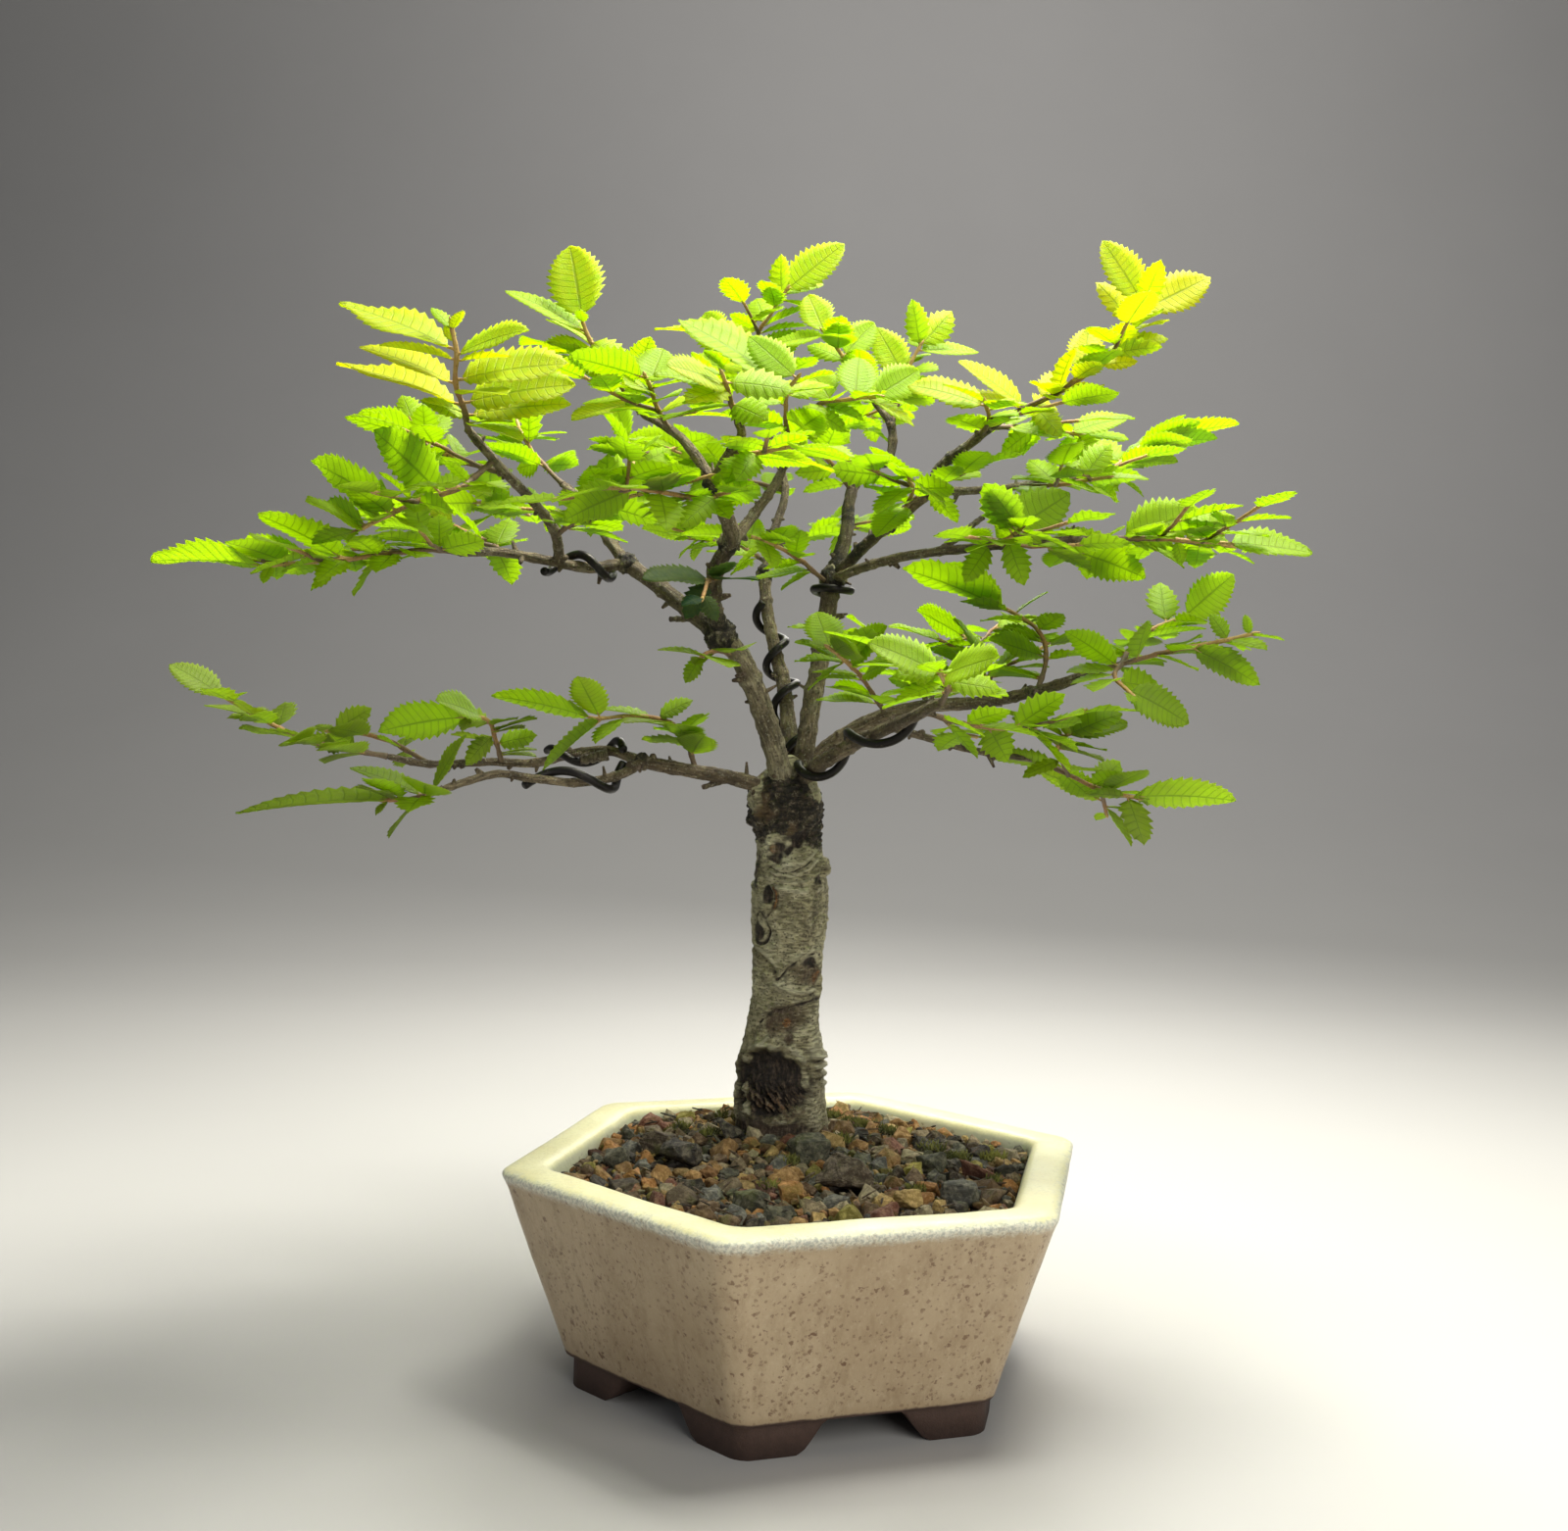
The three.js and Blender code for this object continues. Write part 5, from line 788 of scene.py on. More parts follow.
def glazed_stoneware():
    """Cream glaze with brown specks, yellow on the rim and white on its edge, over dark clay at the feet.
    The rim top's pale yellow is partly painted light from above.
    """
    finish = Finish("glazed_stoneware")
    place = finish.place
    across, _, height = parts_of(place)
    outer, _, _ = finish.marks()
    level = height + (clouds(place, 150, 3) - 0.5) * 0.0016
    cream = blend(rise(clouds(place, 38, 5), 0.3, 0.72), (0.375, 0.278, 0.168), (0.475, 0.368, 0.236))
    veil = clouds(stretch(place, 300, 300, 90), 1, 6, 0.72)
    cream = blend(rise(veil, 0.46, 0.68) * 0.45, cream, (0.27, 0.185, 0.1))
    mist = clouds(place, 820, 5, 0.7)
    cream = blend(rise(mist, 0.52, 0.72) * 0.35, cream, (0.56, 0.46, 0.32))

    # Ivory over the lip and inside, partly a paler glaze and partly painted light from above on the rim's
    # top, with frost where the lip turns down
    ivory_and_painted_light = blend(rise(clouds(place, 60, 4), 0.3, 0.7), (0.84, 0.78, 0.43), (0.92, 0.89, 0.56))
    ivory_and_painted_light = blend(rise(mist, 0.5, 0.66) * 0.4, ivory_and_painted_light, (0.62, 0.6, 0.36))
    inside = blend(rise(level, 0.057, 0.059), (0.55, 0.56, 0.4), ivory_and_painted_light)
    fray = (clouds(place, 700, 5, 0.7) - 0.5) * 0.9
    lip = level + fray * 0.003
    cream = blend(larger(rise(outer, 0.9, 0.3), rise(lip, 0.0576, 0.0588)), cream, inside)
    edge = rise(outer + fray, 0.7, 1.0) * rise(lip, 0.055, 0.0574) * rise(lip, 0.0595, 0.0584)
    sparkle = rise(clouds(place, 1200, 5, 0.7), 0.38, 0.58)
    cream = blend(edge * 0.75, cream, blend(sparkle, (0.44, 0.48, 0.44), (0.84, 0.84, 0.7)))

    # Brown specks on the wall, closer together in places
    grouped = rise(clouds(place, 27, 3), 0.34, 0.6)
    crowd = grouped * 0.5 + 0.26
    marks = larger(specks(place, 800, 0.42, crowd) * 0.55, specks(place, 440, 0.29, crowd * 0.5) * 0.8)
    marks = larger(marks, specks(place, 170, 0.155, grouped * 0.34)) * rise(level, 0.058, 0.055)
    glaze = blend(marks * 0.85, cream, (0.125, 0.056, 0.026))

    # Hairline cracks on the left, then the glaze's thick lower end and the bare clay under it
    run = clouds(stretch(place, 70, 70, 9), 1, 4, 0.6, 1.2)
    thin = rise(run, 0.497, 0.5) * rise(run, 0.505, 0.502)
    cracks = thin * rise(across, 0.012, -0.01) * rise(level, 0.054, 0.05)
    glaze = blend(cracks * 0.45, glaze, (0.2, 0.12, 0.06))
    glaze = blend(rise(level, 0.0122, 0.0102) * 0.4, glaze, (0.36, 0.26, 0.15))
    bare = rise(level, 0.0102, 0.0094)
    clay = blend(clouds(place, 420, 6, 0.7), (0.046, 0.026, 0.019), (0.105, 0.06, 0.045))
    skin = clouds(place, 750, 4, 0.65) + marks * -0.5 + larger(edge, bare) * clouds(place, 2200, 4)
    return finish.coat({
        "Base Color": blend(bare, glaze, clay),
        "Roughness": bare * 0.42 + 0.36,
        "Normal": bumps(skin, 0.4, 0.0004),
    })


def specks(place, scale, size, crowd):
    """Uneven specks, one in a share of the cells."""
    wander = add("TexNoise", {"Vector": place, "Scale": 2.2 * scale, "Detail": 3.0}, "Color")
    wander = add("VectorMath", {0: wander, 1: (0.5, 0.5, 0.5)}, operation="SUBTRACT")
    wander = add("VectorMath", {0: wander, "Scale": 1.1 / scale}, operation="SCALE")
    away = cells(add("VectorMath", {0: place, 1: wander}, operation="ADD"), scale)
    red = add("SeparateColor", {0: away.beside("Color")})
    reach = (red.beside("Green") + 0.35) * size
    return rise(reach - away, 0.0, 0.4 * size) * reckon("LESS_THAN", red, crowd)


def black_mesh():
    finish = Finish("black_mesh")
    dust = clouds(finish.place, 320, 5)
    return finish.coat({
        "Base Color": blend(rise(dust, 0.45, 0.75), (0.018, 0.019, 0.016), (0.09, 0.075, 0.05)),
        "Roughness": 0.6,
        "Normal": bumps(dust, 0.2, 0.0002),
    })


def damp_soil():
    finish = Finish("damp_soil")
    lumps = clouds(finish.place, 420, 6, 0.7)
    return finish.coat({
        "Base Color": colours(lumps, [(0.3, (0.012, 0.009, 0.006)), (0.55, (0.045, 0.032, 0.018)),
                                      (0.75, (0.11, 0.075, 0.038))]),
        "Roughness": 0.95,
        "Normal": bumps(lumps, 0.9, 0.001),
    })


def crushed_stone():
    """Mixed grit: each stone's own number picks its rock."""
    finish = Finish("crushed_stone")
    place = finish.place
    kind, shade, _ = finish.marks()
    rock = colours(kind, [
        (0.0, (0.62, 0.27, 0.055)), (0.12, (0.54, 0.29, 0.08)), (0.24, (0.68, 0.45, 0.14)),
        (0.34, (0.2, 0.115, 0.05)), (0.42, (0.6, 0.5, 0.3)), (0.5, (0.32, 0.235, 0.125)),
        (0.59, (0.11, 0.115, 0.075)), (0.67, (0.105, 0.07, 0.04)), (0.74, (0.034, 0.029, 0.024)),
        (0.82, (0.185, 0.19, 0.165)), (0.9, (0.29, 0.095, 0.05)), (0.95, (0.56, 0.48, 0.07)),
    ], steps=True)
    pale = blend(0.17, rock, (0.85, 0.74, 0.48))
    dark = blend(0.5, rock, (0.012, 0.009, 0.006))
    face = blend(rise(clouds(place, 520, 8, 0.72), 0.42, 0.66), dark, pale)
    face = blend(shade * 0.7, face, (0.02, 0.015, 0.01))
    face = blend(rise(clouds(place, 95, 4), 0.54, 0.68) * 0.45, face, (0.11, 0.13, 0.018))
    return finish.coat({
        "Base Color": face,
        "Roughness": 0.84,
        "Normal": bumps(clouds(place, 700, 8, 0.75), 1.0, 0.0012),
    })


def moss():
    finish = Finish("moss")
    place = finish.place
    _, _, tip = finish.marks()
    green = blend(rise(clouds(place, 160, 3), 0.35, 0.65), (0.075, 0.085, 0.018), (0.25, 0.25, 0.045))
    return finish.coat({
        "Base Color": blend(tip, (0.03, 0.03, 0.012), green),
        "Roughness": 0.9,
        "Normal": bumps(clouds(place, 2500, 3), 0.5, 0.0003),
    })


def elm_bark():
    """Olive-grey trunk, browner limbs, black cork, pale callus and dark wounds, by three numbers. The pale
    and dark tones are partly painted highlight on raised bark and painted shade in sunk bark.
    """
    finish = Finish("elm_bark")
    place = finish.place
    cork, tone, warm = finish.marks()
    drift = clouds(place, 75, 6, 0.65)
    grey = colours(drift, [(0.3, (0.17, 0.14, 0.075)), (0.45, (0.48, 0.43, 0.25)),
                           (0.57, (0.7, 0.65, 0.42)), (0.7, (0.88, 0.84, 0.62))])
    brown = colours(drift, [(0.28, (0.08, 0.052, 0.028)), (0.46, (0.185, 0.135, 0.075)),
                            (0.6, (0.3, 0.23, 0.13)), (0.76, (0.46, 0.38, 0.235))])
    skin = blend(rise(warm, 0.05, 0.5), grey, brown)
    skin = blend(rise(warm, 0.68, 0.95), skin, (0.36, 0.165, 0.055))

    # Grain along the wood, dark in its sunk grooves and pale on its ridges, partly the wood's own colour and
    # partly painted shade and painted highlight; then pores and pale flecks
    lines = clouds(stretch(finish.kept("straight"), 1.7, 1.7, 0.24), 1, 6, 0.72)
    skin = blend(rise(lines, 0.5, 0.64) * 0.62, skin,
                 blend(warm, (0.135, 0.115, 0.065), (0.04, 0.028, 0.016)))
    skin = blend(rise(lines, 0.43, 0.32) * 0.5, skin, blend(warm, (0.6, 0.57, 0.41), (0.42, 0.37, 0.25)))
    skin = blend(rise(cells(place, 850), 0.36, 0.16) * 0.6, skin, (0.06, 0.042, 0.022))
    skin = blend(rise(clouds(place, 1300, 3), 0.58, 0.7) * 0.6, skin, (0.62, 0.585, 0.42))

    # Callus and painted highlight, then cork, then wounds and painted shade
    skin = blend(rise(tone, -0.12, -0.75) * 0.85, skin, (0.7, 0.66, 0.45))
    # Cork is dark in its low cracks and pale on its raised crust: partly its own colour, partly painted
    # shade and painted highlight
    crust = clouds(place, 480, 7, 0.75)
    corky = colours(crust, [(0.4, (0.015, 0.012, 0.009)), (0.5, (0.05, 0.04, 0.028)),
                            (0.57, (0.15, 0.115, 0.07)), (0.66, (0.55, 0.5, 0.36))])
    corky = blend(rise(clouds(place, 70, 4), 0.56, 0.66) * 0.5, corky, (0.24, 0.15, 0.065))
    skin = blend(rise(cork + (crust - 0.5) * 0.8, 0.34, 0.58), skin, corky)
    fibres = clouds(stretch(place, 900, 900, 260), 1, 5, 0.7)
    rot_and_painted_shade = colours(fibres, [(0.35, (0.012, 0.009, 0.007)), (0.52, (0.052, 0.038, 0.028)),
                              (0.7, (0.2, 0.145, 0.098))])
    split_wood_and_painted_light = colours(fibres, [(0.32, (0.04, 0.024, 0.014)), (0.5, (0.19, 0.125, 0.075)),
                             (0.66, (0.46, 0.37, 0.25))])
    skin = blend(rise(tone, 0.22, 0.72), skin, blend(rise(warm, 0.15, 0.65), rot_and_painted_shade, split_wood_and_painted_light))
    height = crust * 0.7 + clouds(place, 1500, 5, 0.7) - rise(lines, 0.46, 0.68) * 0.9
    return finish.coat({"Base Color": skin, "Roughness": 0.72, "Normal": bumps(height, 1.0, 0.0011)})


def young_bark():
    """Twigs: orange-tan at the growing tip, brown and grey at the foot."""
    finish = Finish("young_bark")
    place = finish.place
    _, _, age = finish.marks()
    mottle = clouds(place, 620, 5, 0.7)
    skin = colours(age + (mottle - 0.5) * 0.9, [(0.0, (0.46, 0.3, 0.095)), (0.3, (0.38, 0.2, 0.075)),
                                                (0.62, (0.19, 0.118, 0.06)), (0.95, (0.125, 0.092, 0.056))])
    skin = blend(rise(cells(place, 1300), 0.32, 0.15) * 0.55, skin, (0.045, 0.025, 0.012))
    return finish.coat({"Base Color": skin, "Roughness": 0.7, "Normal": bumps(mottle, 0.6, 0.0003)})


def anodised_wire():
    finish = Finish("anodised_wire")
    scuffs = clouds(finish.place, 700, 4)
    return finish.coat({
        "Base Color": blend(rise(scuffs, 0.58, 0.75), (0.016, 0.014, 0.013), (0.075, 0.062, 0.05)),
        "Metallic": 0.7,
        "Roughness": 0.42,
        "Normal": bumps(scuffs, 0.15, 0.0002),
    })


def elm_leaf(name, under):
    """A leaf's face, with sunk veins that run to the teeth, and light that shines through it."""
    finish = Finish(name)
    place = finish.place
    tooth, across, age = finish.marks()
    out = abs(across)
    from_vein = abs(reckon("FRACT", tooth) - 0.5)
    vein = rise(from_vein, 0.11, 0.02) * rise(out, 0.98, 0.7)
    veins = larger(vein * 0.75, rise(out, 0.075, 0.02))
    # Colour by age, and partly painted light and shade: bright yellow on the lit top of the crown,
    # grey-olive on shoots in shade
    age_and_shade = age + (clouds(place, 300, 5, 0.65) - 0.5) * 0.3
    green = colours(age_and_shade, [
        (0.0, (0.6, 0.64, 0.02)), (0.18, (0.39, 0.55, 0.02)), (0.42, (0.3, 0.42, 0.036)),
        (0.68, (0.24, 0.29, 0.085)), (1.0, (0.03, 0.09, 0.042)),
    ])
    glow = colours(age_and_shade, [
        (0.0, (0.92, 0.91, 0.01)), (0.18, (0.7, 0.9, 0.008)), (0.42, (0.57, 0.77, 0.014)),
        (0.68, (0.42, 0.48, 0.07)), (1.0, (0.045, 0.14, 0.042)),
    ])
    if under:
        green = blend(0.22, green, (0.32, 0.46, 0.08))
    green = blend(veins * 0.3, green, blend(0.5, green, (0.5, 0.6, 0.08)))
    glow = blend(veins * 0.55, glow, (0.1, 0.22, 0.01))
    rim = rise(out, 0.9, 1.0) * 0.22
    green = blend(rim, green, (0.5, 0.58, 0.1))
    glow = blend(rim, glow, (0.72, 0.82, 0.1))
    net = rise(cells(place, 1700, "DISTANCE_TO_EDGE"), 0.0, 0.25)
    normal = bumps(net * 0.22 + veins * (0.9 if under else -0.9), 0.5, 0.0003)
    leaf = finish.coat({
        "Base Color": green,
        "Roughness": 0.66 if under else 0.5,
        "Specular IOR Level": 0.22 if under else 0.32,
        "Normal": normal,
    })
    through = add("BsdfTranslucent", {"Color": glow, "Normal": normal})
    both = add("MixShader", {0: LIGHT_THROUGH, 1: Value(finish.shader.outputs[0]), 2: through})
    set_inputs(next(n for n in finish.nodes if n.type == "OUTPUT_MATERIAL"), {"Surface": both})
    return leaf


def studio_paper():
    finish = Finish("studio_paper")
    tone = clouds(finish.place, 3, 3)
    return finish.coat({"Base Color": blend(tone, (0.43, 0.425, 0.415), (0.47, 0.465, 0.455)),
                        "Roughness": 0.9})


# Pot

def corner_offset(point):
    """How far a point lies from the middle of its side of the pot, along that side."""
    bearing = math.atan2(point.y, point.x) - POT_TURN
    middle = POT_TURN + (math.floor(bearing / math.radians(60)) + 0.5) * math.radians(60)
    return abs(point.y * math.cos(middle) - point.x * math.sin(middle))


def out_to_side(x, y):
    """Distance from the pot's middle, square to the nearest side."""
    return max(x * math.cos(b) + y * math.sin(b) for b in SIDE_BEARINGS)


def foot_level(offset):
    """Height of the foot ring's underside: the ground at a corner, up over an arch between two feet."""
    inner, outer = FOOT_GAP
    share = clamp((offset - inner) / (outer - inner))
    return FOOT_ARCH * (1 - math.sin(share * math.pi / 2) ** 1.4)


def make_pot(glaze):
    bm = bmesh.new()
    bmesh.ops.create_circle(bm, cap_ends=True, segments=6, radius=OUTLINE)
    bmesh.ops.bevel(bm, geom=bm.verts[:], offset=OUTLINE_ROUND * math.tan(math.radians(30)), segments=7,
                    profile=0.5, affect="VERTICES", material=-1)
    bmesh.ops.delete(bm, geom=bm.faces[:], context="FACES_ONLY")
    bmesh.ops.rotate(bm, matrix=Matrix.Rotation(POT_TURN - math.radians(30), 3, "Z"), verts=bm.verts[:])
    straight = [e for e in bm.edges if e.calc_length() > 20]
    bmesh.ops.subdivide_edges(bm, edges=straight, cuts=SIDE_CUTS)
    places = [Matrix.Translation((0, 0, z)) @ Matrix.Diagonal((r / OUTLINE, r / OUTLINE, 1, 1))
              for r, z in POT_PROFILE]
    bmesh.ops.transform(bm, matrix=places[0], verts=bm.verts[:])
    first = bm.edges[:]
    last = draw_ring(bm, first, places)
    bmesh.ops.bridge_loops(bm, edges=first + last)
    for vert in bm.verts:
        away = math.hypot(vert.co.x, vert.co.y)
        if away < 8:
            round_hole = (DRAIN_HOLE if 9 < vert.co.z < 16.8 else DRAIN_MOUTH) / away
            vert.co.x *= round_hole
            vert.co.y *= round_hole
    draw_foot_ring(bm)
    bmesh.ops.recalc_face_normals(bm, faces=bm.faces[:])
    bm.normal_update()
    uneven = [grain(v.co, 31, 4.0) * 0.32 + grain(v.co, 11, 9.0) * 0.10 for v in bm.verts]
    for vert, amount in zip(bm.verts[:], uneven):
        if vert.co.z > POT_BASE + 0.4:
            vert.co += vert.normal * amount
    outer = [clamp((out_to_side(v.co.x, v.co.y) / FLAT - 77 - 0.32 * (v.co.z - 57)) / 4) for v in bm.verts]
    pot = Gathered()
    pot.take(bm, [(share, 0, 0) for share in outer])
    return pot.finish("glazed_pot", [glaze], "glaze", ["pot"])


def draw_foot_ring(bm):
    """Draws the rim of the pot's underside down to the feet."""
    ring = [f for f in bm.faces if abs(f.calc_center_median().z - POT_BASE) < 0.02
            and all(v.co.z < POT_BASE + 0.06 and v.co.length > FOOT_INSIDE * FLAT - 1 for v in f.verts)]
    drawn = bmesh.ops.extrude_face_region(bm, geom=ring)["geom"]
    for vert in only(bmesh.types.BMVert, drawn):
        vert.co.z = foot_level(corner_offset(vert.co))


def make_drain_mesh(plastic):
    screen_low, screen_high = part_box("drain_screen")
    side = (screen_high.x - screen_low.x) * 1000
    bm = bmesh.new()
    bmesh.ops.create_grid(bm, x_segments=9, y_segments=9, size=side / 2)
    holes = bmesh.ops.inset_individual(bm, faces=bm.faces[:], thickness=0.42)
    bars = set(holes["faces"])
    bmesh.ops.delete(bm, geom=[f for f in bm.faces if f not in bars], context="FACES")
    bmesh.ops.solidify(bm, geom=bm.faces[:], thickness=0.9)
    bmesh.ops.recalc_face_normals(bm, faces=bm.faces[:])
    lift = screen_low.z * 1000 - min(v.co.z for v in bm.verts)
    bmesh.ops.translate(bm, vec=(0, 0, lift), verts=bm.verts[:])
    screen = Gathered()
    screen.take(bm, (0, 0, 0))
    return screen.finish("drain_mesh", [plastic], "screen", ["drain_screen"], rounded=False)


# Soil

def from_trunk(x, y):
    return math.hypot(x - TRUNK_FOOT[0], y - TRUNK_FOOT[1])


def soil_level(x, y):
    away = min(1.0, from_trunk(x, y) / SOIL_REACH)
    share = away * away * (3 - 2 * away)
    return SOIL_MOUND + (SOIL_EDGE - SOIL_MOUND) * share


def inside_pot(x, y, margin):
    """Whether a place on the soil is clear of the pot's wall."""
    return out_to_side(x, y) <= POT_INSIDE * FLAT - margin


def make_soil_bed(soil):
    bm = bmesh.new()
    bmesh.ops.create_grid(bm, x_segments=96, y_segments=96, size=82)
    for k in range(12):
        bearing = POT_TURN + math.radians(30 * k)
        reach = 69.1 if k % 2 == 0 else 70.2 * FLAT
        out = Vector((math.cos(bearing), math.sin(bearing), 0))
        bmesh.ops.bisect_plane(bm, geom=bm.verts[:] + bm.edges[:] + bm.faces[:], plane_co=out * reach,
                               plane_no=out, clear_outer=True)
    bottom = bmesh.ops.extrude_face_region(bm, geom=bm.faces[:], use_keep_orig=True)["geom"]
    below = set(only(bmesh.types.BMVert, bottom))
    for vert in bm.verts:
        if vert in below:
            vert.co = Vector((vert.co.x * 0.84, vert.co.y * 0.84, SOIL_BOTTOM))
        else:
            vert.co.z = soil_level(vert.co.x, vert.co.y) - 1.9 + 0.8 * grain(vert.co, 3.1)
    bmesh.ops.recalc_face_normals(bm, faces=bm.faces[:])
    bed = Gathered()
    bed.take(bm, (0, 0, 0))
    return bed.finish("soil_bed", [soil], "soil", ["soil"])


def crushed(draw, corners):
    """A broken stone: the hull of a few points on a block with its corners off."""
    bm = bmesh.new()
    for _ in range(corners):
        way = np.array([next(draw) - 0.5, next(draw) - 0.5, next(draw) - 0.5])
        way = way / (np.linalg.norm(way) ** 0.45 * np.abs(way).max() ** 0.55)
        bm.verts.new(Vector(way * (0.86 + 0.2 * next(draw))))
    bmesh.ops.convex_hull(bm, input=bm.verts[:])
    bmesh.ops.delete(bm, geom=[v for v in bm.verts if not v.link_faces], context="VERTS")
    return bm


def craggy(draw, cuts, size):
    """A larger stone, with its faces broken up."""
    bm = crushed(draw, 15)
    bmesh.ops.bevel(bm, geom=bm.edges[:], offset=0.05, segments=1, profile=0.5, affect="EDGES", material=-1)
    bmesh.ops.triangulate(bm, faces=bm.faces[:])
    bmesh.ops.subdivide_edges(bm, edges=bm.edges[:], cuts=cuts, use_grid_fill=True)
    bm.normal_update()
    for vert in bm.verts[:]:
        at = vert.co * size
        vert.co += vert.normal * (0.10 * grain(at, 2.6, size) + 0.06 * grain(at, 1.0, 2 * size))
    return bm


def tumbled(draw, tip):
    """A stone's turns about x, y and z: tipped a little, and swung any way round."""
    return sway(draw, tip), sway(draw, tip), next(draw) * 2 * math.pi


def lay_stone(bed, mesh, at, size, turns, marks):
    """Adds a copy of a stone to the grit, sized, turned and set in its place."""
    stone = mesh.copy()
    tip = Matrix.Rotation(turns[0], 4, "X") @ Matrix.Rotation(turns[1], 4, "Y")
    lie = Matrix.Rotation(turns[2], 4, "Z") @ tip
    stone.transform(Matrix.Translation(at) @ lie @ Matrix.Diagonal((*size, 1)))
    bed.take_mesh(stone, marks)
    bpy.data.meshes.remove(stone)


def make_grit(rock):
    draw = park_draws(91)
    grit = Gathered()
    laid = []
    for x, y, half, tone in BIG_STONES:
        stone = mesh_of("stone", craggy(draw, 2, half))
        at = (x, y, soil_level(x, y) + 0.34 * half)
        size = (half * 1.08, half * 0.86, half * 0.72)
        lay_stone(grit, stone, at, size, tumbled(draw, 0.7), (tone, 0.1, 0))
        bpy.data.meshes.remove(stone)
        laid.append((x, y, 2.2 * half))
    broken = [mesh_of("stone", crushed(draw, 13 + k % 6)) for k in range(18)]
    rough = [mesh_of("stone", craggy(draw, 1, 3 + k)) for k in range(6)]
    for count, small, large, room in GRIT_SIZES:
        scatter(grit, draw, laid, rough if large > 7 else broken, count, small, large, room)
    add_bark_bits(grit, draw, broken[0])
    return grit.finish("grit", [rock], "soil", ["soil"], rounded=False)


def scatter(grit, draw, laid, stones, count, small, large, room):
    """Lays stones of one grade where they find room between those that are laid."""
    left = count
    for _ in range(count * GRIT_TRIES):
        if not left:
            break
        x, y = sway(draw, GRIT_SPREAD), sway(draw, GRIT_SPREAD)
        size = small + (large - small) * next(draw) ** 1.5
        if not inside_pot(x, y, 0.40 * size) or from_trunk(x, y) < 12.6 + 0.35 * size:
            continue
        near = np.array(laid)
        if (np.hypot(near[:, 0] - x, near[:, 1] - y) < room * (near[:, 2] + size)).any():
            continue
        laid.append((x, y, size))
        left -= 1
        lift = sway(draw, 1.4) - 0.5 if large > 3 else next(draw) * 1.5 - 1.4
        lie = tumbled(draw, 1.2)
        wide = 0.34 + 0.12 * next(draw)
        shape = (size * 0.5, size * wide, size * (0.27 + 0.14 * next(draw)))
        stone = stones[int(next(draw) * len(stones))]
        marks = (next(draw), next(draw) ** 2, 0)
        lay_stone(grit, stone, (x, y, soil_level(x, y) + lift), shape, lie, marks)


def add_bark_bits(grit, draw, splinter):
    """Thin bits of bark and root on top of the stones."""
    for _ in range(BARK_BITS):
        x, y = sway(draw, 130), sway(draw, 130)
        length = 2.5 + 6 * next(draw) ** 2
        lie = tumbled(draw, 0.9)
        thin = 0.22 + 0.4 * next(draw)
        marks = (0.36 if next(draw) < 0.5 else 0.76, 0.3 + 0.6 * next(draw), 0)
        if from_trunk(x, y) > 15 + length / 2 and inside_pot(x, y, length / 2 + 1):
            at = (x, y, soil_level(x, y) + 1.2 + next(draw))
            lay_stone(grit, splinter, at, (length / 2, thin, 0.25), lie, marks)


def make_moss(green):
    """Tufts of short blades between the stones."""
    draw = park_draws(23)
    tufts = Gathered()
    for x, y, spread in MOSS_SPOTS:
        for _ in range(int(24 * spread)):
            bearing = next(draw) * 2 * math.pi
            away = spread * next(draw) ** 0.6
            at = (x + away * math.cos(bearing), y + away * math.sin(bearing))
            tall = 1.3 + 1.5 * next(draw)
            tilt = Matrix.Rotation(sway(draw, 1.6), 4, "X") @ Matrix.Rotation(sway(draw, 1.6), 4, "Y")
            if from_trunk(*at) <= 13.5 or not inside_pot(*at, 1.5):
                continue
            ground = soil_level(*at)
            bm = bmesh.new()
            root = Matrix.Translation((*at, ground + 0.7)) @ tilt
            bmesh.ops.create_cone(bm, cap_ends=True, segments=3, radius1=0.34, radius2=0.05, depth=tall,
                                  matrix=root @ Matrix.Translation((0, 0, tall / 2)))
            tufts.take(bm, [(0, 0, (v.co.z - ground) / 2.5) for v in bm.verts])
    return tufts.finish("moss_tufts", [green], "soil", ["soil"], rounded=False)


# Trunk and limbs

def swing(angles, bearing):
    turned = angles - math.radians(bearing)
    return np.arctan2(np.sin(turned), np.cos(turned))


def grains(points, size, seed=0.0):
    return np.array([grain(p, size, seed) for p in points])


def crackle(points, width, height):
    """Plates with cracks between them: 0 in a crack and 1 on a plate."""
    near = [noise.voronoi(Vector((p[0] / width, p[1] / width, p[2] / height)))[0] for p in points]
    return np.minimum(1, np.array([2.2 * (d[1] - d[0]) for d in near]))


def off_line(across, up, line, reach):
    """Distance of places on the unrolled bark from a line of bearings and heights."""
    nearest_yet = np.full(len(across), 99.0)
    middle = math.radians(line[len(line) // 2][0])
    x = swing(across, math.degrees(middle)) * reach
    ends = np.array([(math.radians(b) - middle, z) for b, z in line])
    ends = smooth(ends * [np.mean(reach), 1], 6)
    for a, b in zip(ends, ends[1:]):
        run = b - a
        share = np.clip(((x - a[0]) * run[0] + (up - a[1]) * run[1]) / (run @ run), 0, 1)
        away = np.hypot(x - a[0] - share * run[0], up - a[1] - share * run[1])
        nearest_yet = np.minimum(nearest_yet, away)
    return nearest_yet


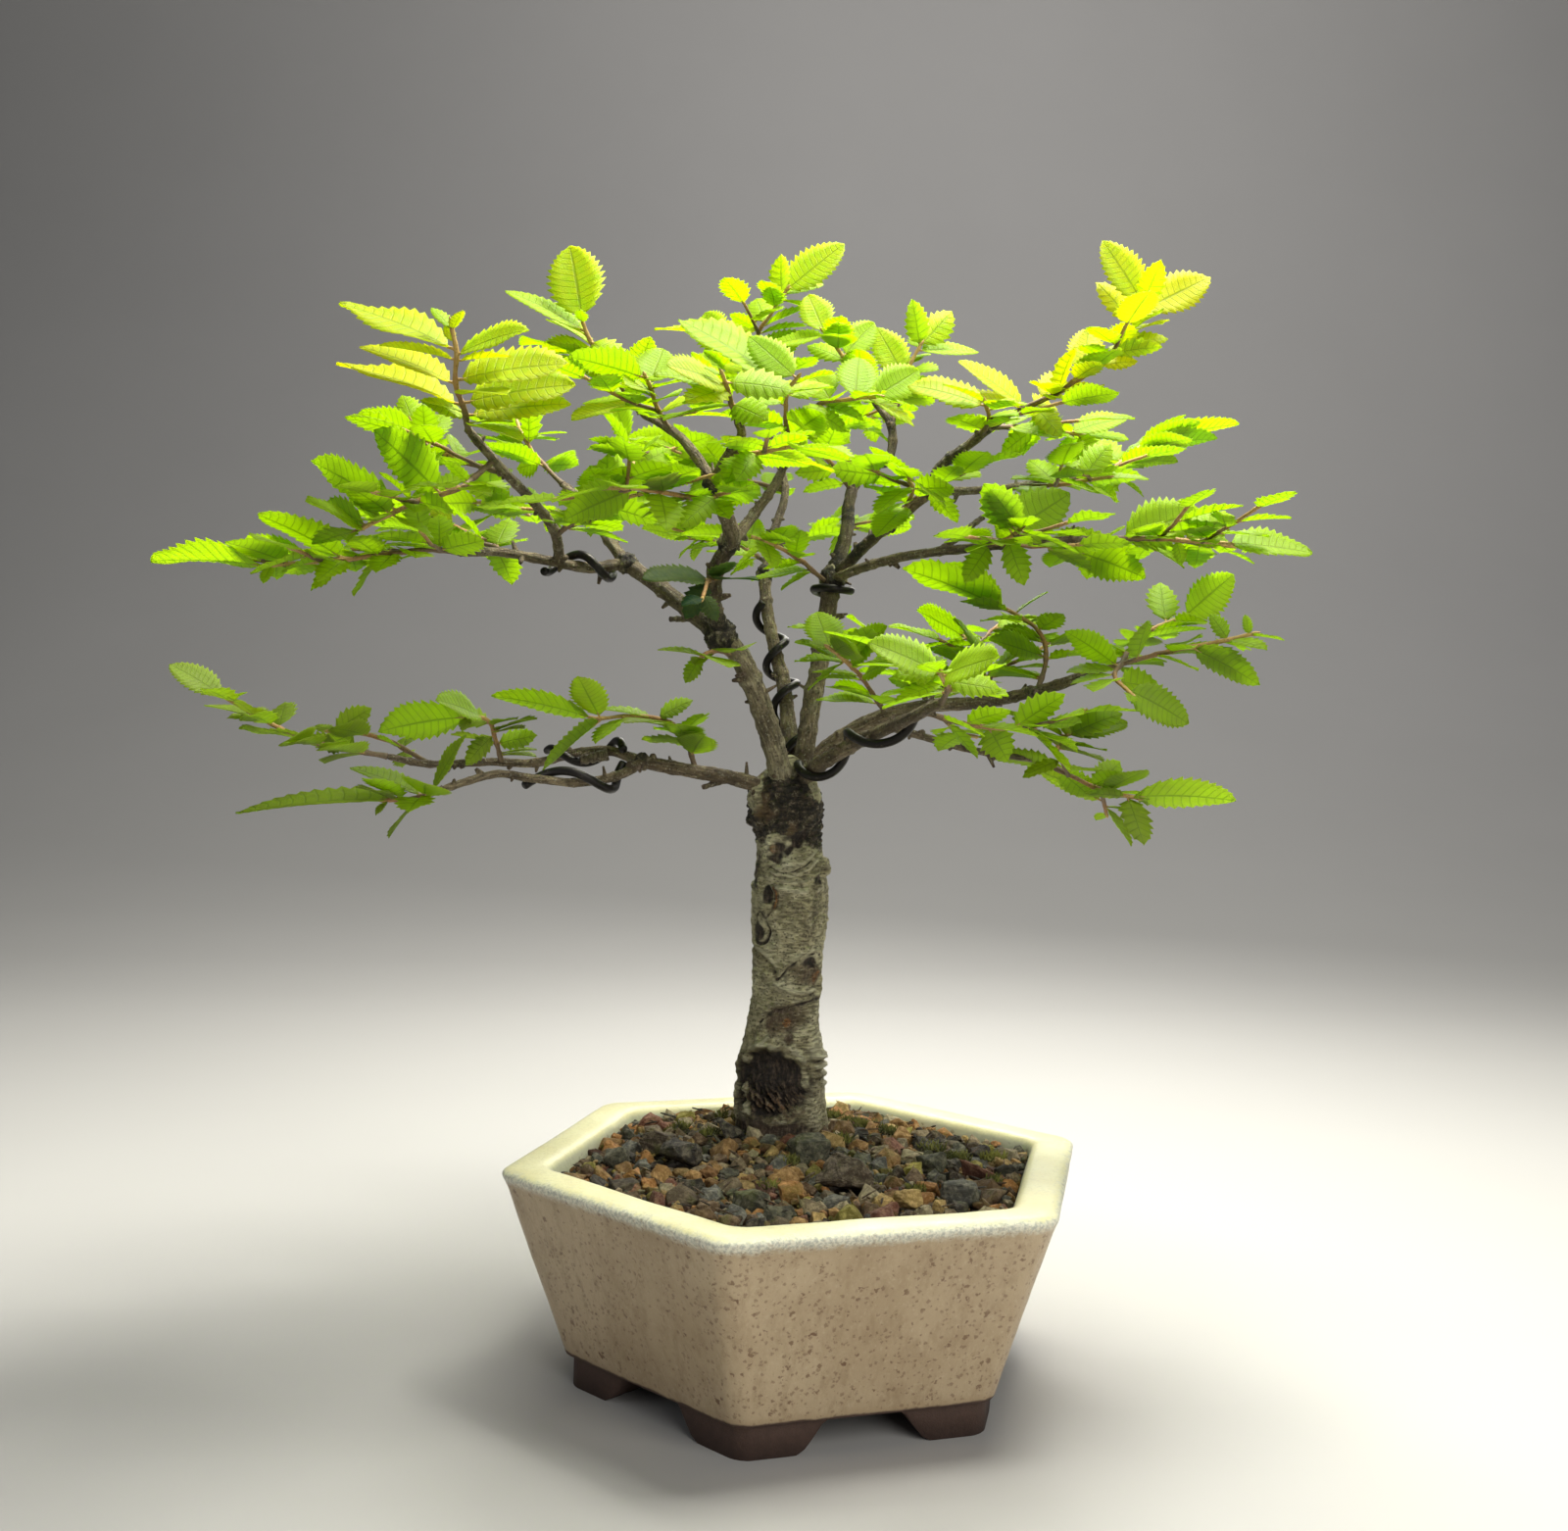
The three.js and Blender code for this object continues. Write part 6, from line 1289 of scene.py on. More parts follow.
def bark_of_trunk(angles, z, reach, points):
    """How far the bark stands out at each place on the trunk, how corky it is, its tone and its warmth. The
    tone is partly painted shade where the bark is sunk and painted highlight where it stands out.
    """
    push = 0.35 * np.sin(3 * angles + z * 0.05) + 0.25 * np.sin(5 * angles - z * 0.09)
    wander = grains(points, 2.6, 3.0)
    fine = grains(points, 1.1, 6.0)
    broad = grains(points, 5.0, 2.0)
    tone = np.zeros(len(z))
    warm = np.zeros(len(z))
    for level, bearing, tall, wide, up, hollow in KNOTS:
        away = np.hypot((z - level) / tall, swing(angles, bearing) / math.radians(wide))
        if hollow > 2:
            away = away + 0.07 * wander + 0.04 * fine
            rot_and_painted_shade = np.exp(-(away ** 8))
            side = swing(angles, bearing) * reach
            slope = np.column_stack([(side + z) * 1.3, (side - z) * 0.28, points[:, 1] * 0.2])
            low = np.clip((level + 2 - z) / 5, 0, 1)
            splinters = np.clip(3 * grains(slope, 0.9, 4.0) - 0.25, -1, 1)
            push += up * np.exp(-((away - 1.06) ** 2) * 40) * (0.8 + 0.6 * wander)
            push -= hollow * np.exp(-(away ** 4) * 1.3) * (1 - 0.35 * low)
            push += rot_and_painted_shade * (1.0 * low * splinters + 0.5 * wander + 0.35 * fine)
            # The hollow is dark, partly rot and partly painted shade; the raised splinters of its lower rim
            # are paler and tan, partly split wood and partly painted highlight
            tone = np.maximum(tone, rot_and_painted_shade * (1 - 0.55 * low * np.clip(splinters, 0, 1)))
            warm = np.maximum(warm, rot_and_painted_shade * low * np.clip(splinters, 0, 1))
            continue
        push += up * np.exp(-((away - 0.95) ** 2) * 9) - hollow * np.exp(-(away ** 4) * 1.6)
        if not hollow:
            push += up * np.exp(-(away ** 2) * 2)
    for level, bearing, tall, wide, up, shade, heat in BARK_MARKS:
        away = np.hypot((z - level) / tall, swing(angles, bearing) / math.radians(wide))
        full = np.exp(-((away + 0.22 * wander + 0.1 * fine) ** 4))
        push += up * full * (1 + 0.3 * fine)
        tone = tone * (1 - full) + (shade + 0.4 * fine) * full
        warm = warm * (1 - full) + heat * full
    bent_up = z + 0.35 * wander
    bent_across = angles + 0.03 * broad
    for width, up, shade, heat, line in BARK_LINES:
        away = off_line(bent_across, bent_up, line, reach) / (width * (1 + 0.35 * broad))
        full = np.exp(-(away ** 2))
        push += 1.3 * up * full * (1 + 0.5 * wander)
        tone += (shade - tone) * np.clip(full * (0.75 + 1.1 * wander), 0, 1)
        warm = np.maximum(warm, heat * full)
    cork = np.clip((z - CORK_START - 2.5 * broad - 2.5 * np.cos(angles - math.radians(250))) / 5, 0, 1)
    cork *= np.clip((CORK_END - z + 3 * broad) / 6, 0, 1)
    for bearing, level in ((207, 159), (338, 162)):
        away = np.hypot((z - level) / 6, swing(angles, bearing) / math.radians(26))
        cork *= 1 - 0.85 * np.exp(-((away + 0.2 * wander) ** 4))
    plates = crackle(points, 2.1, 1.6)
    push += cork * (0.95 * plates - 0.35 + 0.45 * wander + 0.25 * fine)
    calm = (1 - cork) * (1 - np.clip(tone, 0, 1))
    rings = np.sin(z * 2.2 + 2.4 * grains(points, 6.0, 17.0) + 1.5 * np.cos(angles))
    push += calm * (0.10 * rings + 0.24 * grains(points, 3.4, 19.0) + 0.17 * fine)
    tone += calm * (0.45 * grains(points, 4.2, 23.0) + 0.3 * grains(points, 1.6, 27.0))
    return push, cork, tone, warm


def make_trunk(whole):
    levels = evenly(smooth([(x, y, z, r) for z, r, x, y in TRUNK] + [(-6, 22, 171, 1.4)], 10), TRUNK_STEP)
    buried = levels[:, 2] < 55
    levels = np.vstack([levels[buried][::9], levels[~buried]])
    upright = (np.array([0.0, 0, 1]), np.array([1.0, 0, 0]), np.array([0.0, 1, 0]))
    bm = tube([(row[:3], *upright) for row in levels], levels[:, 3], TRUNK_SIDES)
    points = place_of(bm.verts)
    rows = np.repeat(levels, TRUNK_SIDES, axis=0)
    out = points[:, :2] - rows[:, :2]
    angles = np.arctan2(out[:, 1], out[:, 0])
    push, cork, tone, warm = bark_of_trunk(angles, rows[:, 2], rows[:, 3], points)
    push *= np.clip((170.8 - rows[:, 2]) / 5, 0, 1)
    for vert, angle, amount in zip(bm.verts, angles, push):
        vert.co += Vector((math.cos(angle), math.sin(angle), 0)) * amount
    whole.take(bm, np.column_stack([cork, tone, warm]), points * [0.25, 0.25, 6])


limb_curves = {name: smooth(route, 8) for name, (route, _, _) in LIMBS.items()}
CORKY_LIMBS = {"right_up": 0.62, "right_top": 0.45, "left_stem": 0.36, "left_rise": 0.22, "back_rise": 0.32,
               "stem_right_fork": 0.34, "left_reach": 0.24, "low_right_front": 0.26, "low_left": 0.2}


def straightened(points, frames, run, sides, seed):
    """Where each vertex of a tube would be if the tube were drawn out straight, for its grain to follow."""
    middle, _, side, up = (np.repeat(np.array(part), sides, axis=0) for part in zip(*frames))
    out = points - middle
    return np.column_stack([(out * side).sum(1) + seed, (out * up).sum(1) - seed, np.repeat(run, sides)])


def limb_radius(start, end, s, length, joints):
    """A limb's radius at a distance along it, thicker at its foot and at its joints."""
    radius = start + (end - start) * (s / length)
    radius *= 1 + 0.34 * math.exp(-s / start)
    radius *= 1 + sum(height * math.exp(-((s - at) / 0.9) ** 2) for at, height in joints)
    return radius * (1 - 0.35 * math.exp(-((length - s) / 0.7) ** 2))


def make_limb(whole, name):
    _, start, end = LIMBS[name]
    stout = start > 2.2
    sides = 20 if stout else 14
    seed = sum(map(ord, name))
    draw = park_draws(seed)
    curve = evenly(smooth(LIMBS[name][0], 14), 0.7)
    run = distances(curve)
    length = run[-1]
    joints = []
    at = 3 + 4 * next(draw)
    while at < length - 2:
        joints.append((at, 0.05 + 0.16 * next(draw) ** 2))
        at += 4 + 6 * next(draw)
    frames = carried_frames(curve)
    radii = [limb_radius(start, end, s, length, joints) for s in run]
    bm = tube(frames, radii, sides)
    points = place_of(bm.verts)
    straight = straightened(points, frames, run, sides, seed % 37)
    wide = np.repeat(np.array(radii), sides)
    cork = CORKY_LIMBS.get(name, 0.14) * (0.9 + 0.9 * grains(points, 7.0, 2.0))
    if stout:
        cork += 0.7 * np.exp(-np.repeat(run, sides) / 7)
    cork = np.clip(cork, 0, 1)
    fibres = grains(straight * [1, 1, 0.22], 0.8, 5.0)
    push = wide * (0.09 * grains(points, 3.2, 5.0) + 0.06 * grains(points, 1.1, 9.0) + 0.07 * fibres
                   + 0.17 * cork * (crackle(points, 1.6, 1.6) - 0.4))
    push_out(bm, np.repeat(curve, sides, axis=0), push)
    # Random tone, plus painted shade where the bark is sunk and painted highlight where it stands out
    tone = 0.25 * grains(points, 3.0, 29.0) + 0.45 * np.clip(-push / wide / 0.12, -0.6, 1)
    youth = np.clip((4.6 - wide) / 4, 0.2, 0.6)
    whole.take(bm, np.column_stack([cork, tone, youth]), straight)
    add_nubs(whole, curve, frames, radii, draw)


def add_nubs(whole, curve, frames, radii, draw):
    """Old bud scars and the feet of twigs cut away, here and there on a limb."""
    for _ in range(int(distances(curve)[-1] / 7)):
        k = 2 + int(next(draw) * (len(curve) - 5))
        p, tangent, side, up = frames[k]
        turn = next(draw) * 2 * math.pi
        out = side * math.cos(turn) + up * math.sin(turn)
        size = 0.45 + 0.45 * next(draw) ** 2
        tall = 1.4 * next(draw) ** 3
        lean = unit(out + 0.35 * tangent + 0.2 * up)
        skin = p + out * radii[k]
        nub = [p + out * radii[k] * 0.6, p + out * radii[k] * 0.9, skin + lean * (0.5 + tall),
               skin + lean * (0.9 + 2.2 * tall)]
        bm = tube(carried_frames(np.array(nub)), [size * 1.5, size * 1.35, size, size * 0.62], 6)
        tone = [0.0] * 12 + [0.35] * 6 + [0.9] * 6
        whole.take(bm, [(0.3, t, 0.5) for t in tone])


def make_knuckle(whole, x, y, z, radius):
    bm = bmesh.new()
    bmesh.ops.create_icosphere(bm, subdivisions=4, radius=radius * 0.98)
    bmesh.ops.scale(bm, vec=(1, 0.9, 1.05), verts=bm.verts[:])
    bmesh.ops.translate(bm, vec=(x, y, z), verts=bm.verts[:])
    points = place_of(bm.verts)
    lumps = crackle(points, 1.5, 1.5)
    wander = grains(points, 2.2, 3.0)
    push = radius * (0.20 * grains(points, 0.9 * radius, 3.0) + 0.15 * (lumps - 0.3) + 0.14 * wander)
    push_out(bm, [(x, y, z)] * len(points), push)
    cork = np.clip(0.62 + 0.6 * grains(points, 3.0, 4.0), 0, 1)
    tone = 0.5 * np.clip(0.4 - lumps, -0.3, 1)
    whole.take(bm, np.column_stack([cork, tone, np.full(len(points), 0.3)]))


def make_stub(whole, low_end, high_end, radius):
    """A pruned stub with a flat dark end."""
    curve = evenly(np.array([low_end, high_end], float), 0.7)
    count = len(curve)
    sizes = [radius * (1.2 - 0.4 * i / (count - 1) + 0.12 * math.sin(2.1 * i)) for i in range(count)]
    bm = tube(carried_frames(curve), sizes, 10)
    push_out(bm, np.repeat(curve, 10, axis=0), [0.16 * radius * grain(v.co, 1.2, 3.0) for v in bm.verts])
    whole.take(bm, [(0.45, 0.0, 0.4)] * 10 * (count - 1) + [(0.45, 1.0, 0.4)] * 10)


def make_tree(bark):
    whole = Gathered()
    make_trunk(whole)
    for name in LIMBS:
        make_limb(whole, name)
    for knuckle in KNUCKLES:
        make_knuckle(whole, *knuckle)
    for low_end, high_end, radius in STUBS:
        make_stub(whole, low_end, high_end, radius)
    return whole.finish("trunk_with_limbs", [bark], "bark", ["trunk_and_limbs"], grained=True)


# What the wire and the leaves keep clear of: straight pieces with an owner and a radius

class Straights:
    def __init__(self):
        self.owner, self.a, self.b, self.radius = [], [], [], []

    def put(self, owner, a, b, radius):
        self.owner.append(owner)
        self.a.append(a)
        self.b.append(b)
        self.radius.append(radius)

    def put_curve(self, owner, curve, radius):
        for a, b in zip(curve, curve[1:]):
            self.put(owner, a, b, radius)

    def settle(self):
        self.owners = np.array(self.owner)
        self.starts = np.array(self.a, float)
        self.runs = np.array(self.b, float) - self.starts
        self.squares = (self.runs ** 2).sum(1)
        self.radii = np.array(self.radius, float)

    def too_near(self, points, room, spared):
        """Whether a point is nearer than room to a piece that isn't spared."""
        kept = self.owners != spared
        low_reach, high_reach = points.min(0) - room - 5, points.max(0) + room + 5
        ends = self.starts + self.runs
        kept &= (np.maximum(self.starts, ends) > low_reach).all(1)
        kept &= (np.minimum(self.starts, ends) < high_reach).all(1)
        starts, runs = self.starts[kept], self.runs[kept]
        squares, radii = self.squares[kept], self.radii[kept]
        if not len(radii):
            return False
        away = points[:, None] - starts
        share = np.clip((away * runs).sum(2) / squares, 0, 1)
        gap = np.linalg.norm(away - share[..., None] * runs, axis=2)
        return bool((gap < radii + room).any())


def lay_wood():
    wood = Straights()
    for name, (_, start, end) in LIMBS.items():
        curve = limb_curves[name]
        for i in range(1, len(curve)):
            wood.put(name, curve[i - 1], curve[i], start + (end - start) * (i / len(curve)))
    for x, y, z, radius in KNUCKLES:
        wood.put("knuckle", (x, y, z), (x, y, z + 0.01), radius * 1.1)
    for low_end, high_end, radius in STUBS:
        wood.put("stub", low_end, high_end, radius)
    wood.settle()
    return wood


def push_clear(point, wood):
    for _ in range(6):
        away = point - wood.starts
        share = np.clip((away * wood.runs).sum(1) / wood.squares, 0, 1)
        gaps = np.linalg.norm(away - share[:, None] * wood.runs, axis=1)
        for k in np.nonzero(gaps < wood.radii + WIRE_ROOM + 4)[0]:
            away = point - wood.starts[k]
            share = clamp(away.dot(wood.runs[k]) / wood.squares[k])
            offset = point - (wood.starts[k] + share * wood.runs[k])
            short = wood.radii[k] + WIRE_ROOM - np.linalg.norm(offset)
            if short > 0:
                point = point + unit(offset) * short
    return point


def wire_curve(limb, low_end, high_end, turns, bearing, wood):
    _, start, end = LIMBS[limb]
    frames = carried_frames(limb_curves[limb])
    count = round(turns * WIRE_STEPS)
    points = []
    for i in range(count + 1):
        place = (low_end + (high_end - low_end) * i / count) * (len(frames) - 1)
        step = min(math.floor(place), len(frames) - 2)
        share = place - step
        point = frames[step][0] * (1 - share) + frames[step + 1][0] * share
        reach = start + (end - start) * place / len(frames) + WIRE_ROOM
        angle = math.radians(bearing) + i / WIRE_STEPS * 2 * math.pi
        point = point + frames[step][2] * reach * math.cos(angle) + frames[step][3] * reach * math.sin(angle)
        points.append(push_clear(point, wood))
    return np.array(points)


def make_wire(name, curve, metal):
    fine = evenly(smooth(curve, 5), 0.55)
    frames = carried_frames(fine)
    last = len(frames) - 1
    sizes = [WIRE * (0.86 if i in (0, last) else 1) for i in range(last + 1)]
    wire = Gathered()
    wire.take(tube(frames, sizes, 12), (0, 0, 0))
    wire.finish(f"training_{name}", [metal], "wire", [name])


# Leaves

def turned(first, second, angle):
    """Two square axes turned in their own plane, the first towards the second."""
    return (first * math.cos(angle) + second * math.sin(angle),
            second * math.cos(angle) - first * math.sin(angle))


def turn_frame(axes, pitch, roll, yaw):
    """A leaf's frame turned about its face, then its side, then its length."""
    length, side, face = axes
    pitch, roll, yaw = (math.radians(a) for a in (pitch, roll, yaw))
    length, side = turned(length, side, yaw)
    length, face = turned(length, face, pitch)
    side, face = turned(side, face, roll)
    return length, side, face


def skyward(lean):
    return np.array([0, -math.sin(math.radians(lean)), math.cos(math.radians(lean))])


def blade_width(u):
    return np.sin(np.pi * u ** 0.82) ** 0.7


# Where a leaf is tried for touching: shares of its length, and of its half width
LEAF_STATIONS = np.array([0.12, 0.25, 0.38, 0.51, 0.64, 0.77, 0.9, 1])
SAMPLE_U, SAMPLE_V = (g.ravel() for g in np.meshgrid(LEAF_STATIONS, [-1, -0.5, 0, 0.5, 1], indexing="ij"))


class Leaf:
    """A leaf's place and size. A leaf that the solids have too is given its number on the twig."""

    def __init__(self, twig, base, length, axes):
        self.twig, self.base, self.length, self.axes = twig, base, length, axes
        self.spray = twig["spray"]
        self.number = None
        self.samples = self.point(SAMPLE_U, SAMPLE_V)

    def point(self, u, v):
        across = v * LEAF_WIDTH * self.length * blade_width(u)
        height = LEAF_FOLD * np.abs(across) - LEAF_ARCH * self.length * u * u
        length, side, face = self.axes
        return (self.base + np.multiply.outer(u * self.length, length) + np.multiply.outer(across, side)
                + np.multiply.outer(height, face))

    def meets(self, points, room):
        """Whether a point is nearer than room to the blade."""
        away = points - self.base
        u = away @ self.axes[0] / self.length
        inside = np.clip(u, 0.04, 0.96)
        across = np.abs(away @ self.axes[1])
        height = LEAF_FOLD * across - LEAF_ARCH * self.length * u * u
        touching = (u >= -0.03) & (u <= 1.03)
        touching &= across <= LEAF_WIDTH * self.length * blade_width(inside) + 0.6
        touching &= np.abs(away @ self.axes[2] - height) < room
        return bool(touching.any())


def held_leaf(twig, share, x, y, z, lean):
    """A leaf from its shoot to a known tip."""
    base, _ = along(twig["curve"], share)
    reach = np.array([x, y, z], float) - base
    length = np.linalg.norm(reach)
    axis = reach / length
    sky = skyward(lean)
    face = unit(sky - axis * sky.dot(axis))
    droop = math.degrees(math.atan(LEAF_ARCH))
    return base, length, turn_frame((axis, np.cross(face, axis), face), droop, 0, 0)


def ruled_leaf(twig, i, draw):
    """Leaves by rule stand by turns on a shoot's two sides, larger towards its tip, with one at the tip."""
    count = twig["leaves"]
    last = i == count - 1
    seat = 0.97 if last else 0.3 + 0.66 * (i + 0.25) / max(1, count - 1)
    base, tangent = along(twig["curve"], seat)
    side = unit(np.cross(skyward(twig["lean"]), tangent))
    hand = 0 if last else (i % 2) * 2 - 1
    pitch = sway(draw, 24) - 2
    roll = sway(draw, 56)
    yaw = hand * LEAF_ANGLE + sway(draw, 20)
    grown = 0.7 + 0.3 * i / (count - 1) if count > 1 else 1
    length = twig["length"] * grown * (0.9 + 0.16 * next(draw))
    return base, length, turn_frame((tangent, side, np.cross(tangent, side)), pitch, roll, yaw)


def lay_twigs():
    twigs = []
    for shoot in SHOOTS:
        root = nearest(limb_curves[shoot["limb"]], shoot["route"][0])
        route = [list(root), *shoot["route"][1:]]
        twigs.append({**shoot, "spray": shoot["name"], "curve": smooth(route, 6), "thick": TWIG_START})
        for start, fork_route, held in shoot.get("forks", ()):
            twigs.append({"spray": shoot["name"], "curve": smooth([route[start], *fork_route], 6),
                          "thick": TWIG_START * 0.85, "held": held})
    return twigs


def settle_leaf(twig, wanted, placed, straights, own, other):
    """The first way of holding a leaf in which it touches nothing. Own and other are the room that it needs
    beside leaves of its own spray and of others."""
    base, length, axes = wanted
    spray = twig["spray"]
    if placed:
        away = np.linalg.norm(np.array([near.base for near in placed]) - base, axis=1)
        placed = [placed[k] for k in np.nonzero(away <= length + 45)[0]]
    for pitch, roll, yaw, scale in LEAF_TURNS:
        leaf = Leaf(twig, base, length * scale, turn_frame(axes, pitch, roll, yaw))
        clear = True
        for near in placed:
            if np.linalg.norm(leaf.base - near.base) > leaf.length + near.length:
                continue
            room = own if near.spray == spray else other
            if near.meets(leaf.samples, room) or leaf.meets(near.samples, room):
                clear = False
                break
        if clear and not straights.too_near(leaf.samples, ROOM_WOOD, spray):
            return leaf
    return None


def place_leaves(twigs, straights):
    """The leaves that the solids have, in the same order and by the same rule."""
    draw = park_draws(LEAF_SEED)
    placed = []
    for twig in twigs:
        wanted = [held_leaf(twig, *hold) for hold in twig.get("held", ())]
        wanted += [ruled_leaf(twig, i, draw) for i in range(twig.get("leaves", 0))]
        for number, want in enumerate(wanted):
            leaf = settle_leaf(twig, want, placed, straights, ROOM_OWN, ROOM_OTHER)
            if leaf:
                leaf.number = number
                placed.append(leaf)
    return placed


def add_side_twigs(twigs, placed, straights):
    """Short twigs by turns on the two sides of each shoot, where there is room for them."""
    draw = park_draws(131)
    grown = []
    for twig in twigs:
        if SHOOT_AGES_AND_SHADE.get(twig["spray"], MIDDLE_AGE) > BRANCHING_AGE:
            continue
        run = distances(twig["curve"])[-1]
        hand = 1
        at = 5 + 5 * next(draw)
        while at < run - 4:
            base, tangent = along(twig["curve"], at / run)
            side = unit(np.cross(skyward(0), tangent))
            up = np.cross(tangent, side)
            spread = math.radians(38 + 26 * next(draw))
            way = tangent * math.cos(spread) + side * hand * math.sin(spread)
            way = unit(way + up * (0.5 * next(draw) - 0.12))
            reach = 9 + 15 * next(draw)
            bend = up * (0.16 * reach * (next(draw) - 0.3))
            curve = smooth([base, base + way * reach * 0.5 - bend * 0.5, base + way * reach], 4)
            side_twig = {"spray": twig["spray"], "curve": curve, "thick": SIDE_TWIG_START}
            if way[2] < 0.42 and is_clear(side_twig, placed, straights):
                straights.put_curve(twig["spray"], curve, 0.6)
                straights.settle()
                grown.append(side_twig)
            hand = -hand
            at += 5 + 5 * next(draw)
    return grown


def is_within(points):
    """Small leaves and side twigs keep to the box of the solids."""
    return bool(((points > BOX_LOW - 1) & (points < BOX_HIGH + 1)).all())


def is_clear(twig, placed, straights):
    points = twig["curve"][3:]
    if not is_within(points):
        return False
    for leaf in placed:
        if np.linalg.norm(leaf.base - points[0]) < leaf.length + 24 and leaf.meets(points, 0.9):
            return False
    return not straights.too_near(points, 1.2, twig["spray"])


def flat_frame(tangent, hand, spread, lean, roll):
    """A leaf that leaves its twig sideways and lies nearly level, however steep the twig is."""
    sky = skyward(lean)
    side = unit(np.cross(sky, tangent) + 0.001)
    axis = tangent * math.cos(math.radians(spread)) + side * hand * math.sin(math.radians(spread))
    axis = unit(axis * [1, 1, 0.55])
    face = unit(sky - axis * sky.dot(axis))
    return turn_frame((axis, np.cross(face, axis), face), 4, roll, 0)


def add_leaf(twig, base, length, axes, placed, straights):
    leaf = settle_leaf(twig, (base, length, axes), placed, straights, ROOM_SMALL_OWN, ROOM_SMALL_OTHER)
    if leaf and is_within(leaf.samples):
        placed.append(leaf)


def leaf_side_twigs(side_twigs, placed, straights):
    """Small leaves by turns along the side twigs, with one at the tip."""
    draw = park_draws(58)
    for twig in side_twigs:
        run = distances(twig["curve"])[-1]
        count = max(2, int(run / 3.8))
        for i in range(count):
            last = i == count - 1
            base, tangent = along(twig["curve"], 0.98 if last else 0.12 + 0.86 * i / count)
            hand = 0 if last else (i % 2) * 2 - 1
            lean, roll = -15 + 31 * next(draw), sway(draw, 34)
            axes = flat_frame(tangent, hand, 44 + 14 * next(draw), lean, roll)
            length = (12 + 7 * next(draw)) * (0.82 + 0.2 * i / count)
            add_leaf(twig, base, length, axes, placed, straights)


def add_small_leaves(twigs, placed, straights):
    """Smaller leaves that fill the shoots between the main ones, and two young ones at each tip."""
    draw = park_draws(57)
    for twig in twigs:
        run = distances(twig["curve"])[-1]
        for _ in range(max(3, int(run / 2.5))):
            base, tangent = along(twig["curve"], 0.1 + 0.88 * next(draw))
            hand = 1 if next(draw) < 0.5 else -1
            lean, roll = -15 + 31 * next(draw), sway(draw, 34)
            axes = flat_frame(tangent, hand, 40 + 24 * next(draw), lean, roll)
            add_leaf(twig, base, 12 + 8.5 * next(draw), axes, placed, straights)
        for hand in (-1, 1):
            base, tangent = along(twig["curve"], 0.97)
            axes = flat_frame(tangent, hand, 24 + 20 * next(draw), 30 * next(draw), hand * 20)
            add_leaf(twig, base, 5 + 3 * next(draw), axes, placed, straights)


def blade_pattern(teeth):
    """A flat closed blade to bend: x runs from foot to tip and y across, with the underside below."""
    bm = bmesh.new()
    across = 4 if teeth == TEETH_LARGE else 2
    bmesh.ops.create_grid(bm, x_segments=2 * teeth, y_segments=across, size=1)
    bmesh.ops.solidify(bm, geom=bm.faces[:], thickness=0.1)
    bmesh.ops.recalc_face_normals(bm, faces=bm.faces[:])
    for face in bm.faces:
        if all(v.co.z < -0.05 for v in face.verts):
            face.material_index = 1
    return mesh_of("blade", bm)


def shape_blade(leaf, pattern, teeth, draw):
    """Where the pattern's vertices lie on a leaf, with saw teeth, a fold at the midrib and sunk veins."""
    s = (pattern[:, 0] + 1) / 2
    v = pattern[:, 1]
    out = np.abs(v)
    step = np.rint(s * 2 * teeth)
    at_tooth = step % 2 == 1
    edge = out > 0.99
    t = s + 0.09 * 4 * s * (1 - s) * out
    t = np.clip(np.where(edge & at_tooth, t + 0.36 / teeth, t), 0, 1)
    u = STALK + (1 - STALK) * t
    full = np.sin(np.pi * t ** 0.86) ** 0.64
    half = np.maximum(full, 0.03) * 1.08 * LEAF_WIDTH * leaf.length
    notch = 0.84 if teeth == TEETH_LARGE else 0.77
    half = half * np.where(edge, np.where(at_tooth, TOOTH_TIP, notch), 1)
    uneven = 1 + sway(draw, 0.10) * np.sign(v)
    lean = sway(draw, 0.03) * leaf.length * np.sin(np.pi * s)
    across = v * half * uneven + lean
    fold = LEAF_FOLD * (0.5 + 1.0 * next(draw))
    height = fold * np.abs(across) - LEAF_ARCH * leaf.length * u * u
    height += 0.006 * leaf.length * np.where(at_tooth, -1, 1) * np.sin(np.pi * np.minimum(out, 1))
    wave, phase = 0.030 * next(draw), 6.28 * next(draw)
    height += wave * leaf.length * np.sin(2 * np.pi * 1.4 * s + phase + np.sign(v)) * v * v
    height -= np.where(pattern[:, 2] < -0.05, BLADE_THICK * (1 - 0.6 * v * v), 0)
    length, side, face = leaf.axes
    places = leaf.base + np.outer(u * leaf.length, length) + np.outer(across, side) + np.outer(height, face)
    return places, step / 2, v


def in_bark(bm):
    """Gives a part the third finish of its spray, which is the bark of twigs and stalks."""
    for face in bm.faces:
        face.material_index = 2
    return bm


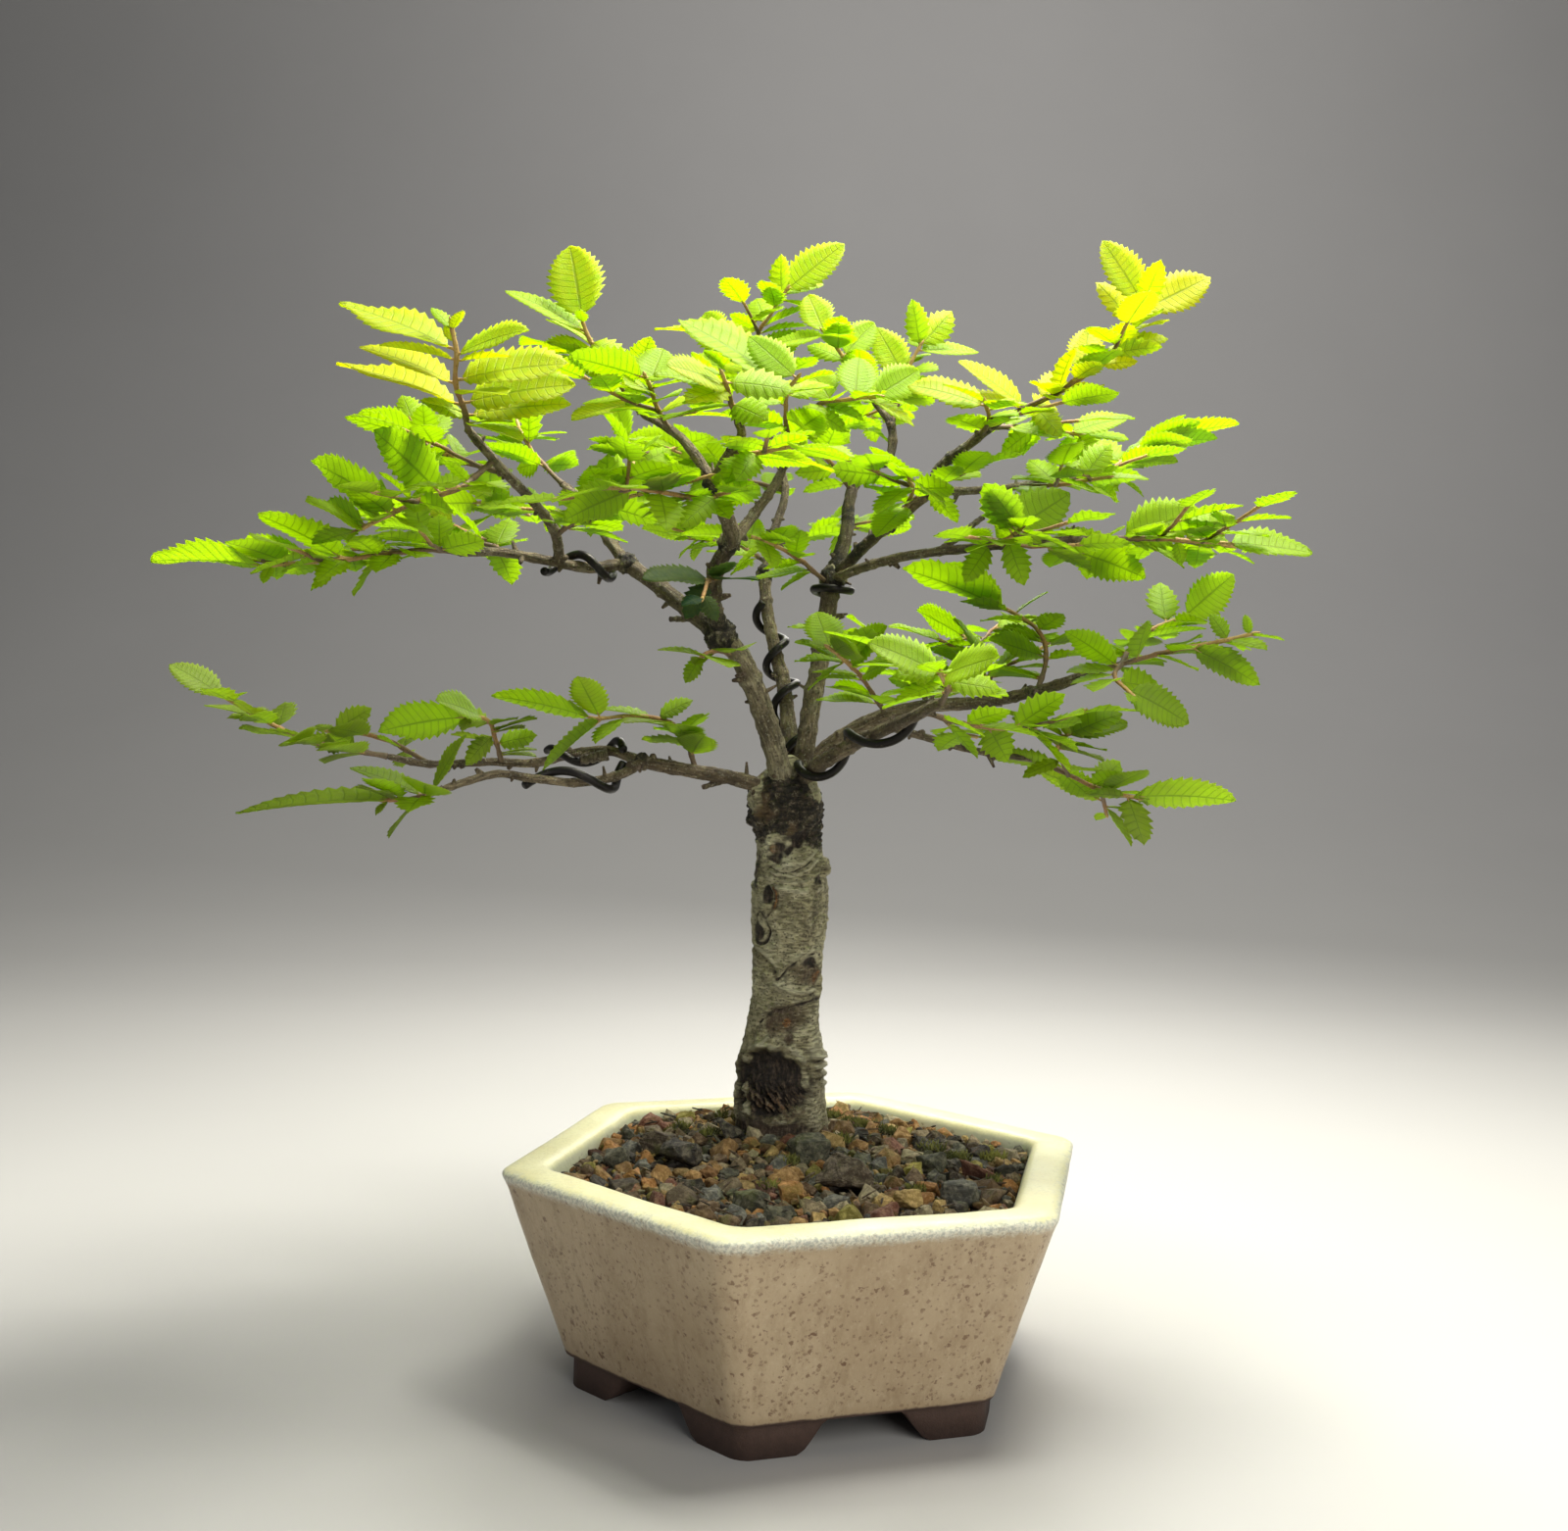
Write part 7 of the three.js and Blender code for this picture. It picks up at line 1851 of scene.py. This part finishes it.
def make_twig(spray, twig, seats):
    """A twig up to its last leaf, with a little swelling at each leaf's seat and a bud at its end."""
    curve = evenly(smooth(evenly(twig["curve"], 2.4), 3), 0.8)
    if seats:
        ends = [np.argmin(np.linalg.norm(curve - seat, axis=1)) for seat in seats]
        curve = curve[:max(4, min(len(curve), max(ends) + 2))]
    run = distances(curve)
    wander = np.array([[grain(p, 5.0, seed) for seed in (31.0, 37.0, 41.0)] for p in curve])
    curve = curve + 0.35 * wander * np.sin(np.pi * np.clip(run / run[-1], 0, 1))[:, None]
    frames = carried_frames(curve)
    sizes = []
    for i, p in enumerate(curve):
        radius = TWIG_SLIM * (twig["thick"] + (TWIG_END - twig["thick"]) * i / (len(curve) - 1))
        swell = sum(math.exp(-(np.linalg.norm(p - seat) / 0.8) ** 2) for seat in seats)
        radius *= 1 + 0.22 * min(1.0, swell) + 0.5 * math.exp(-run[i] / 1.2)
        sizes.append(radius * (1 + 0.08 * grain(p, 1.5, 3.0)))
    sizes[-1] *= 0.55
    ages = [max(0.0, 0.95 - 1.15 * at / max(run[-1], 26)) for at in np.repeat(run, TWIG_SIDES)]
    spray.take(in_bark(tube(frames, sizes, TWIG_SIDES)), [(0, 0, age) for age in ages])
    make_bud(spray, frames[-1], sizes[-1])


def make_bud(spray, end, radius):
    """A growing bud at the twig's tip."""
    p, tangent, side, up = end
    bm = bmesh.new()
    bmesh.ops.create_icosphere(bm, subdivisions=2, radius=1)
    for vert in bm.verts:
        slim = 1 - 0.55 * max(0, vert.co.z)
        vert.co.x *= slim
        vert.co.y *= slim
    size = Matrix.Diagonal((max(radius, 0.55), max(radius, 0.55), 1.5, 1))
    seat = station((p + tangent * 0.7, tangent, side, up), 1)
    bmesh.ops.transform(bm, matrix=seat @ size, verts=bm.verts[:])
    spray.take(in_bark(bm), (0, 0, 0))


def make_stalk(spray, leaf):
    """The short stalk from the twig to the foot of the blade."""
    u = np.array([0, 0.5 * STALK, STALK, 0.16])
    sink = np.array([0, 0, 0.16, 0.26])
    length, _, face = leaf.axes
    height = -LEAF_ARCH * leaf.length * u * u - sink
    curve = leaf.base + np.outer(u * leaf.length, length) + np.outer(height, face)
    radii = np.array([0.46, 0.36, 0.32, 0.12]) * (0.7 + 0.3 * leaf.length / 20)
    spray.take(in_bark(tube(carried_frames(curve), radii, 5)), (0, 0, 0.05))


def make_spray(name, twigs, leaves, blades, finishes, draw):
    spray = Gathered()
    for twig in twigs:
        make_twig(spray, twig, [leaf.base for leaf in leaves if leaf.twig is twig])
    for leaf in leaves:
        teeth = TEETH_LARGE if leaf.length > SMALL_LEAF else TEETH_SMALL
        blade, pattern = blades[teeth]
        places, tooth, v = shape_blade(leaf, pattern, teeth, draw)
        age = SHOOT_AGES_AND_SHADE.get(name, MIDDLE_AGE) + sway(draw, 0.16) + (0.05 if leaf.number is None else 0)
        if (name, leaf.number) in OLD_LEAVES:
            age = 0.66
        one = blade.copy()
        one.vertices.foreach_set("co", places.astype(np.float32).ravel())
        spray.take_mesh(one, np.column_stack([tooth, v, np.full(len(v), clamp(age))]))
        bpy.data.meshes.remove(one)
        make_stalk(spray, leaf)
    spray.finish(f"shoot_{name}", finishes, "leaf", [f"spray_{name}"])


# Studio

def make_studio(paper):
    """A pale paper sweep: the floor, and its slow rise behind the tree."""
    steps = [(-2.4, 0), (-1.2, 0), (0, 0), (0.35, 0), (0.65, 0)]
    bends = np.linspace(0.08, math.pi / 2, 18)
    steps += [(0.65 + 1.6 * math.sin(a), 1.6 - 1.6 * math.cos(a)) for a in bends]
    steps += [(2.25, 2.4), (2.25, 3.6)]
    bm = bmesh.new()
    front = bm.edges.new([bm.verts.new((x, steps[0][0], 0)) for x in (-4.0, 4.0)])
    draw_ring(bm, [front], [Matrix.Translation((0, y, z)) for y, z in steps])
    bmesh.ops.recalc_face_normals(bm, faces=bm.faces[:])
    mesh = mesh_of("paper_sweep", bm)
    mesh.materials.append(paper)
    mesh.shade_smooth()
    sweep = bpy.data.objects.new("paper_sweep", mesh)
    bpy.context.scene.collection.objects.link(sweep)


def soft_light(name, at, aim, size, power, colour):
    lamp = bpy.data.lights.new(name, "AREA")
    lamp.shape = "DISK"
    lamp.size = size
    lamp.energy = power
    lamp.color = colour
    light = bpy.data.objects.new(name, lamp)
    way = Vector(aim) - Vector(at)
    light.matrix_world = Matrix.Translation(at) @ way.to_track_quat("-Z", "Y").to_matrix().to_4x4()
    light.visible_camera = False
    bpy.context.scene.collection.objects.link(light)


def set_camera():
    lens = bpy.data.cameras.new("view")
    lens.lens = VIEW_LENS
    lens.sensor_width = 36
    lens.sensor_fit = "HORIZONTAL"
    lens.clip_start = 0.01
    view = bpy.data.objects.new("view", lens)
    at = POT_PLACE + VIEW_FROM * 0.001
    tilt = Matrix.Rotation(math.pi / 2 - VIEW_DOWN, 4, "X") @ Matrix.Rotation(VIEW_ROLL, 4, "Z")
    view.matrix_world = Matrix.Translation(at) @ tilt
    bpy.context.scene.collection.objects.link(view)
    bpy.context.scene.camera = view


# Making

set_camera()
make_pot(glazed_stoneware())
make_drain_mesh(black_mesh())
make_soil_bed(damp_soil())
make_grit(crushed_stone())
make_moss(moss())
make_tree(elm_bark())

wood = lay_wood()
wires = {name: wire_curve(*plan, wood) for name, plan in WIRES.items()}
metal = anodised_wire()
for wire_name, route in wires.items():
    make_wire(wire_name, route, metal)

twigs = lay_twigs()
straights = lay_wood()
for wire_name, route in wires.items():
    straights.put_curve(wire_name, route, WIRE)
for twig in twigs:
    straights.put_curve(twig["spray"], twig["curve"], twig["thick"])
straights.settle()
leaves = place_leaves(twigs, straights)
side_twigs = add_side_twigs(twigs, leaves, straights)
leaf_side_twigs(side_twigs, leaves, straights)
leafy = [twig for twig in side_twigs if sum(leaf.twig is twig for leaf in leaves) > 2]
leaves = [leaf for leaf in leaves if any(leaf.twig is twig for twig in twigs + leafy)]
add_small_leaves(twigs, leaves, straights)
twigs += leafy
blades = {}
for teeth in (TEETH_LARGE, TEETH_SMALL):
    blade = blade_pattern(teeth)
    blades[teeth] = (blade, place_of(blade.vertices))
leaf_finishes = [elm_leaf("elm_leaf", False), elm_leaf("elm_leaf_underside", True), young_bark()]
shape_draws = park_draws(77)
for shoot in SHOOTS:
    own_twigs = [twig for twig in twigs if twig["spray"] == shoot["name"]]
    own_leaves = [leaf for leaf in leaves if leaf.spray == shoot["name"]]
    make_spray(shoot["name"], own_twigs, own_leaves, blades, leaf_finishes, shape_draws)

make_studio(studio_paper())
soft_light("above", (0.15, 0.03, 0.73), (0.0, 0.0, 0.2), 0.34, 10.5, (1.0, 0.98, 0.88))
soft_light("front", (0.72, -1.08, 0.75), (0.0, 0.0, 0.14), 1.1, 11.5, (1.0, 0.98, 0.93))
soft_light("side", (-1.2, -0.5, 0.6), (0.0, 0.0, 0.14), 0.9, 1.4, (0.93, 0.96, 1.0))
soft_light("behind", (0.12, 0.62, 0.62), (0.0, 0.0, 0.26), 0.5, 4.2, (1.0, 0.97, 0.90))
soft_light("sweep", (0.3, 0.7, 1.7), (0.45, 2.2, 1.1), 0.7, 12, (1.0, 0.97, 0.95))
world = bpy.data.worlds.new("studio_air")
world.use_nodes = True
world.node_tree.nodes["Background"].inputs["Color"].default_value = (0.80, 0.82, 0.85, 1)
world.node_tree.nodes["Background"].inputs["Strength"].default_value = 0.12
bpy.context.scene.world = world
bpy.context.scene.view_settings.view_transform = "Standard"
